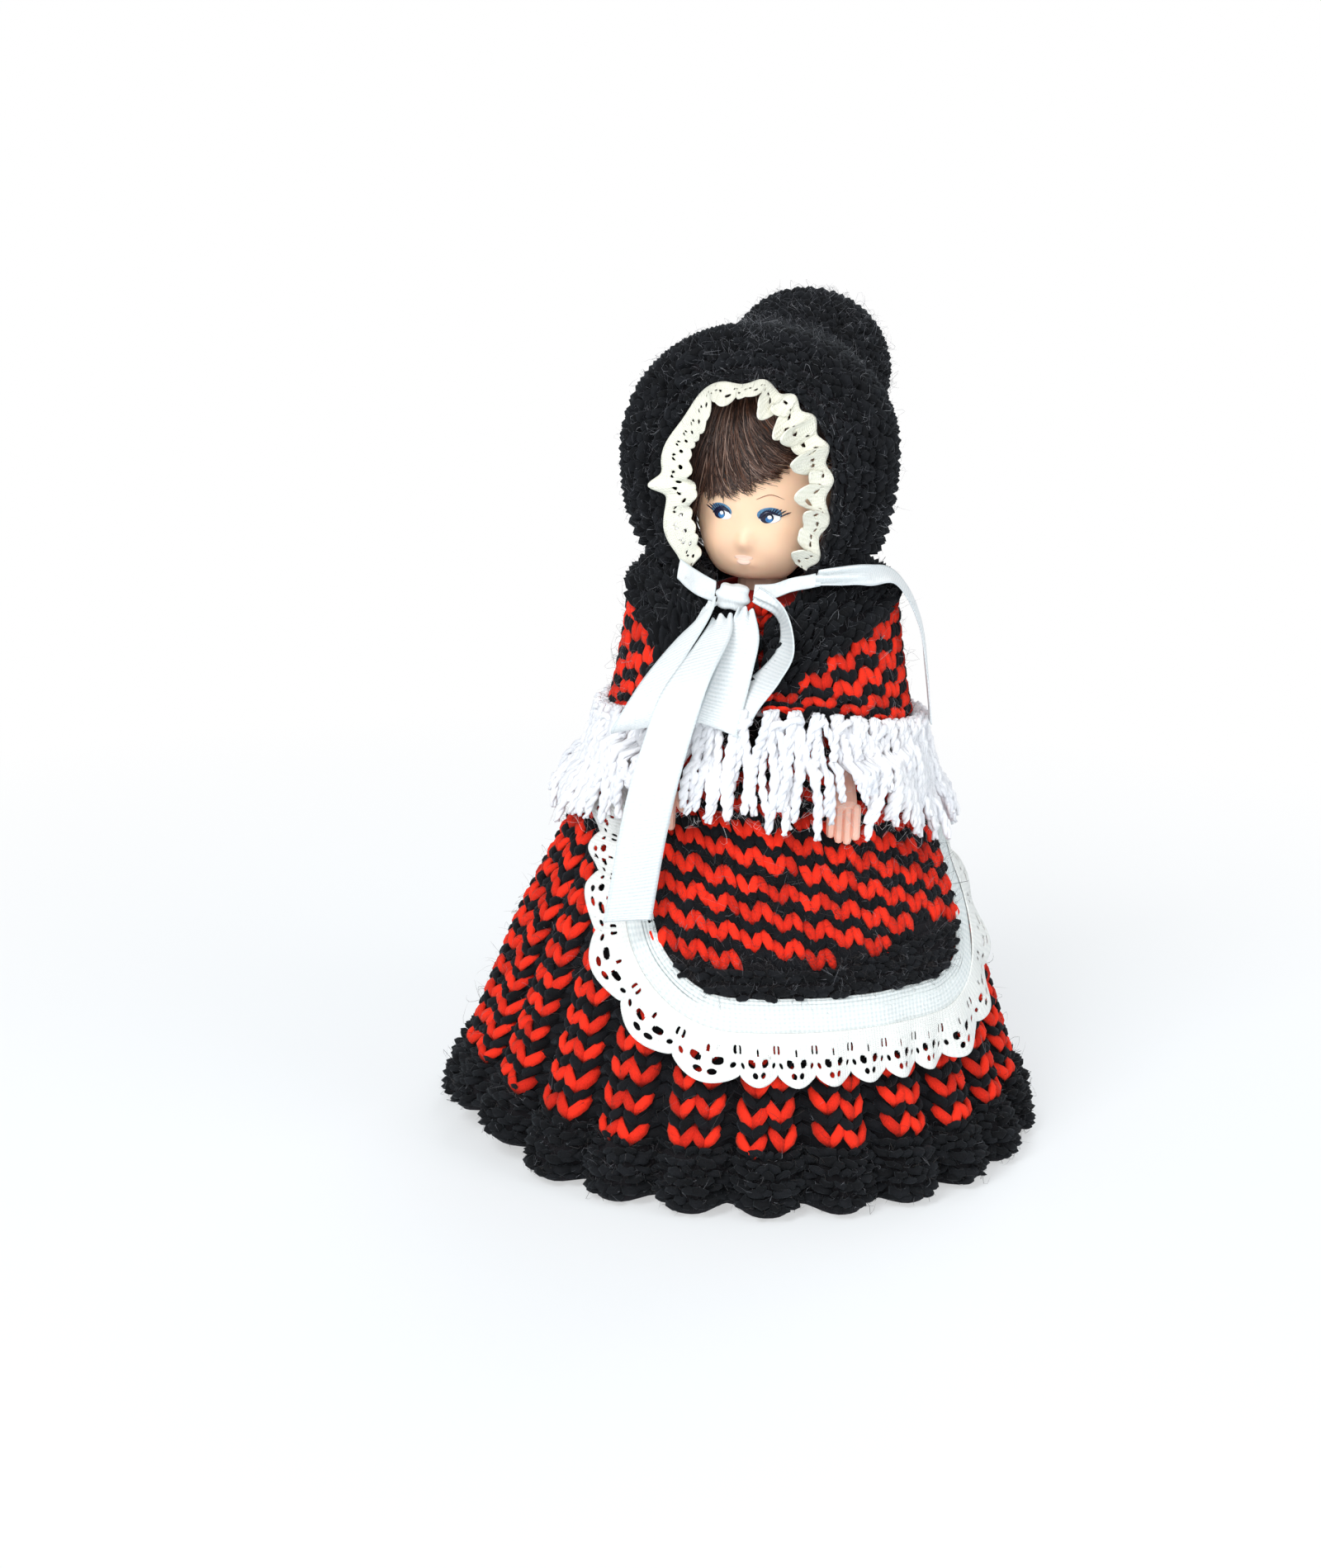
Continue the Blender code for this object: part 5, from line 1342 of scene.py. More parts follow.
@dataclass
class Apron:
    """The zigzag panel, its garter band, the tape, the gathered lace and the waist cord."""

    form: ApronForm
    cloth: float = 0.0012
    yarn: float = 0.0009
    step: float = 0.0063
    row_height: float = 0.00282
    band_height: float = 0.0096
    tape_width: float = 0.0064
    tape_lift: float = 0.0006
    lace_width: float = 0.0084
    lace_ruffles: int = 22
    lace_ruffle: float = 0.0008
    scallop: float = 0.0022
    cord_height: float = 0.0921
    cord_half: tuple[float, float] = (0.01566, 0.01226)
    cord_strand: float = 0.00042

    def face(self, across: Array, length: Array, out: float = 0.0004) -> Array:
        """The apron's face by distance across and up the slope."""
        return self.form.point(across, self.form.dress.height_at(length), out)

    def slant(self, across: Array) -> Array:
        """How far the knitted rows sink from the right side of the panel to the left one."""
        away = across + self.form.half_width
        return 0.20 * away + 1.7 * away * away

    def band_end(self, across: Array) -> Array:
        """Where the garter band ends and the zigzag rows start, up the slope."""
        line = float(self.form.dress.length_at(np.array(self.form.bottom + self.band_height)))
        return line - 0.0048 + 0.0042 * smooth((across + 0.008) / 0.034)

    def build(self) -> None:
        """Makes the apron's pieces."""
        form = self.form
        line = form.bottom + self.band_height

        def panel(u: Array, v: Array) -> Array:
            """The panel's face, over the unit square."""
            end = form.dress.height_at(self.band_end((2 * u - 1) * form.half_width))
            height = end + (form.top - end) * v
            return form.point((2 * u - 1) * (form.width_at(height) - 0.0003), height, 0.0008)

        sheet = object_of("apron_panel_cloth", grid_shape(panel, 60, 34))
        applied(sheet, "SOLIDIFY", thickness=0.0008, offset=-1)
        DRESSER.wear(sheet, GROUND_YARN, Body.TORSO)
        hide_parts("apron_panel")
        dress = form.dress
        low = float(dress.length_at(np.array(line)))
        high = float(dress.length_at(np.array(form.top)))
        columns = int(form.half_width * 2 / self.step) + 1
        rows = int((high - low + float(self.slant(np.array(form.half_width)))) / self.row_height) + 1
        row, column = np.meshgrid(np.arange(-3, rows), np.arange(columns), indexing="ij")
        row, column = row.ravel(), column.ravel()
        across = (column - columns / 2) * self.step
        middle = across + self.step / 2
        length = low + row * self.row_height - self.slant(middle)
        height = dress.height_at(length)
        end = self.band_end(middle) + 0.0008 * np.sin(column * 2.1)
        inside = (length > end) & (length < high - 0.004) & (np.abs(middle) < form.width_at(height) - 0.0010)
        cells = KNITTER.cells(
            np.stack([across, length], axis=-1), (self.step, 0), (0, self.row_height), 0.045
        )
        for name, first, finish in (("apron_red_rows", 0, RED_YARN), ("apron_black_rows", 1, BLACK_YARN)):
            grown = cells.only(inside & (row % 2 == first)).taller(1.52 if first == 0 else 1.04)
            obj = KNITTER.zigzag(name, grown, self.face, self.yarn, True)
            DRESSER.wear(obj, finish, Body.TORSO)
        spots = self.scatter(1500, line, form.top - 0.02)
        fibres = KNITTER.fuzz("apron_fibres", spots, self.face, 0.0028, 0.0013, 0.000026)
        DRESSER.wear(fibres, DARK_FIBRES, Body.TORSO)
        declare(sheet, flat=(0.0746, 0.0520))
        self.build_band(line)
        self.build_tape()
        self.build_lace()
        self.build_cord()

    def scatter(self, count: int, low: float, high: float) -> Array:
        """Random spots of the panel between two heights."""
        height = low + (high - low) * KNITTER.random.random(count)
        across = (2 * KNITTER.random.random(count) - 1) * (self.form.width_at(height) - 0.0006)
        return np.stack([across, self.form.dress.length_at(height)], axis=-1)

    def build_band(self, line: float) -> None:
        """Makes the garter band along the panel's bottom."""
        form = self.form

        def band(u: Array, v: Array) -> Array:
            """The band's face, over the unit square."""
            end = form.dress.height_at(self.band_end((2 * u - 1) * form.half_width))
            height = form.bottom + (end - form.bottom) * v
            return form.point((2 * u - 1) * (form.width_at(height) - 0.0002), height, 0.0009)

        sheet = object_of("apron_band_cloth", grid_shape(band, 60, 10))
        applied(sheet, "SOLIDIFY", thickness=0.0009, offset=-1)
        DRESSER.wear(sheet, GROUND_YARN, Body.TORSO)
        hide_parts("apron_band")
        low = float(form.dress.length_at(np.array(form.bottom)))
        high = float(form.dress.length_at(np.array(line)))
        wide, rise = 0.0026, 0.0016
        row, column = np.meshgrid(np.arange(int((high - low) / rise) + 1), np.arange(30), indexing="ij")
        across = (column - 14.5 + (row % 2) * 0.5).ravel() * wide
        length = low + (row.ravel() + 0.4) * rise
        kept = np.abs(across) < form.width_at(form.dress.height_at(length)) - 0.0013
        kept &= length < self.band_end(across) + 0.0002
        flip = np.where(row.ravel() % 2, -1.0, 1.0)[:, None]
        cells = KNITTER.cells(np.stack([across, length], axis=-1), (wide, 0), flip * (0, rise), 0.16)
        cells.mirrored = flip[:, 0] < 0
        bumps = KNITTER.purls("apron_band_stitches", cells.only(kept), self.face, 0.0014)
        DRESSER.wear(bumps, BLACK_GARTER, Body.TORSO)
        spots = self.scatter(2300, form.bottom + 0.0005, line - 0.0010)
        fibres = KNITTER.fuzz("apron_band_fibres", spots, self.face, 0.0019, 0.0016, 0.000026)
        DRESSER.wear(fibres, DARK_FIBRES, Body.TORSO)
        declare(
            sheet,
            flat=(0.0700, 0.0102),
            area=0.00056,
        )

    def build_tape(self) -> None:
        """Makes the woven tape round the sides and the bottom."""

        def tape(u: Array, v: Array) -> Array:
            """The tape's face, over the unit square."""
            across, height = self.form.outline(u, (self.tape_width + 0.0008) * v - 0.0008)
            rib = (0.00004 + 0.00014 * smooth((0.5 - v) * 4)) * np.cos(v * FULL_TURN * 9)
            slack = 0.00025 * np.sin(u * 61) * np.sin(u * 23 + 1)
            return self.form.point(across, height, self.tape_lift + 0.0007 + rib + slack)

        obj = object_of("apron_tape_cloth", grid_shape(tape, 240, 30))
        applied(obj, "SOLIDIFY", thickness=0.0004, offset=-1)
        DRESSER.wear(obj, TAPE, Body.TORSO)
        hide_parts("apron_tape")
        declare(obj, flat=(0.0103, 0.1760), area=0.00117)

    def build_lace(self) -> None:
        """Makes the gathered lace frill with its holes and scallops."""
        holes = (
            Hole(0.33, 0.58, 0.090, 0.078, 3.0),
            Hole(0.67, 0.58, 0.090, 0.078, 3.0),
            Hole(0.40, 0.79, 0.070, 0.060),
            Hole(0.60, 0.79, 0.070, 0.060),
            Hole(0.10, 0.70, 0.050, 0.060),
            Hole(0.90, 0.70, 0.050, 0.060),
            Hole(0.06, 0.38, 0.026, 0.110),
            Hole(0.94, 0.38, 0.026, 0.110),
            Hole(0.50, 0.36, 0.028, 0.070),
        )

        def lace(u: Array, v: Array) -> Array:
            """The lace's face, along it and out from its seam."""
            phase = u * self.lace_ruffles
            tip = np.abs(np.sin(phase * HALF_TURN)) ** 0.7
            width = self.lace_width + 0.0006 - self.scallop * (1 - tip)
            across, height = self.form.outline(u, self.tape_width - 0.0010 + (width + 0.0012) * v)
            wave = np.cos(phase * FULL_TURN + 0.6) * v
            fold = 0.00035 * np.sin(phase * 2.7) * v
            return self.form.point(
                across, height, self.tape_lift + 0.0005 + self.lace_ruffle * (1 - wave * 0.8) + fold
            )

        obj = object_of("apron_lace_cloth", lace_shape(lace, self.lace_ruffles, 36, 30, holes))
        applied(obj, "SOLIDIFY", thickness=0.0003, offset=-1)
        DRESSER.wear(obj, APRON_LACE, Body.TORSO)
        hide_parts("apron_lace")
        declare(obj, flat=(0.0100, 0.2350), area=0.0017)

    def build_cord(self) -> None:
        """Makes the twisted cord that ties the apron round the waist."""
        turn = np.linspace(0, FULL_TURN, 241)
        strands = []
        for start in (0, 1, 2):
            swing = turn * 26 + start * FULL_TURN / 3
            out = 1 + np.cos(swing) * self.cord_strand * 0.9 / self.cord_half[0]
            strands.append(
                np.stack(
                    [
                        self.cord_half[0] * out * np.sin(turn),
                        -self.cord_half[1] * out * np.cos(turn),
                        self.cord_height + self.cord_strand * 0.9 * np.sin(swing),
                    ],
                    axis=-1,
                )
            )
        paths = np.stack(strands)
        shape = swept(
            paths,
            np.full(paths.shape[:2], self.cord_strand),
            6,
            np.tile((0, 0, 1.0), (3, 1)),
            np.arange(3) / 3,
        )
        obj = DRESSER.wear(object_of("waist_cord", shape), WHITE_YARN, Body.TORSO)
        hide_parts("apron_waist_cord")


# Bodice


@dataclass
class Bodice:
    """The plain knitted top with its armholes."""

    half_width: float = 0.0182
    half_depth: float = 0.0120
    bottom: float = 0.0913
    top: float = 0.1172
    shoulder: float = 0.106
    armhole: float = 0.0078
    columns: int = 30
    row_height: float = 0.0024
    shares: tuple = (
        (0.0, 0.80, 0.93),
        (0.24, 0.80, 0.93),
        (0.50, 0.93, 0.98),
        (0.72, 1.0, 0.98),
        (0.87, 0.86, 0.90),
        (0.95, 0.66, 0.80),
        (1.0, 0.47, 0.69),
    )

    def face(self, angle: Array, height: Array) -> Array:
        """The outer face by angle and height."""
        table = np.array(self.shares)
        share = (height - self.bottom) / (self.top - self.bottom)
        wide = self.half_width * np.interp(share, table[:, 0], table[:, 1]) - 0.0005
        deep = self.half_depth * np.interp(share, table[:, 0], table[:, 2]) - 0.0005
        return np.stack([wide * np.sin(angle), -deep * np.cos(angle), height + 0 * angle], axis=-1)

    def build(self) -> None:
        """Makes the bodice's pieces."""

        def ground(u: Array, v: Array) -> Array:
            """The face, over the unit square."""
            return self.face(u * FULL_TURN, self.bottom + (self.top - self.bottom) * v)

        columns, rows = 72, 30
        u, v = np.meshgrid((np.arange(columns) + 0.5) / columns, (np.arange(rows) + 0.5) / rows)
        middle = ground(u.ravel(), v.ravel())
        far = np.hypot(middle[:, 1], middle[:, 2] - self.shoulder) > self.armhole
        kept = (far | (np.abs(middle[:, 0]) < 0.0135)).reshape(rows, columns)
        sheet = object_of("bodice_cloth", grid_shape(ground, columns, rows, closed=True, kept=kept))
        applied(sheet, "SOLIDIFY", thickness=0.0008, offset=-1)
        DRESSER.wear(sheet, RED_GROUND, Body.TORSO)
        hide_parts("dress_bodice")
        step = FULL_TURN / self.columns
        count = int((self.top - self.bottom) / self.row_height)
        row, column = np.meshgrid(np.arange(count), np.arange(self.columns), indexing="ij")
        corners = np.stack([column.ravel() * step, self.bottom + row.ravel() * self.row_height], axis=-1)
        spots = self.face(corners[:, 0], corners[:, 1])
        far = np.hypot(spots[:, 1], spots[:, 2] - self.shoulder) > self.armhole + 0.001
        far |= np.abs(spots[:, 0]) < 0.0125
        cells = KNITTER.cells(corners, (step, 0), (0, self.row_height)).only(far)
        stitches = DRESSER.wear(
            KNITTER.vees("bodice_stitches", cells, self.face, 0.0006), RED_YARN, Body.TORSO
        )
        declare(
            sheet,
            flat=(0.098, 0.034),
            area=0.0020,
        )


# Shawl


@dataclass
class ShawlForm:
    """The shawl's drape over the shoulders and where its black border ends."""

    dress: SkirtForm
    apron: ApronForm
    top: float = 0.1186
    neck: float = 0.0145
    radii: tuple[float, float, float] = (0.0360, 0.0318, 0.0260)
    side_shift: float = 0.0009
    drops: tuple[float, float, float] = (0.0204, 0.0281, 0.0336)
    gap: float = math.radians(1.2)
    neck_opening: float = math.radians(44)
    closed: float = 0.68
    fringe_length: float = 0.0220
    fringe_flare: float = 0.0065
    fringe_thickness: float = 0.0012
    hand_room: float = 0.0430
    hand_angle: float = math.radians(31)
    hand_spread: float = math.radians(18)
    hand_top: float = 0.0880

    def __post_init__(self) -> None:
        self.front = np.array(
            ((1.0, 1.0), (0.87, 0.91), (0.68, 0.69), (0.45, 0.40), (0.23, 0.13), (0.0, 0.0))
        )
        self.side = np.array(
            ((1.0, 1.0), (0.92, 0.77), (0.83, 0.42), (0.74, 0.08), (0.46, -0.07), (0.0, -0.06))
        )
        self.back = np.array(((1.0, 1.0), (0.80, 0.80), (0.62, 0.54), (0.48, 0.26), (0.30, 0.05), (0.0, 0.0)))
        self.turns = np.radians((-180, -90, -65, -50, -36, -30, 0, 7, 28, 47, 70, 90, 180))
        self.borders = np.array(
            (0.62, 0.60, 0.50, 0.46, 0.16, 0.03, 0.20, 0.26, 0.45, 0.51, 0.555, 0.60, 0.62)
        )
        angles = np.radians(np.arange(-180, 181, 5))
        shares = np.linspace(0, 1, 41)
        a, s = np.meshgrid(angles, shares, indexing="ij")
        path = self.point(a.ravel(), s.ravel()).reshape(len(angles), len(shares), 3)
        self.angles = angles
        self.lengths = np.linalg.norm(np.diff(path, axis=1), axis=-1).sum(axis=1)

    def point(self, angle: Array, share: Array, out: Array | float = 0) -> Array:
        """A point of the shawl's outer face: share 0 on its lower edge and 1 at the neck."""
        ahead = np.cos(angle)
        middle = ahead * ahead
        in_front = ahead > 0
        front, side, back = (between(table, share) for table in (self.front, self.side, self.back))
        way = np.where(in_front, front[:, 0], back[:, 0])
        drop = np.where(in_front, front[:, 1], back[:, 1])
        radius = np.where(in_front, self.radii[0], self.radii[2])
        whole = np.where(in_front, self.drops[0], self.drops[2])
        reach = middle * (radius - self.neck) * way + (1 - middle) * (self.radii[1] - self.neck) * side[:, 0]
        fall = middle * whole * drop + (1 - middle) * self.drops[1] * side[:, 1]
        place = on_circle(self.neck + reach + out, angle, self.top - fall)
        place[..., 0] += self.side_shift * (1 - share)
        return place

    def opening(self, share: Array) -> Array:
        """Half the angle that is open in front."""
        return self.gap + (self.neck_opening - self.gap) * smooth((share - self.closed) / (1 - self.closed))

    def border(self, angle: Array) -> Array:
        """The share at which the black border ends."""
        turned = (angle + HALF_TURN) % FULL_TURN - HALF_TURN
        return np.interp(turned, self.turns, self.borders)

    def length(self, angle: Array) -> Array:
        """The cloth's length from its lower edge to the neck at an angle."""
        turned = (angle + HALF_TURN) % FULL_TURN - HALF_TURN
        return np.interp(turned, self.angles, self.lengths)

    def share_at(self, angle: Array, above: Array) -> Array:
        """The share that lies this far above the border's end."""
        return self.border(angle) + above / self.length(angle)

    def face(self, angle: Array, above: Array) -> Array:
        """The face by angle and distance above the border's end."""
        return self.point(angle, self.share_at(angle, above), -0.0006)

    def level(self, angle: Array, along: Array) -> Array:
        """The face by angle and distance up from the lower edge."""
        return self.point(angle, along / self.length(angle), -0.0006)

    def fringe(self, angle: Array, drop: Array, out: Array | float = 0) -> Array:
        """A point of the fringe: drop 0 at the cloth and 1 at its tips."""
        edge = self.point(angle, 0 * angle)
        height = edge[:, 2] - self.fringe_length * drop
        radius = np.hypot(edge[:, 0], edge[:, 1]) + self.fringe_thickness + self.fringe_flare * drop
        layers = self.dress.depth(height) + self.apron.lift(height) + 0.0050
        radius = np.maximum(radius, self.dress.radius(height) + layers * self.dress.lean(height))
        hand = 0 * angle
        for side in (-1, 1):
            away = (angle - side * self.hand_angle + HALF_TURN) % FULL_TURN - HALF_TURN
            hand = hand + bump(away, self.hand_spread)
        push = np.maximum(self.hand_room + self.fringe_thickness - radius, 0) * np.minimum(hand, 1)
        radius = radius + np.where(height < self.hand_top, push, 0) + out
        return on_circle(radius, angle, height)


@dataclass
class Shawl:
    """The shawl with its black border and zigzag rows, and its knotted fringe, in two halves."""

    form: ShawlForm
    cloth: float = 0.0014
    yarn: float = 0.0009
    columns: int = 26
    row_height: float = 0.0026
    tufts: int = 50
    strands: int = 5
    strand_radius: float = 0.00056
    blend_start: tuple[float, float, float] = (0.008, -0.004, 0.104)
    blend_end: tuple[float, float, float] = (0.034, -0.026, 0.088)

    def build(self) -> None:
        """Makes both halves."""
        for side, body in ((1, Body.LEFT_ARM), (-1, Body.RIGHT_ARM)):
            self.build_half(side, body)

    def give(
        self, obj: bpy.types.Object, finish: object
    ) -> bpy.types.Object:
        """Dresses a piece of one half, on no body, and bakes its transform."""
        DRESSER.wear(obj, finish, None)
        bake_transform(obj)
        return obj

    def build_half(self, side: int, body: Body) -> None:
        """Makes the cloth, stitches, fibres and fringe of one side."""
        form = self.form
        name = "left" if side > 0 else "right"

        def ground(u: Array, v: Array) -> Array:
            """The face, over the unit square."""
            opening = form.opening(v)
            if side > 0:
                angle = opening + (HALF_TURN - opening) * u
            else:
                angle = -HALF_TURN + (HALF_TURN - opening) * u
            return form.point(angle, v, -0.0006)

        sheet = object_of(f"shawl_cloth_{name}", grid_shape(ground, 64, 26))
        applied(sheet, "SOLIDIFY", thickness=self.cloth, offset=-1)
        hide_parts("shawl")
        self.give(sheet, GROUND_YARN)
        pieces = [self.zigzag(side, body, name, True), self.zigzag(side, body, name, False)]
        pieces.append(self.garter(side, name))
        count = 2600
        share = KNITTER.random.random(count)
        opening = form.opening(share)
        angle = side * (opening + (HALF_TURN - opening) * KNITTER.random.random(count))
        above = (share - form.border(angle)) * form.length(angle)
        dark = (above > -0.001) | (KNITTER.random.random(count) < 0.3)
        spots = np.stack([angle, above], axis=-1)[dark]
        fibres = KNITTER.fuzz(f"shawl_fibres_{name}", spots, form.face, 0.0026, 0.0015, 0.000028)
        pieces.append(self.give(fibres, HIGHLIGHT_FIBRES))
        pieces += self.fringe(side, body, name)
        declare(
            sheet,
            flat=(0.100, 0.042),
            area=0.0027,
        )

    def zigzag(self, side: int, body: Body, name: str, red: bool) -> bpy.types.Object:
        """The zigzag rows of one colour below the border."""
        form = self.form
        step = FULL_TURN / self.columns
        row, column = np.meshgrid(np.arange(15), np.arange(self.columns // 2), indexing="ij")
        row, column = row.ravel(), column.ravel()
        angle = side * (column + 0.5) * step
        share = form.share_at(angle, -(row - 0.1) * self.row_height)
        kept = (share > 0.005) & (row % 2 == (1 if red else 0))
        kept &= np.abs(angle) > form.opening(share) + step * 0.2
        corners = np.stack([angle - step / 2, share * form.length(angle)], axis=-1)
        cells = KNITTER.cells(corners, (step, 0), (0, self.row_height), 0.045).only(kept)
        colour = "red" if red else "black"
        grown = cells.taller(1.42 if red else 1.10)
        obj = KNITTER.zigzag(f"shawl_{colour}_rows_{name}", grown, form.level, self.yarn, side < 0)
        return self.give(obj, RED_YARN if red else BLACK_YARN)

    def garter(self, side: int, name: str) -> bpy.types.Object:
        """The garter bumps of the border."""
        form = self.form
        step = FULL_TURN / 60
        rise = 0.0018
        row, column = np.meshgrid(np.arange(22), np.arange(30), indexing="ij")
        angle = side * (column + 0.5 + (row % 2) * 0.5).ravel() * step
        above = (row.ravel() + 0.3) * rise
        share = form.share_at(angle, above)
        kept = (share < 0.99) & (
            np.abs(angle) > form.opening(share) + step * 0.3
        ) & (np.abs(angle) < HALF_TURN)
        flip = np.where(row.ravel() % 2, -1.0, 1.0)[:, None]
        cells = KNITTER.cells(np.stack([angle, above], axis=-1), (step, 0), flip * (0, rise), 0.14)
        cells.mirrored = flip[:, 0] < 0
        obj = KNITTER.purls(f"shawl_border_stitches_{name}", cells.only(kept), form.face, 0.0017)
        return self.give(obj, BLACK_GARTER)

    def fringe(self, side: int, body: Body, name: str) -> list[bpy.types.Object]:
        """The knotted strands of one side, and their loose fibres."""
        form = self.form
        random = KNITTER.random
        half = self.tufts // 2
        tuft = np.repeat(np.arange(half), self.strands)
        count = len(tuft)
        spacing = (HALF_TURN - form.gap) / half
        middle = form.gap + (tuft + 0.5) * spacing
        own = (np.arange(count) % self.strands) / (self.strands - 1) - 0.5
        steps = 20
        t = np.linspace(0, 1, steps)
        fan = own[:, None] * spacing * (0.35 + 1.1 * smooth(t * 1.3))[None]
        lean = random.normal(0, 0.045, count) + random.normal(0, 0.07, half)[tuft]
        curl = random.normal(0, 0.020, count)[:, None] * np.sin(t * 4 + random.random((count, 1)) * 6) * t
        angle = side * (middle[:, None] + fan + curl) + lean[:, None] * t**1.3
        hand = bump(middle - form.hand_angle, math.radians(9))
        reach = ((0.95 + random.normal(0, 0.10, count)).clip(0.65, 1.15) * (1 - 0.32 * hand))[:, None]
        drop = (t[None] * reach - 0.05) * (1 + 0.06 * np.sin(tuft * 1.7))[:, None]
        depth = 0.0004 + 0.0010 * random.random(count)[:, None] + 0.0007 * np.sin(
            t * 7 + 6 * random.random((count, 1))
        )
        points = form.fringe(angle.ravel(), drop.ravel(), depth.ravel()).reshape(count, steps, 3)
        radii = self.strand_radius * (0.85 + 0.35 * random.random((count, 1)))
        radii = np.tile(
            radii * np.interp(t, (0, 0.06, 0.16, 0.85, 1), (0.8, 1.0, 1.0, 1.15, 0.65))[None], (2, 1)
        )
        outward_way = np.stack([np.sin(angle[:, 0]), -np.cos(angle[:, 0]), 0 * angle[:, 0]], axis=-1)
        paths = plied(points, outward_way, self.strand_radius * 0.82, 4.2)
        shape = swept(paths, radii, 6, np.tile(outward_way, (2, 1)), np.tile(random.random(count), 2))
        strands = self.give(object_of(f"shawl_fringe_{name}", shape), WHITE_YARN)
        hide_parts("shawl_fringe")
        knots = self.knots(side, half, spacing)
        knots = self.give(object_of(f"shawl_knots_{name}", knots), WHITE_YARN)
        spots = np.stack(
            [side * (form.gap + (HALF_TURN - form.gap) * random.random(1300)), random.random(1300)], axis=-1
        )
        loose = KNITTER.fuzz(f"fringe_fibres_{name}", spots, form.fringe, 0.0032, 0.0016, 0.000024)
        loose = self.give(loose, WHITE_FIBRES)
        return [strands, knots, loose]

    def knots(self, side: int, half: int, spacing: float) -> Shape:
        """The knots that gather the strands."""
        form = self.form
        turn = np.linspace(0, FULL_TURN, 15)
        angle = side * (form.gap + (np.arange(half) + 0.5) * spacing)
        angle = angle + KNITTER.random.normal(0, spacing * 0.12, half)
        middle = form.fringe(angle, 0.05 + 0.05 * KNITTER.random.random(half), 0.0010)
        tangent = np.stack([np.cos(angle), np.sin(angle), 0 * angle], axis=-1)
        out = np.stack([np.sin(angle), -np.cos(angle), 0 * angle], axis=-1)
        size = 0.0016 * (0.75 + 0.5 * KNITTER.random.random(half))[:, None, None]
        up = np.array((0, 0, 1.0))
        paths = middle[:, None] + size * (
            tangent[:, None] * np.cos(turn)[None, :, None]
            + out[:, None] * 0.55 * np.sin(turn)[None, :, None]
            + up * (0.75 * np.sin(turn[None] + 2.4 * KNITTER.random.random((half, 1))))[:, :, None]
        )
        radii = np.full(paths.shape[:2], 0.00078)
        return swept(paths, radii, 6, np.tile((0, 0, 1.0), (half, 1)), KNITTER.random.random(half), 0.12)


# Head


@dataclass
class HeadForm:
    """The doll's moulded head, in its own frame."""

    chin: float = 0.1198
    crown: float = 0.1633
    half_width: float = 0.0155
    half_depth: float = 0.0165
    jaw_taper: float = 0.10
    jaw_breadth: float = 1.28
    squareness: float = 0.30
    reliefs: tuple = (
        (0.0, 0.0090, 0.0016, 0.0017, 0.0019),
        (0.0, 0.0042, 0.0006, 0.0024, 0.0011),
        (0.0, 0.0012, 0.0008, 0.0040, 0.0022),
        (0.0085, 0.0072, 0.0010, 0.0048, 0.0046),
        (0.0051, 0.0138, -0.0007, 0.0030, 0.0022),
    )

    def point(self, turn: Array, rise: Array, out: Array | float = 0) -> Array:
        """A point of the skin: turn from the face, rise from the neck to the crown."""
        half_height = (self.crown - self.chin) / 2
        middle = (self.crown + self.chin) / 2
        lower = np.maximum(-np.sin(rise), 0)
        ahead = np.maximum(np.cos(turn), 0)
        power = 1 - (1 - self.squareness) * smooth(lower * 2) * smooth(self.jaw_breadth * ahead)
        level = np.maximum(np.cos(rise), 0) ** power
        side = (self.half_width + out) * (1 - self.jaw_taper * lower * ahead) * level * np.sin(turn)
        front = (self.half_depth + out) * level * np.cos(turn)
        height = middle + (half_height + out) * np.sin(rise)
        for offset, above, stand, half_wide, half_high in self.reliefs:
            lift = stand * bump(np.abs(side) - offset, half_wide) * bump(
                height - self.chin - above, half_high
            )
            front = front + lift * smooth(2 * ahead)
        return np.stack([side, -front, height], axis=-1)

    def place(self, turn: Array, rise: Array, out: Array | float = 0) -> Array:
        """The same point with the head turned as it is at rest."""
        return turned_with_head(self.point(turn, rise, out))

    def turn_and_rise(self, side: Array, height: Array) -> tuple[Array, Array]:
        """Where the face has this side and height, in its own frame."""
        middle = (self.crown + self.chin) / 2
        rise = np.arcsin(np.clip((height - middle) / ((self.crown - self.chin) / 2), -0.999, 0.999))
        turn = 0 * side
        for _ in range(6):
            lower = np.maximum(-np.sin(rise), 0)
            ahead = np.maximum(np.cos(turn), 0)
            power = 1 - (1 - self.squareness) * smooth(lower * 2) * smooth(self.jaw_breadth * ahead)
            wide = self.half_width * (
                1 - self.jaw_taper * lower * ahead
            ) * np.maximum(np.cos(rise), 0.01) ** power
            turn = np.arcsin(np.clip(side / wide, -0.98, 0.98))
        return turn, rise

    def on_face(self, side: Array, height: Array, lift: float) -> Array:
        """Points painted on the face at this side and height."""
        turn, rise = self.turn_and_rise(side, height)
        return lifted(self.place, turn, rise, np.full(np.shape(turn), lift))


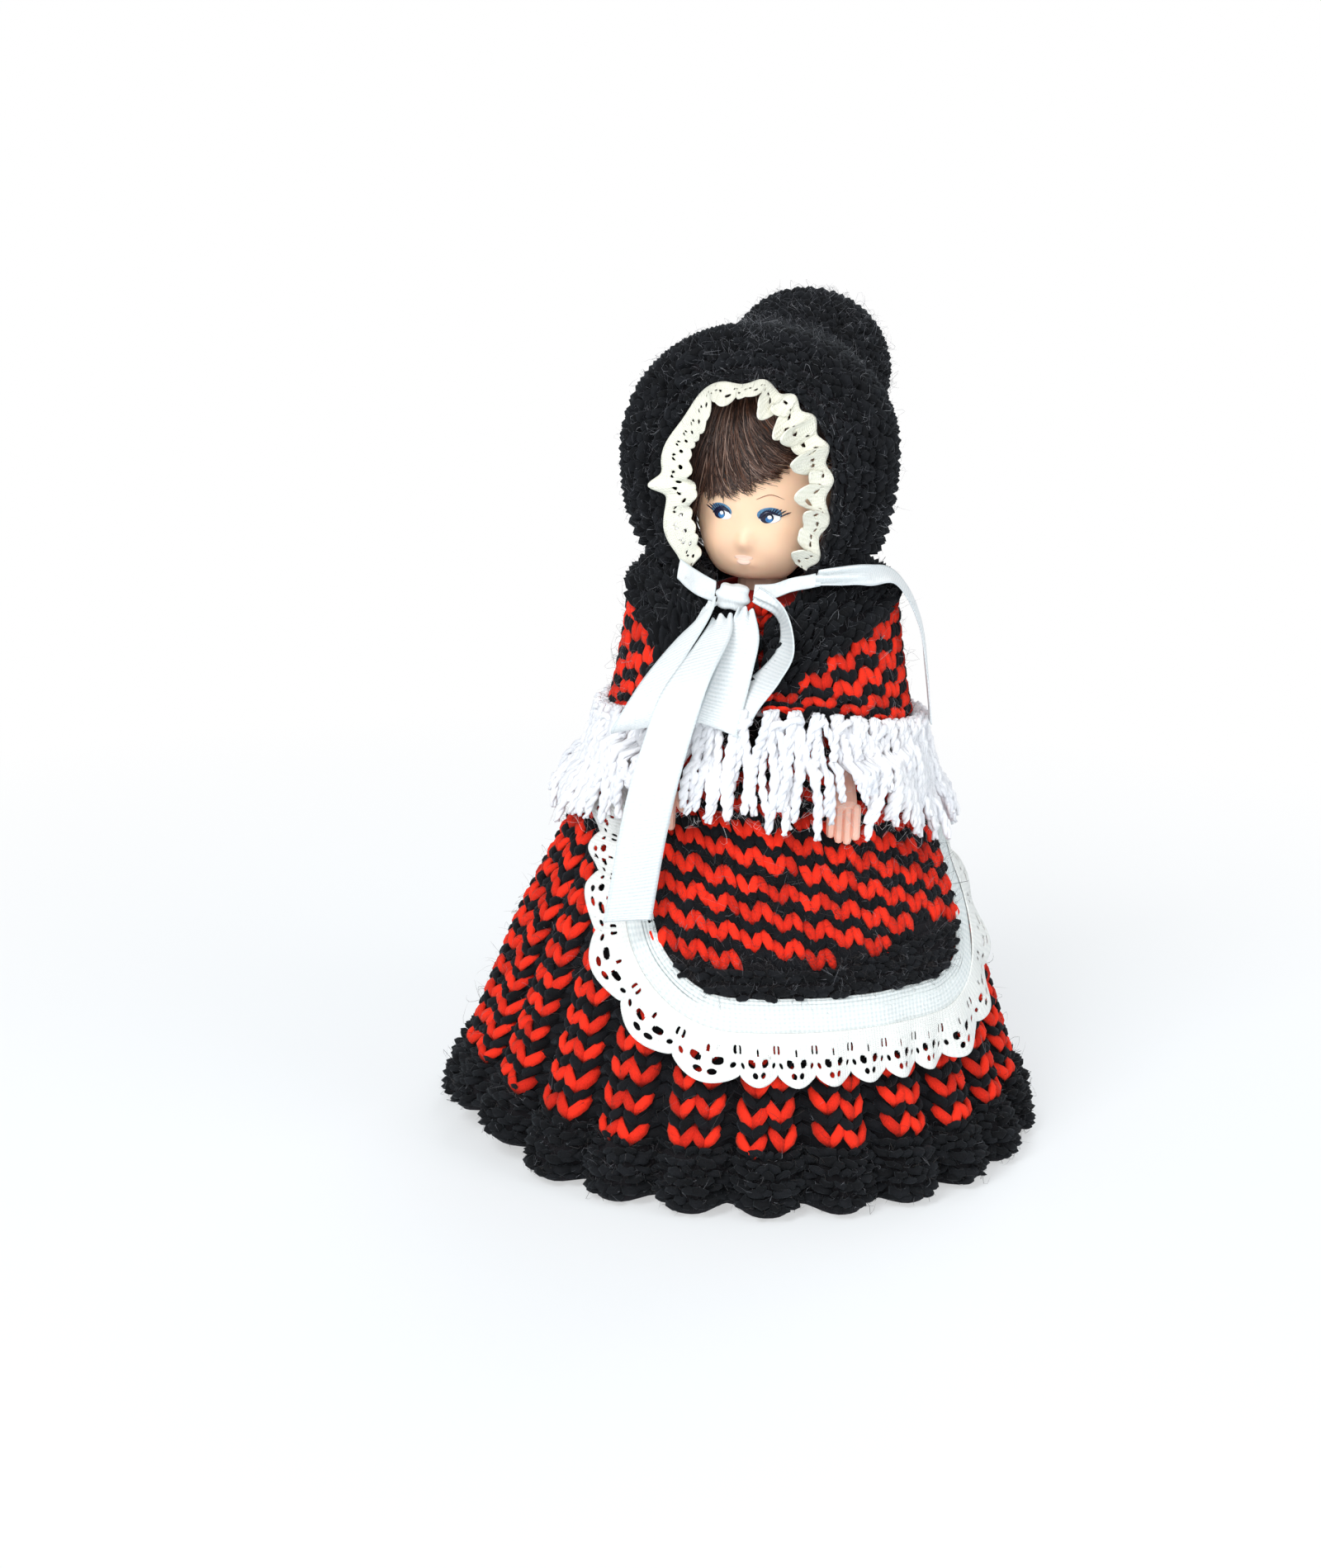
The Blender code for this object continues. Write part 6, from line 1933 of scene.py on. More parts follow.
@dataclass
class Head:
    """The vinyl head with its painted features and rooted hair."""

    form: HeadForm
    eye_height: float = 0.1341
    eye_sides: tuple[float, float] = (-0.0053, 0.0049)
    mouth_height: float = 0.1250

    def build(self) -> None:
        """Makes the head, its paint and its hair."""
        form = self.form

        def skin(u: Array, v: Array) -> Array:
            """The scalp's face, over the unit square."""
            spread = (u - 0.5) * FULL_TURN
            return form.place(spread - 0.45 * np.sin(spread), (v - 0.5) * HALF_TURN * 0.999)

        obj = object_of("head_skin", grid_shape(skin, 144, 110, closed=True))
        close_ends(obj)
        DRESSER.wear(obj, SKIN, Body.HEAD)
        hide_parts("head")
        for index, side in enumerate(self.eye_sides):
            self.eye("right" if index == 0 else "left", side)
        self.mouth()
        self.hair()

    def paint(self, name: str, outline: Array, finish: object, lift: float) -> bpy.types.Object:
        """A patch of paint with this outline of sides and heights on the face."""
        middle = outline.mean(axis=0)
        rings = np.linspace(0.02, 1, 7)[:, None, None]
        flat = middle + (outline - middle)[None] * rings
        rows, count, _ = flat.shape
        points = self.form.on_face(flat[..., 0].ravel(), flat[..., 1].ravel(), lift)
        index = np.arange(rows * count).reshape(rows, count)
        nxt = np.roll(index, -1, axis=1)
        faces = np.stack([index[:-1], nxt[:-1], nxt[1:], index[1:]], axis=-1).reshape(-1, 4)[:, ::-1]
        shape = Shape(points, [faces, index[:1]], np.zeros((len(points), 2)))
        obj = object_of(name, shape)
        applied(obj, "SOLIDIFY", thickness=lift * 0.8, offset=-1)
        return DRESSER.wear(obj, finish, Body.HEAD)

    @staticmethod
    def oval(side: float, height: float, wide: float, high: float, tilt: float = 0, top: float = 1) -> Array:
        """An oval outline, flattened above by the share in top."""
        turn = np.linspace(0, FULL_TURN, 28, endpoint=False)
        x = wide * np.cos(turn)
        y = high * np.sin(turn) * np.where(np.sin(turn) > 0, top, 1)
        c, s = math.cos(tilt), math.sin(tilt)
        return np.stack([side + c * x - s * y, height + s * x + c * y], axis=-1)

    def eye(self, name: str, side: float) -> None:
        """A painted eye with its iris, highlight, lids, lashes and brow."""
        high = self.eye_height
        out = 1 if side > 0 else -1
        tilt = 0.10 * out
        look = side - 0.0006
        self.paint(
            f"eye_lid_{name}",
            self.oval(side - 0.0001, high + 0.0007, 0.0024, 0.0015, tilt),
            EYE_SHADOW,
            0.00003,
        )
        self.paint(
            f"eye_white_{name}",
            self.oval(side + 0.0001, high - 0.0001, 0.0021, 0.00108, tilt, 0.9),
            EYE_WHITE,
            0.00006,
        )
        self.paint(f"eye_iris_{name}", self.oval(look, high, 0.00130, 0.00118), EYE_DARK, 0.00009)
        self.paint(
            f"eye_blue_{name}", self.oval(look + 0.00042, high - 0.00036, 0.00070, 0.00062), EYE_BLUE, 0.00012
        )
        self.paint(
            f"eye_glint_{name}",
            self.oval(look + 0.00052, high + 0.0001, 0.00042, 0.00042),
            EYE_WHITE,
            0.00015,
        )
        lid = ((side - 0.0021, high - 0.0001), (side - 0.0003, high + 0.0012), (side + 0.0020, high + 0.0004))
        strokes = [self.stroke(lid, 0.00034)]
        for share in np.linspace(-1, 1, 11):
            foot = (side + share * 0.0019, high + 0.0011 - 0.0009 * share * share)
            long = 0.0009 + 0.0013 * max(out * share, 0)
            tip = (
                foot[0] + out * long * (0.35 + 0.6 * max(out * share, 0)),
                foot[1] + long * (0.9 - 0.45 * max(out * share, 0)),
            )
            strokes.append(
                self.stroke((foot, ((foot[0] + tip[0]) / 2, (foot[1] + tip[1]) / 2 + 0.00008), tip), 0.00016)
            )
        self.lines(f"eye_lashes_{name}", strokes, EYE_DARK)
        brow = (
            (side - 0.0026, high + 0.0038), (side + 0.0002, high + 0.0049), (side + 0.0028, high + 0.0039)
        )
        self.lines(f"brow_{name}", [self.stroke(brow, 0.00010)], BROW)

    def stroke(self, route: Sequence[tuple[float, float]], width: float) -> tuple[Array, Array]:
        """Points and radii of a painted line through three places of the face."""
        table = np.array(route)
        flat = between(table, np.linspace(0, 1, 14))
        points = self.form.on_face(flat[:, 0], flat[:, 1], 0.00004)
        radii = width * np.interp(np.linspace(0, 1, 14), (0, 0.25, 0.7, 1), (0.55, 1, 0.9, 0.15))
        return points, radii

    def lines(self, name: str, strokes: Sequence[tuple[Array, Array]], finish: object) -> bpy.types.Object:
        """Painted lines as flattened tubes."""
        paths = np.stack([points for points, _ in strokes])
        radii = np.stack([radius for _, radius in strokes])
        shape = swept(
            paths,
            radii,
            6,
            np.tile(turned_with_head(np.array((0, -1.0, 0.02))), (len(paths), 1)),
            np.zeros(len(paths)),
        )
        return DRESSER.wear(object_of(name, shape), finish, Body.HEAD)

    def mouth(self) -> None:
        """The pale lips."""
        middle = self.mouth_height
        self.paint("lip_upper", self.oval(-0.0002, middle + 0.0004, 0.0020, 0.0005), LIP, 0.00005)
        self.paint("lip_lower", self.oval(-0.0002, middle - 0.0005, 0.0015, 0.0006), LIP, 0.00005)
        line = ((-0.0019, middle + 0.0001), (-0.0002, middle - 0.0001), (0.0015, middle + 0.0001))
        self.lines("lip_line", [self.stroke(line, 0.00005)], LIP_LINE)

    def hair(self) -> None:
        """The rooted hair: a scalp cap and strands that fan from the crown to the fringe."""
        form = self.form
        turns = np.radians((-180, -100, -75, -62, -40, -18, 0, 20, 45, 62, 88, 108, 180))
        heights = np.array(
            (
                0.1225,
                0.1225,
                0.1290,
                0.136,
                0.1385,
                0.1378,
                0.1400,
                0.1425,
                0.1475,
                0.148,
                0.1430,
                0.1225,
                0.1225,
            )
        )
        half_height = (form.crown - form.chin) / 2
        middle = (form.crown + form.chin) / 2

        def foot(turn: Array) -> Array:
            """Where the cap ends at an angle."""
            return np.arcsin((np.interp(turn, turns, heights) - middle) / half_height)

        def cap(u: Array, v: Array) -> Array:
            """The cap's face, over the unit square."""
            turn = (u - 0.5) * FULL_TURN
            start = foot(turn) + 0.10
            return form.place(turn, start + (HALF_TURN / 2 * 0.995 - start) * v, 0.0005)

        scalp = object_of("hair_cap", grid_shape(cap, 120, 30, closed=True))
        applied(scalp, "SOLIDIFY", thickness=0.0004, offset=-1)
        DRESSER.wear(scalp, SCALP, Body.HEAD)
        random = KNITTER.random
        count, steps = 1900, 13
        turn = (random.random(count) - 0.5) * FULL_TURN
        front = random.random(count) < 0.55
        turn = np.where(front, (random.random(count) - 0.5) * np.radians(170), turn)
        t = np.linspace(0, 1, steps)[None]
        part = np.radians(-16) * (1 - smooth((turn - 0.4) / 0.6)) + 0.3 * turn * smooth((turn - 0.8) / 0.5)
        root_turn = np.where(np.abs(turn) < 1.6, part + 0.34 * turn, turn) + random.normal(0, 0.08, count)
        root_rise = np.where(np.abs(turn) < 1.6, 1.02, 1.25) + random.normal(0, 0.08, count)
        layer = random.random(count)
        lock = np.radians(7)
        gather = (np.floor(turn / lock) + 0.5) * lock + 0.02 * np.sin(np.floor(turn / lock) * 5.1)
        sweep = 0.50 * smooth((turn + 0.95) / 0.9) * smooth((1.25 - turn) / 0.7)
        end_turn = turn + (gather - turn) * 0.5 + sweep
        end_rise = foot(end_turn) + random.normal(0, 0.04, count) + 0.02 * np.sin(np.floor(turn / lock) * 2.3)
        bend = random.normal(0, 0.085, count)[:, None] * np.sin(t * HALF_TURN)
        path_turn = root_turn[:, None] + (end_turn - root_turn)[:, None] * t**1.9 + bend
        path_rise = root_rise[:, None] + (end_rise - root_rise)[:, None] * (1 - (1 - t) ** 1.7)
        full = smooth((np.abs(turn) - 0.95) / 0.4) * smooth((2.6 - np.abs(turn)) / 0.5) * layer
        lift = 0.0005 + 0.0011 * layer[:, None] * np.sin(np.clip(t * 1.15 + 0.12, 0, 1) * HALF_TURN) + 0.0002
        lift = lift + 0.0030 * full[:, None] * smooth(t * 1.4 - 0.3)
        thin = (end_turn > 0.78) & (end_turn < 1.25) & (random.random(count) < 0.72)
        path_turn, path_rise, lift = path_turn[~thin], path_rise[~thin], lift[~thin]
        count = int((~thin).sum())
        points = form.place(path_turn.ravel(), path_rise.ravel(), lift.ravel()).reshape(count, steps, 3)
        radii = 0.00011 * (0.6 + 0.8 * random.random((count, 1))) * np.interp(
            t[0], (0, 0.1, 0.8, 1), (0.8, 1, 1, 0.25)
        )[None]
        shape = swept(points, radii, 3, np.tile((1.0, 0.1, 0.0), (count, 1)), random.random(count))
        strands = DRESSER.wear(object_of("hair_strands", shape), HAIR_STRANDS, Body.HEAD)
        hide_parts("hair")


def close_ends(obj: bpy.types.Object) -> None:
    """Fills the open rings of a piece and turns its faces outwards."""
    select_only(obj)
    bpy.ops.object.mode_set(mode="EDIT")
    bpy.ops.mesh.select_all(action="SELECT")
    bpy.ops.mesh.fill_holes(sides=0)
    bpy.ops.mesh.select_all(action="SELECT")
    bpy.ops.mesh.normals_make_consistent(inside=False)
    bpy.ops.object.mode_set(mode="OBJECT")


# Hood


@dataclass
class Hood:
    """The garter-stitch brim and crown, the filling, and the gathered lace round the face."""

    reach: float = math.radians(146)
    back_reach: float = math.radians(158)
    front: float = 0.0155
    back: float = 0.0155
    side_shift: float = -0.0010
    half_width: float = 0.0275
    half_height: float = 0.0250
    centre: float = 0.1425
    rise: float = 0.0118
    tilt: float = math.radians(23)
    crown_radius: float = 0.0164
    crown_length: float = 0.0240
    crown_shift: float = 0.0007
    lace_width: float = 0.0056
    lace_half_width: float = 0.0172
    lace_half_heights: tuple[float, float] = (0.0190, 0.0240)
    lace_reach: float = math.radians(140)
    lace_end: float = math.radians(12)

    def __post_init__(self) -> None:
        self.table = np.array(
            (
                (0.0, 0.66, 0.0, 0.78, 0.95, 0.50),
                (0.06, 0.84, 0.06, 0.95, 0.95, 0.52),
                (0.20, 0.97, 0.17, 1.03, 0.96, 0.40),
                (0.41, 1.0, 0.30, 0.98, 0.95, 0.24),
                (0.63, 0.94, 0.50, 0.86, 0.93, 0.28),
                (0.84, 0.78, 0.74, 0.74, 0.85, 0.50),
                (1.0, 0.59, 1.0, 0.63, 0.63, 1.0),
            )
        )
        self.profile = np.array(
            (
                (0.96, 0.0),
                (0.985, 0.20),
                (1.0, 0.42),
                (0.98, 0.64),
                (0.86, 0.82),
                (0.64, 0.93),
                (0.34, 0.985),
                (0.0, 1.0),
            )
        )

    def brim(self, turn: Array, share: Array) -> Array:
        """The brim's outer face: turn -1 to 1 round its edge, share from the face to the crown."""
        back, wide, rise, upper, lower, roundness = between(self.table, share).T
        angle = turn * (self.reach + (self.back_reach - self.reach) * smooth(2 * share - 1))
        up = np.cos(angle)
        half_height = self.half_height * np.where(up > 0, upper, lower)
        across = np.abs(np.sin(angle))
        across = np.where(up < 0, np.maximum(across, 1e-9) ** roundness, across)
        swing = np.sign(np.sin(angle)) * self.half_width * wide * across
        side = self.side_shift * np.sin(share * HALF_TURN) + swing
        front = self.front - (
            self.front + self.back
        ) * back + half_height * up * math.tan(self.tilt) * share**2
        height = self.centre + self.rise * rise + half_height * up
        return turned_with_head(np.stack([side, -front, height], axis=-1))

    def knitted_brim(self, turn: Array, share: Array) -> Array:
        """The brim's face a little inside its outer one, for the stitches to stand on."""
        return lifted(self.brim, turn, np.clip(share, 0.0002, 0.9998), np.full(np.shape(turn), -0.0008))

    def crown(self, angle: Array, share: Array) -> Array:
        """The crown's outer face: angle round its axis, share from its mouth to the top of the dome."""
        radius, along = between(self.profile, share).T
        ring = on_circle(radius * (self.crown_radius - 0.0006), angle, along * (self.crown_length - 0.0006))
        turn = self.tilt - HALF_TURN / 2
        c, s = math.cos(turn), math.sin(turn)
        y = c * ring[..., 1] - s * ring[..., 2]
        z = s * ring[..., 1] + c * ring[..., 2]
        mouth = (self.crown_shift, self.back + 0.0006, self.centre + self.rise)
        return turned_with_head(np.stack([ring[..., 0] + mouth[0], y + mouth[1], z + mouth[2]], axis=-1))

    def build(self) -> None:
        """Makes the hood's pieces."""
        self.build_brim()
        self.build_crown()
        self.build_lace()

    def build_brim(self) -> None:
        """Makes the brim."""

        def ground(u: Array, v: Array) -> Array:
            """The face, over the unit square."""
            return self.knitted_brim(2 * u - 1, v)

        sheet = object_of("bonnet_brim_cloth", grid_shape(ground, 110, 40))
        applied(sheet, "SOLIDIFY", thickness=0.0020, offset=-1)
        DRESSER.wear(sheet, GROUND_YARN, Body.HEAD)
        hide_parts("bonnet_brim")
        columns, rows = 46, 21
        row, column = np.meshgrid(np.arange(rows), np.arange(columns), indexing="ij")
        wide = 2 / columns
        rise = 1 / rows
        corners = np.stack(
            [-1 + (column + 0.25 + (row % 2) * 0.5).ravel() * wide, (row.ravel() + 0.45) * rise], axis=-1
        )
        flip = np.where(row.ravel() % 2, -1.0, 1.0)[:, None]
        cells = KNITTER.cells(corners, (wide, 0), flip * (0, rise), 0.12)
        cells.mirrored = flip[:, 0] < 0
        bumps = KNITTER.purls("brim_stitches", cells, self.knitted_brim, 0.0015)
        DRESSER.wear(bumps, BLACK_GARTER, Body.HEAD)
        count = 5200
        aside = KNITTER.random.random(count) * 2 - 1
        spots = np.stack(
            [np.sign(aside) * np.abs(aside) ** 1.4, KNITTER.random.random(count) ** 1.1], axis=-1
        )
        fibres = KNITTER.fuzz("brim_fibres", spots, self.knitted_brim, 0.0021, 0.0018, 0.000026, 5)
        DRESSER.wear(fibres, HIGHLIGHT_FIBRES, Body.HEAD)
        declare(
            sheet,
            flat=(0.134, 0.040),
            area=0.0045,
        )

    def build_crown(self) -> None:
        """Makes the crown and what fills it."""

        def ground(u: Array, v: Array) -> Array:
            """The face, over the unit square."""
            return self.crown(u * FULL_TURN, v * 0.995)

        sheet = object_of("bonnet_crown_cloth", grid_shape(ground, 72, 36, closed=True))
        applied(sheet, "SOLIDIFY", thickness=0.0016, offset=-1)
        DRESSER.wear(sheet, GROUND_YARN, Body.HEAD)
        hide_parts("bonnet_crown")
        rows = 24
        parts = []
        for row in range(rows):
            share = (row + 0.4) / rows
            radius = float(
                np.interp(share * (len(self.profile) - 1), np.arange(len(self.profile)), self.profile[:, 0])
            )
            columns = max(int(round(42 * radius)), 6)
            step = FULL_TURN / columns
            corners = np.stack(
                [(np.arange(columns) + (row % 2) * 0.5) * step, np.full(columns, share)], axis=-1
            )
            flip = -1.0 if row % 2 else 1.0
            cells = KNITTER.cells(corners, (step, 0), (0, flip / rows), 0.12)
            cells.mirrored = np.full(columns, flip < 0)
            parts.append(cells)
        cells = parts[0]
        for part in parts[1:]:
            cells = cells.joined(part)
        bumps = KNITTER.purls("crown_stitches", cells, self.crown, 0.0012)
        DRESSER.wear(bumps, BLACK_GARTER, Body.HEAD)
        count = 4600
        spots = np.stack(
            [KNITTER.random.random(count) * FULL_TURN, KNITTER.random.random(count) ** 0.8 * 0.97], axis=-1
        )
        fibres = KNITTER.fuzz("crown_fibres", spots, self.crown, 0.0021, 0.0018, 0.000026, 5)
        DRESSER.wear(fibres, HIGHLIGHT_FIBRES, Body.HEAD)
        declare(
            sheet,
            flat=(0.096, 0.032),
            area=0.0026,
        )
        self.build_filling()

    def build_filling(self) -> None:
        """Makes the lump of filling inside the crown."""

        def lump(u: Array, v: Array) -> Array:
            """The filling's face, over the unit square."""
            share = 0.14 + 0.85 * v
            outer = self.crown(u * FULL_TURN, share)
            axis = self.crown(0 * u, 0 * u + 1.0)
            mouth = self.crown(0 * u, 0 * u)
            far = self.crown(0 * u + HALF_TURN, 0 * u)
            foot = (mouth + far) / 2
            centre = foot + (axis - foot) * 0.5
            swell = 0.80 + 0.03 * np.sin(u * FULL_TURN * 5 + v * 9) * np.sin(v * HALF_TURN)
            return centre + (outer - centre) * swell[:, None]

        obj = object_of("crown_filling", grid_shape(lump, 48, 24, closed=True))
        close_ends(obj)
        applied(obj, "SUBSURF", levels=1)
        DRESSER.wear(obj, FILLING, Body.HEAD)
        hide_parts("crown_stuffing")

    def build_lace(self) -> None:
        """Makes the gathered lace round the face."""
        holes = (Hole(0.5, 0.62, 0.14, 0.075), Hole(0.12, 0.42, 0.10, 0.06), Hole(0.88, 0.42, 0.10, 0.06))

        table = np.array(
            (
                (0.0, 0.0, 0.0054, 0.0008, 0.0008, 0.00),
                (0.10, 1.2, 0.0070, 0.0011, 0.0010, 0.02),
                (0.22, 2.9, 0.0070, 0.0014, 0.0010, 0.03),
                (0.34, 4.0, 0.0052, 0.0016, 0.0012, 0.04),
                (0.44, 4.9, 0.0032, 0.0020, 0.0012, 0.06),
                (0.50, 5.8, 0.0024, 0.0022, 0.0010, 0.04),
                (0.57, 7.0, 0.0028, 0.0026, 0.0017, 0.07),
                (0.66, 9.4, 0.0050, 0.0028, 0.0022, 0.09),
                (0.78, 12.4, 0.0038, 0.0024, 0.0018, 0.07),
                (0.90, 15.2, 0.0036, 0.0022, 0.0016, 0.07),
                (1.0, 17.5, 0.0030, 0.0018, 0.0010, 0.04),
            )
        )

        def lace(u: Array, v: Array) -> Array:
            """The lace's face, along it and out from its seam."""
            turns, inward, ahead, ruffle, sway = (np.interp(u, table[:, 0], column) for column in table.T[1:])
            phase = turns * FULL_TURN + 0.9 * np.sin(turns * 2.3 + 1)
            ruffle = ruffle * (0.75 + 0.45 * np.sin(turns * 2.6 + 2))
            wave = np.cos(phase)
            scallop = 1 - 0.10 * (1 - np.abs(np.sin(u * 30 * HALF_TURN)))
            v = v * scallop
            loose = bump(u - 0.180, 0.012) * (1 - v) ** 2
            inner = inward * v + 0.95 * ruffle * wave * v - 0.0034 * loose
            inner = inner + 0.0007 * np.sin(turns * 3.7) - 0.0004
            angle = (2 * u - 1) * np.where(u < 0.5, self.lace_reach + self.lace_end, self.lace_reach)
            up = np.cos(angle)
            half_height = np.where(up > 0, *self.lace_half_heights)
            angle = angle + sway * v * np.sin(phase)
            across = np.abs(np.sin(angle))
            across = np.where(up < 0, np.maximum(across, 1e-9) ** 0.5, across)
            front = self.front + 0.0009 + ahead * v + 1.5 * ruffle * (
                np.cos(phase + 0.7) * v + 1
            ) * v + 0.0014 * loose
            side = np.sign(np.sin(angle)) * (self.lace_half_width - inner) * across
            height = self.centre + (half_height - inner) * np.cos(angle)
            return turned_with_head(np.stack([side, -front, height], axis=-1))

        obj = object_of("bonnet_lace_cloth", lace_shape(lace, 30, 26, 16, holes))
        applied(obj, "SOLIDIFY", thickness=0.00028, offset=0)
        DRESSER.wear(obj, FACE_LACE, Body.HEAD)
        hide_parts("bonnet_lace")
        declare(obj, flat=(0.0100, 0.1300), area=0.00068)


# Ribbons


@dataclass(frozen=True)
class Ribbon:
    """One run of ribbon along a route from the knot."""

    name: str
    node: str
    reach: float
    route: tuple
    pleat: float = 1.0


@dataclass
class Bow:
    """The chin ribbons, the bow and its long ends."""

    width: float = 0.0100
    thickness: float = 0.00030
    knot: tuple[float, float, float] = (-0.0058, -0.0222, 0.1188)
    knot_half: tuple[float, float, float] = (0.0034, 0.0021, 0.0030)

    def build(self) -> None:
        """Makes every ribbon and the knot."""
        for ribbon in RIBBONS:
            self.strip(ribbon)
        self.build_knot()

    def strip(self, ribbon: Ribbon) -> None:
        """Makes one run of ribbon."""
        table = np.array(ribbon.route)
        knot = np.array(self.knot)

        def face(u: Array, v: Array) -> Array:
            """The ribbon's face, along it and across it."""
            row = between(table, u)
            centre = knot + row[:, :3] * (1, -1, 1) * ribbon.reach
            across = unit(row[:, 3:6] * (1, -1, 1))
            wide = row[:, 6]
            ahead = between(table, np.clip(u + 0.01, 0, 1))[:, :3] - between(
                table, np.clip(u - 0.01, 0, 1)
            )[:, :3]
            out = unit(np.cross(ahead * (1, -1, 1), across))
            fold = ribbon.pleat * smooth((0.62 - wide) / 0.3) * self.width * 0.10 * np.cos(
                v * FULL_TURN * 2 + 1
            )
            curl = 0.0004 * np.cos((v - 0.5) * HALF_TURN) * np.sin(u * 9 + 1)
            return centre + across * ((v - 0.5) * self.width * wide)[:, None] + out * (fold + curl)[:, None]

        steps = 16 * (len(table) - 1)
        obj = object_of(ribbon.name, grid_shape(face, steps, 16))
        area = self.area(obj)
        applied(obj, "SOLIDIFY", thickness=self.thickness, offset=0)
        DRESSER.wear(obj, SATIN, None)
        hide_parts(ribbon.node)
        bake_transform(obj)
        length = float(
            np.linalg.norm(np.diff(face(np.linspace(0, 1, 200), np.full(200, 0.5)), axis=0), axis=1).sum()
        )
        whole = max(self.width * length, area)
        declare(
            obj,
            flat=(self.width, whole / self.width),
            area=max(area, 0.31 * whole),
        )

    @staticmethod
    def area(obj: bpy.types.Object) -> float:
        """The area of a sheet's faces before it is thickened."""
        return float(sum(face.area for face in obj.data.polygons))

    def build_knot(self) -> None:
        """Makes the knot: a band of ribbon folded tightly round the others."""
        bpy.ops.object.select_all(action="DESELECT")
        bpy.ops.mesh.primitive_uv_sphere_add(segments=48, ring_count=32, radius=1, location=(0, 0, 0))
        obj = bpy.context.object
        obj.name = "bow_knot_folds"
        co = np.array([corner.co[:] for corner in obj.data.vertices])
        fold = 1 + 0.07 * np.cos(co[:, 2] * 9 + 2.0 * co[:, 0]) - 0.10 * bump(co[:, 0] + 0.1, 0.22)
        square = np.sign(co) * np.abs(co) ** 0.85
        co = square * fold[:, None] * np.array(self.knot_half) + np.array(self.knot)
        obj.data.vertices.foreach_set("co", co.astype(np.float32).ravel())
        obj.data.update()
        obj.data.shade_smooth()
        DRESSER.wear(obj, SATIN, Body.HEAD)
        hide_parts("bow_knot")


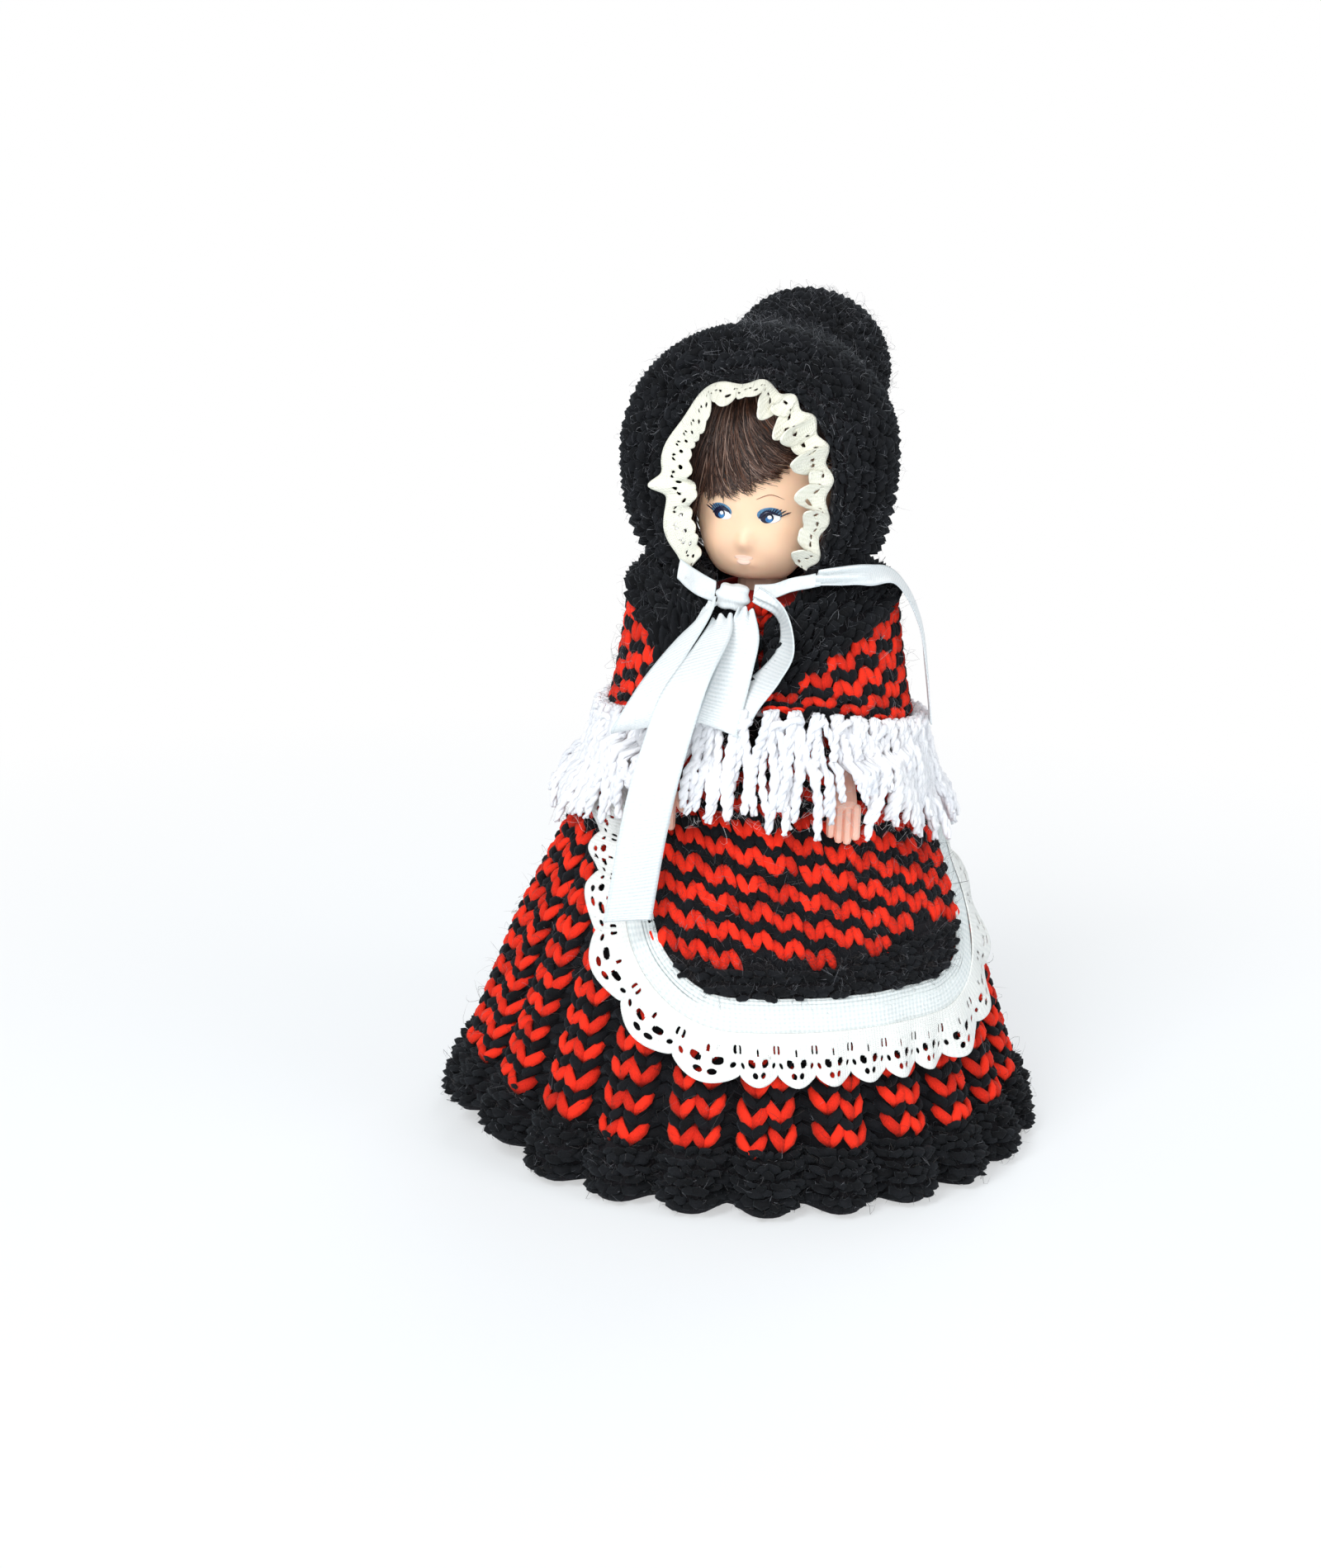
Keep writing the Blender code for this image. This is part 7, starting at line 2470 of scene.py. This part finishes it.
RIBBONS = (
    Ribbon(
        "chin_ribbon_left_run",
        "chin_ribbon_left",
        0.019,
        (
            (0.22, -0.10, 0.04, 0.1, -0.3, 0.9, 0.30),
            (0.42, -0.13, 0.05, 0.1, -0.3, 0.9, 0.32),
            (0.62, -0.13, 0.13, 0.1, -0.3, 0.9, 0.30),
            (0.80, -0.09, 0.18, 0.1, -0.3, 0.9, 0.28),
            (0.94, -0.09, 0.22, 0.15, -0.5, 0.7, 0.32),
        ),
        0.0,
    ),
    Ribbon(
        "chin_ribbon_right_run",
        "chin_ribbon_right",
        0.019,
        (
            (-0.20, -0.02, 0.05, 0.1, -0.6, 0.8, 0.45),
            (-0.34, -0.13, 0.08, 0.1, -0.6, 0.8, 0.50),
            (-0.48, -0.28, 0.13, 0.1, -0.6, 0.8, 0.50),
            (-0.60, -0.44, 0.19, 0.1, -0.6, 0.8, 0.45),
        ),
        0.0,
    ),
    Ribbon(
        "bow_loop_left_run",
        "bow_loop_left",
        0.025,
        (
            (0.11, 0.10, -0.08, 0.95, 0.0, -0.2, 0.30),
            (0.10, 0.26, -0.26, 0.97, 0.0, -0.1, 0.65),
            (0.04, 0.46, -0.50, 0.97, 0.0, -0.1, 0.75),
            (-0.04, 0.65, -0.76, 0.95, 0.0, -0.2, 0.85),
            (-0.08, 0.73, -0.92, 0.93, 0.0, -0.3, 0.9),
            (-0.02, 0.66, -0.90, 0.92, 0.1, -0.3, 0.9),
            (0.10, 0.56, -0.74, 0.80, 0.4, -0.1, 0.9),
            (0.32, 0.46, -0.54, 0.55, 0.8, 0.0, 0.8),
            (0.45, 0.31, -0.34, 0.40, 0.9, 0.1, 0.75),
            (0.40, 0.14, -0.10, 0.20, 0.8, 0.5, 0.6),
            (0.19, 0.02, 0.03, 0.1, 0.5, 0.8, 0.35),
        ),
    ),
    Ribbon(
        "bow_loop_right_run",
        "bow_loop_right",
        0.025,
        (
            (-0.16, 0.10, -0.06, 0.5, 0.1, 0.8, 0.40),
            (-0.30, 0.22, -0.22, 0.8, 0.1, 0.6, 0.75),
            (-0.52, 0.45, -0.52, 0.85, 0.1, 0.5, 0.95),
            (-0.70, 0.62, -0.84, 0.9, 0.0, 0.4, 1.0),
            (-0.73, 0.61, -0.99, 0.95, 0.0, 0.2, 1.0),
            (-0.69, 0.54, -0.92, 0.95, 0.0, 0.2, 1.0),
            (-0.54, 0.36, -0.58, 0.9, 0.0, 0.4, 0.9),
            (-0.31, 0.13, -0.24, 0.8, 0.0, 0.6, 0.7),
            (-0.17, 0.01, -0.08, 0.5, 0.0, 0.8, 0.35),
        ),
    ),
    Ribbon(
        "ribbon_tail_long_run",
        "ribbon_tail_long",
        0.060,
        (
            (-0.03, 0.06, -0.06, 0.95, 0.0, 0.2, 0.40),
            (-0.06, 0.17, -0.12, 0.95, 0.0, 0.3, 0.75),
            (-0.14, 0.33, -0.24, 0.95, 0.0, 0.3, 1.0),
            (-0.19, 0.39, -0.40, 0.95, -0.1, 0.2, 1.0),
            (-0.23, 0.43, -0.56, 0.95, -0.2, 0.1, 1.0),
            (-0.26, 0.44, -0.73, 0.95, -0.25, 0.1, 1.0),
            (-0.28, 0.44, -0.88, 0.95, -0.3, 0.1, 1.0),
            (-0.30, 0.43, -1.03, 0.95, -0.3, 0.0, 1.0),
        ),
    ),
    Ribbon(
        "ribbon_tail_shoulder_run",
        "ribbon_tail_shoulder",
        0.040,
        (
            (0.42, -0.042, 0.104, 0.2, -0.5, 0.7, 0.32),
            (0.54, -0.060, 0.118, 0.1, -0.4, 0.8, 0.38),
            (0.68, -0.13, 0.116, 0.1, -0.6, 0.6, 0.50),
            (0.84, -0.34, 0.06, 0.1, -0.95, 0.0, 0.95),
            (0.97, -0.46, -0.16, 0.05, -0.95, 0.0, 1.0),
            (1.03, -0.50, -0.45, 0.0, -1.0, 0.0, 1.0),
            (1.07, -0.50, -0.72, 0.0, -1.0, 0.0, 1.0),
        ),
    ),
)


# Limbs


class Limbs:
    """The moulded body, arms and legs, whose solids keep their shape and take a finish."""

    def build(self) -> None:
        """Gives each moulded solid its finish."""
        for name in ("left_arm", "right_arm", "left_leg", "right_leg"):
            self.dress(name, LIMB_SKIN)
        for name in ("torso_front", "torso_back"):
            self.dress(name, BODY_PLASTIC)

    @staticmethod
    def dress(name: str, finish: VinylFinish) -> None:
        """Puts the finish on one of the frame's solids."""
        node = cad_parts[name]
        material = DRESSER.material(finish)
        if node.data.materials:
            for index in range(len(node.data.materials)):
                node.data.materials[index] = material
        else:
            node.data.materials.append(material)
        LOG.info("%s: finish %s", name, finish.name)


# Stage


@dataclass
class Studio:
    """The floor, the lamps and the camera."""

    distance: float = 0.600
    camera_height: float = 0.244484
    aim_height: float = 0.0722
    lens: float = 66.61
    yaw: float = math.atan(19.798 / 600)
    pitch: float = math.radians(16.018)
    roll: float = math.radians(2.184)

    def build(self) -> None:
        """Makes all of the studio."""
        self.floor()
        self.world()
        self.lamps()
        self.camera()

    def floor(self) -> None:
        """A plain pale floor that keeps the object's shadow."""
        bpy.ops.object.select_all(action="DESELECT")
        bpy.ops.mesh.primitive_circle_add(vertices=96, radius=12, fill_type="NGON", location=(0, 0, 0))
        obj = bpy.context.object
        obj.name = "studio_floor"
        bpy.ops.object.mode_set(mode="EDIT")
        bpy.ops.mesh.select_all(action="SELECT")
        bpy.ops.mesh.inset(thickness=11.2)
        bpy.ops.object.mode_set(mode="OBJECT")
        nodes = Nodes("pale_floor")
        nodes.set(roughness=0.7)
        nodes.shader.inputs["Base Color"].default_value = (0.84, 0.90, 0.94, 1)
        nodes.shader.inputs["Specular IOR Level"].default_value = 0.15
        glow = nodes.add("ShaderNodeEmission")
        glow.inputs["Color"].default_value = (1, 1, 1, 1)
        rays = nodes.add("ShaderNodeLightPath")
        seen = nodes.math("MAXIMUM", rays.outputs["Is Camera Ray"], rays.outputs["Is Glossy Ray"])
        seen = nodes.math("MAXIMUM", seen, rays.outputs["Is Transmission Ray"])
        far = nodes.add("ShaderNodeVectorMath", operation="LENGTH")
        nodes.join(nodes.coordinates(), far.inputs[0])
        fade = nodes.add("ShaderNodeMapRange")
        fade.inputs["From Min"].default_value = 0.10
        fade.inputs["From Max"].default_value = 0.34
        fade.inputs["To Min"].default_value = 0.50
        fade.inputs["To Max"].default_value = 1.0
        nodes.join(far.outputs["Value"], fade.inputs["Value"])
        mixed = nodes.add("ShaderNodeMixShader")
        nodes.join(nodes.math("MULTIPLY", seen, fade.outputs["Result"]), mixed.inputs["Fac"])
        nodes.join(nodes.shader.outputs["BSDF"], mixed.inputs[1])
        nodes.join(glow.outputs["Emission"], mixed.inputs[2])
        nodes.join(mixed.outputs["Shader"], nodes.tree.nodes["Material Output"].inputs["Surface"])
        obj.data.materials.append(nodes.material)

    def world(self) -> None:
        """White to the camera, and an even pale light."""
        world = bpy.context.scene.world or bpy.data.worlds.new("studio")
        bpy.context.scene.world = world
        world.use_nodes = True
        tree = world.node_tree
        tree.nodes.clear()
        out = tree.nodes.new("ShaderNodeOutputWorld")
        white = tree.nodes.new("ShaderNodeBackground")
        white.inputs["Color"].default_value = (1, 1, 1, 1)
        white.inputs["Strength"].default_value = 1
        fill = tree.nodes.new("ShaderNodeBackground")
        fill.inputs["Color"].default_value = (0.93, 0.97, 1.0, 1)
        fill.inputs["Strength"].default_value = 0.46
        rays = tree.nodes.new("ShaderNodeLightPath")
        seen = tree.nodes.new("ShaderNodeMath")
        seen.operation = "MAXIMUM"
        tree.links.new(rays.outputs["Is Camera Ray"], seen.inputs[0])
        tree.links.new(rays.outputs["Is Transmission Ray"], seen.inputs[1])
        mixed = tree.nodes.new("ShaderNodeMixShader")
        tree.links.new(seen.outputs["Value"], mixed.inputs["Fac"])
        tree.links.new(fill.outputs["Background"], mixed.inputs[1])
        tree.links.new(white.outputs["Background"], mixed.inputs[2])
        tree.links.new(mixed.outputs["Shader"], out.inputs["Surface"])

    def lamp(self, name: str, place: Sequence[float], size: float, power: float) -> None:
        """A soft square lamp that looks at the doll's middle."""
        data = bpy.data.lights.new(name, "AREA")
        data.size = size
        data.energy = power
        obj = bpy.data.objects.new(name, data)
        obj.location = place
        aim = Vector((0, 0, 0.09)) - Vector(place)
        obj.rotation_euler = aim.to_track_quat("-Z", "Y").to_euler()
        bpy.context.scene.collection.objects.link(obj)

    def lamps(self) -> None:
        """A large soft key from above the camera's left, and a weaker one from the right."""
        self.lamp("key_lamp", (-0.50, -0.80, 0.95), 0.50, 8.5)
        self.lamp("front_lamp", (-0.12, -1.05, 0.42), 0.45, 4.0)
        self.lamp("side_lamp", (0.85, -0.45, 0.55), 0.6, 2.6)
        self.lamp("back_lamp", (0.25, 0.8, 0.8), 0.6, 3.5)

    def camera(self) -> None:
        """The camera at the photograph's angle."""
        data = bpy.data.cameras.new("camera")
        data.lens = self.lens
        data.sensor_width = 36
        data.clip_start = 0.01
        data.clip_end = 50
        sy, cy = math.sin(self.yaw), math.cos(self.yaw)
        sp, cp = math.sin(self.pitch), math.cos(self.pitch)
        ahead = Vector((-sy * cp, cy * cp, -sp))
        right = Vector((cy, sy, 0))
        up = right.cross(ahead)
        ct, st = math.cos(self.roll), math.sin(self.roll)
        axes = Matrix((right * ct + up * st, up * ct - right * st, -ahead)).transposed()
        obj = bpy.data.objects.new("camera", data)
        obj.matrix_world = Matrix.Translation((0, -self.distance, self.camera_height)) @ axes.to_4x4()
        bpy.context.scene.collection.objects.link(obj)
        bpy.context.scene.camera = obj
        bpy.context.scene.view_settings.view_transform = "Standard"


def main() -> None:
    """Builds every piece in order."""
    Studio().build()
    dress = SkirtForm()
    apron = ApronForm(dress)
    Limbs().build()
    Skirt(dress).build()
    Apron(apron).build()
    Bodice().build()
    Shawl(ShawlForm(dress, apron)).build()
    Head(HeadForm()).build()
    Hood().build()
    Bow().build()


if __name__ == "__main__":
    main()
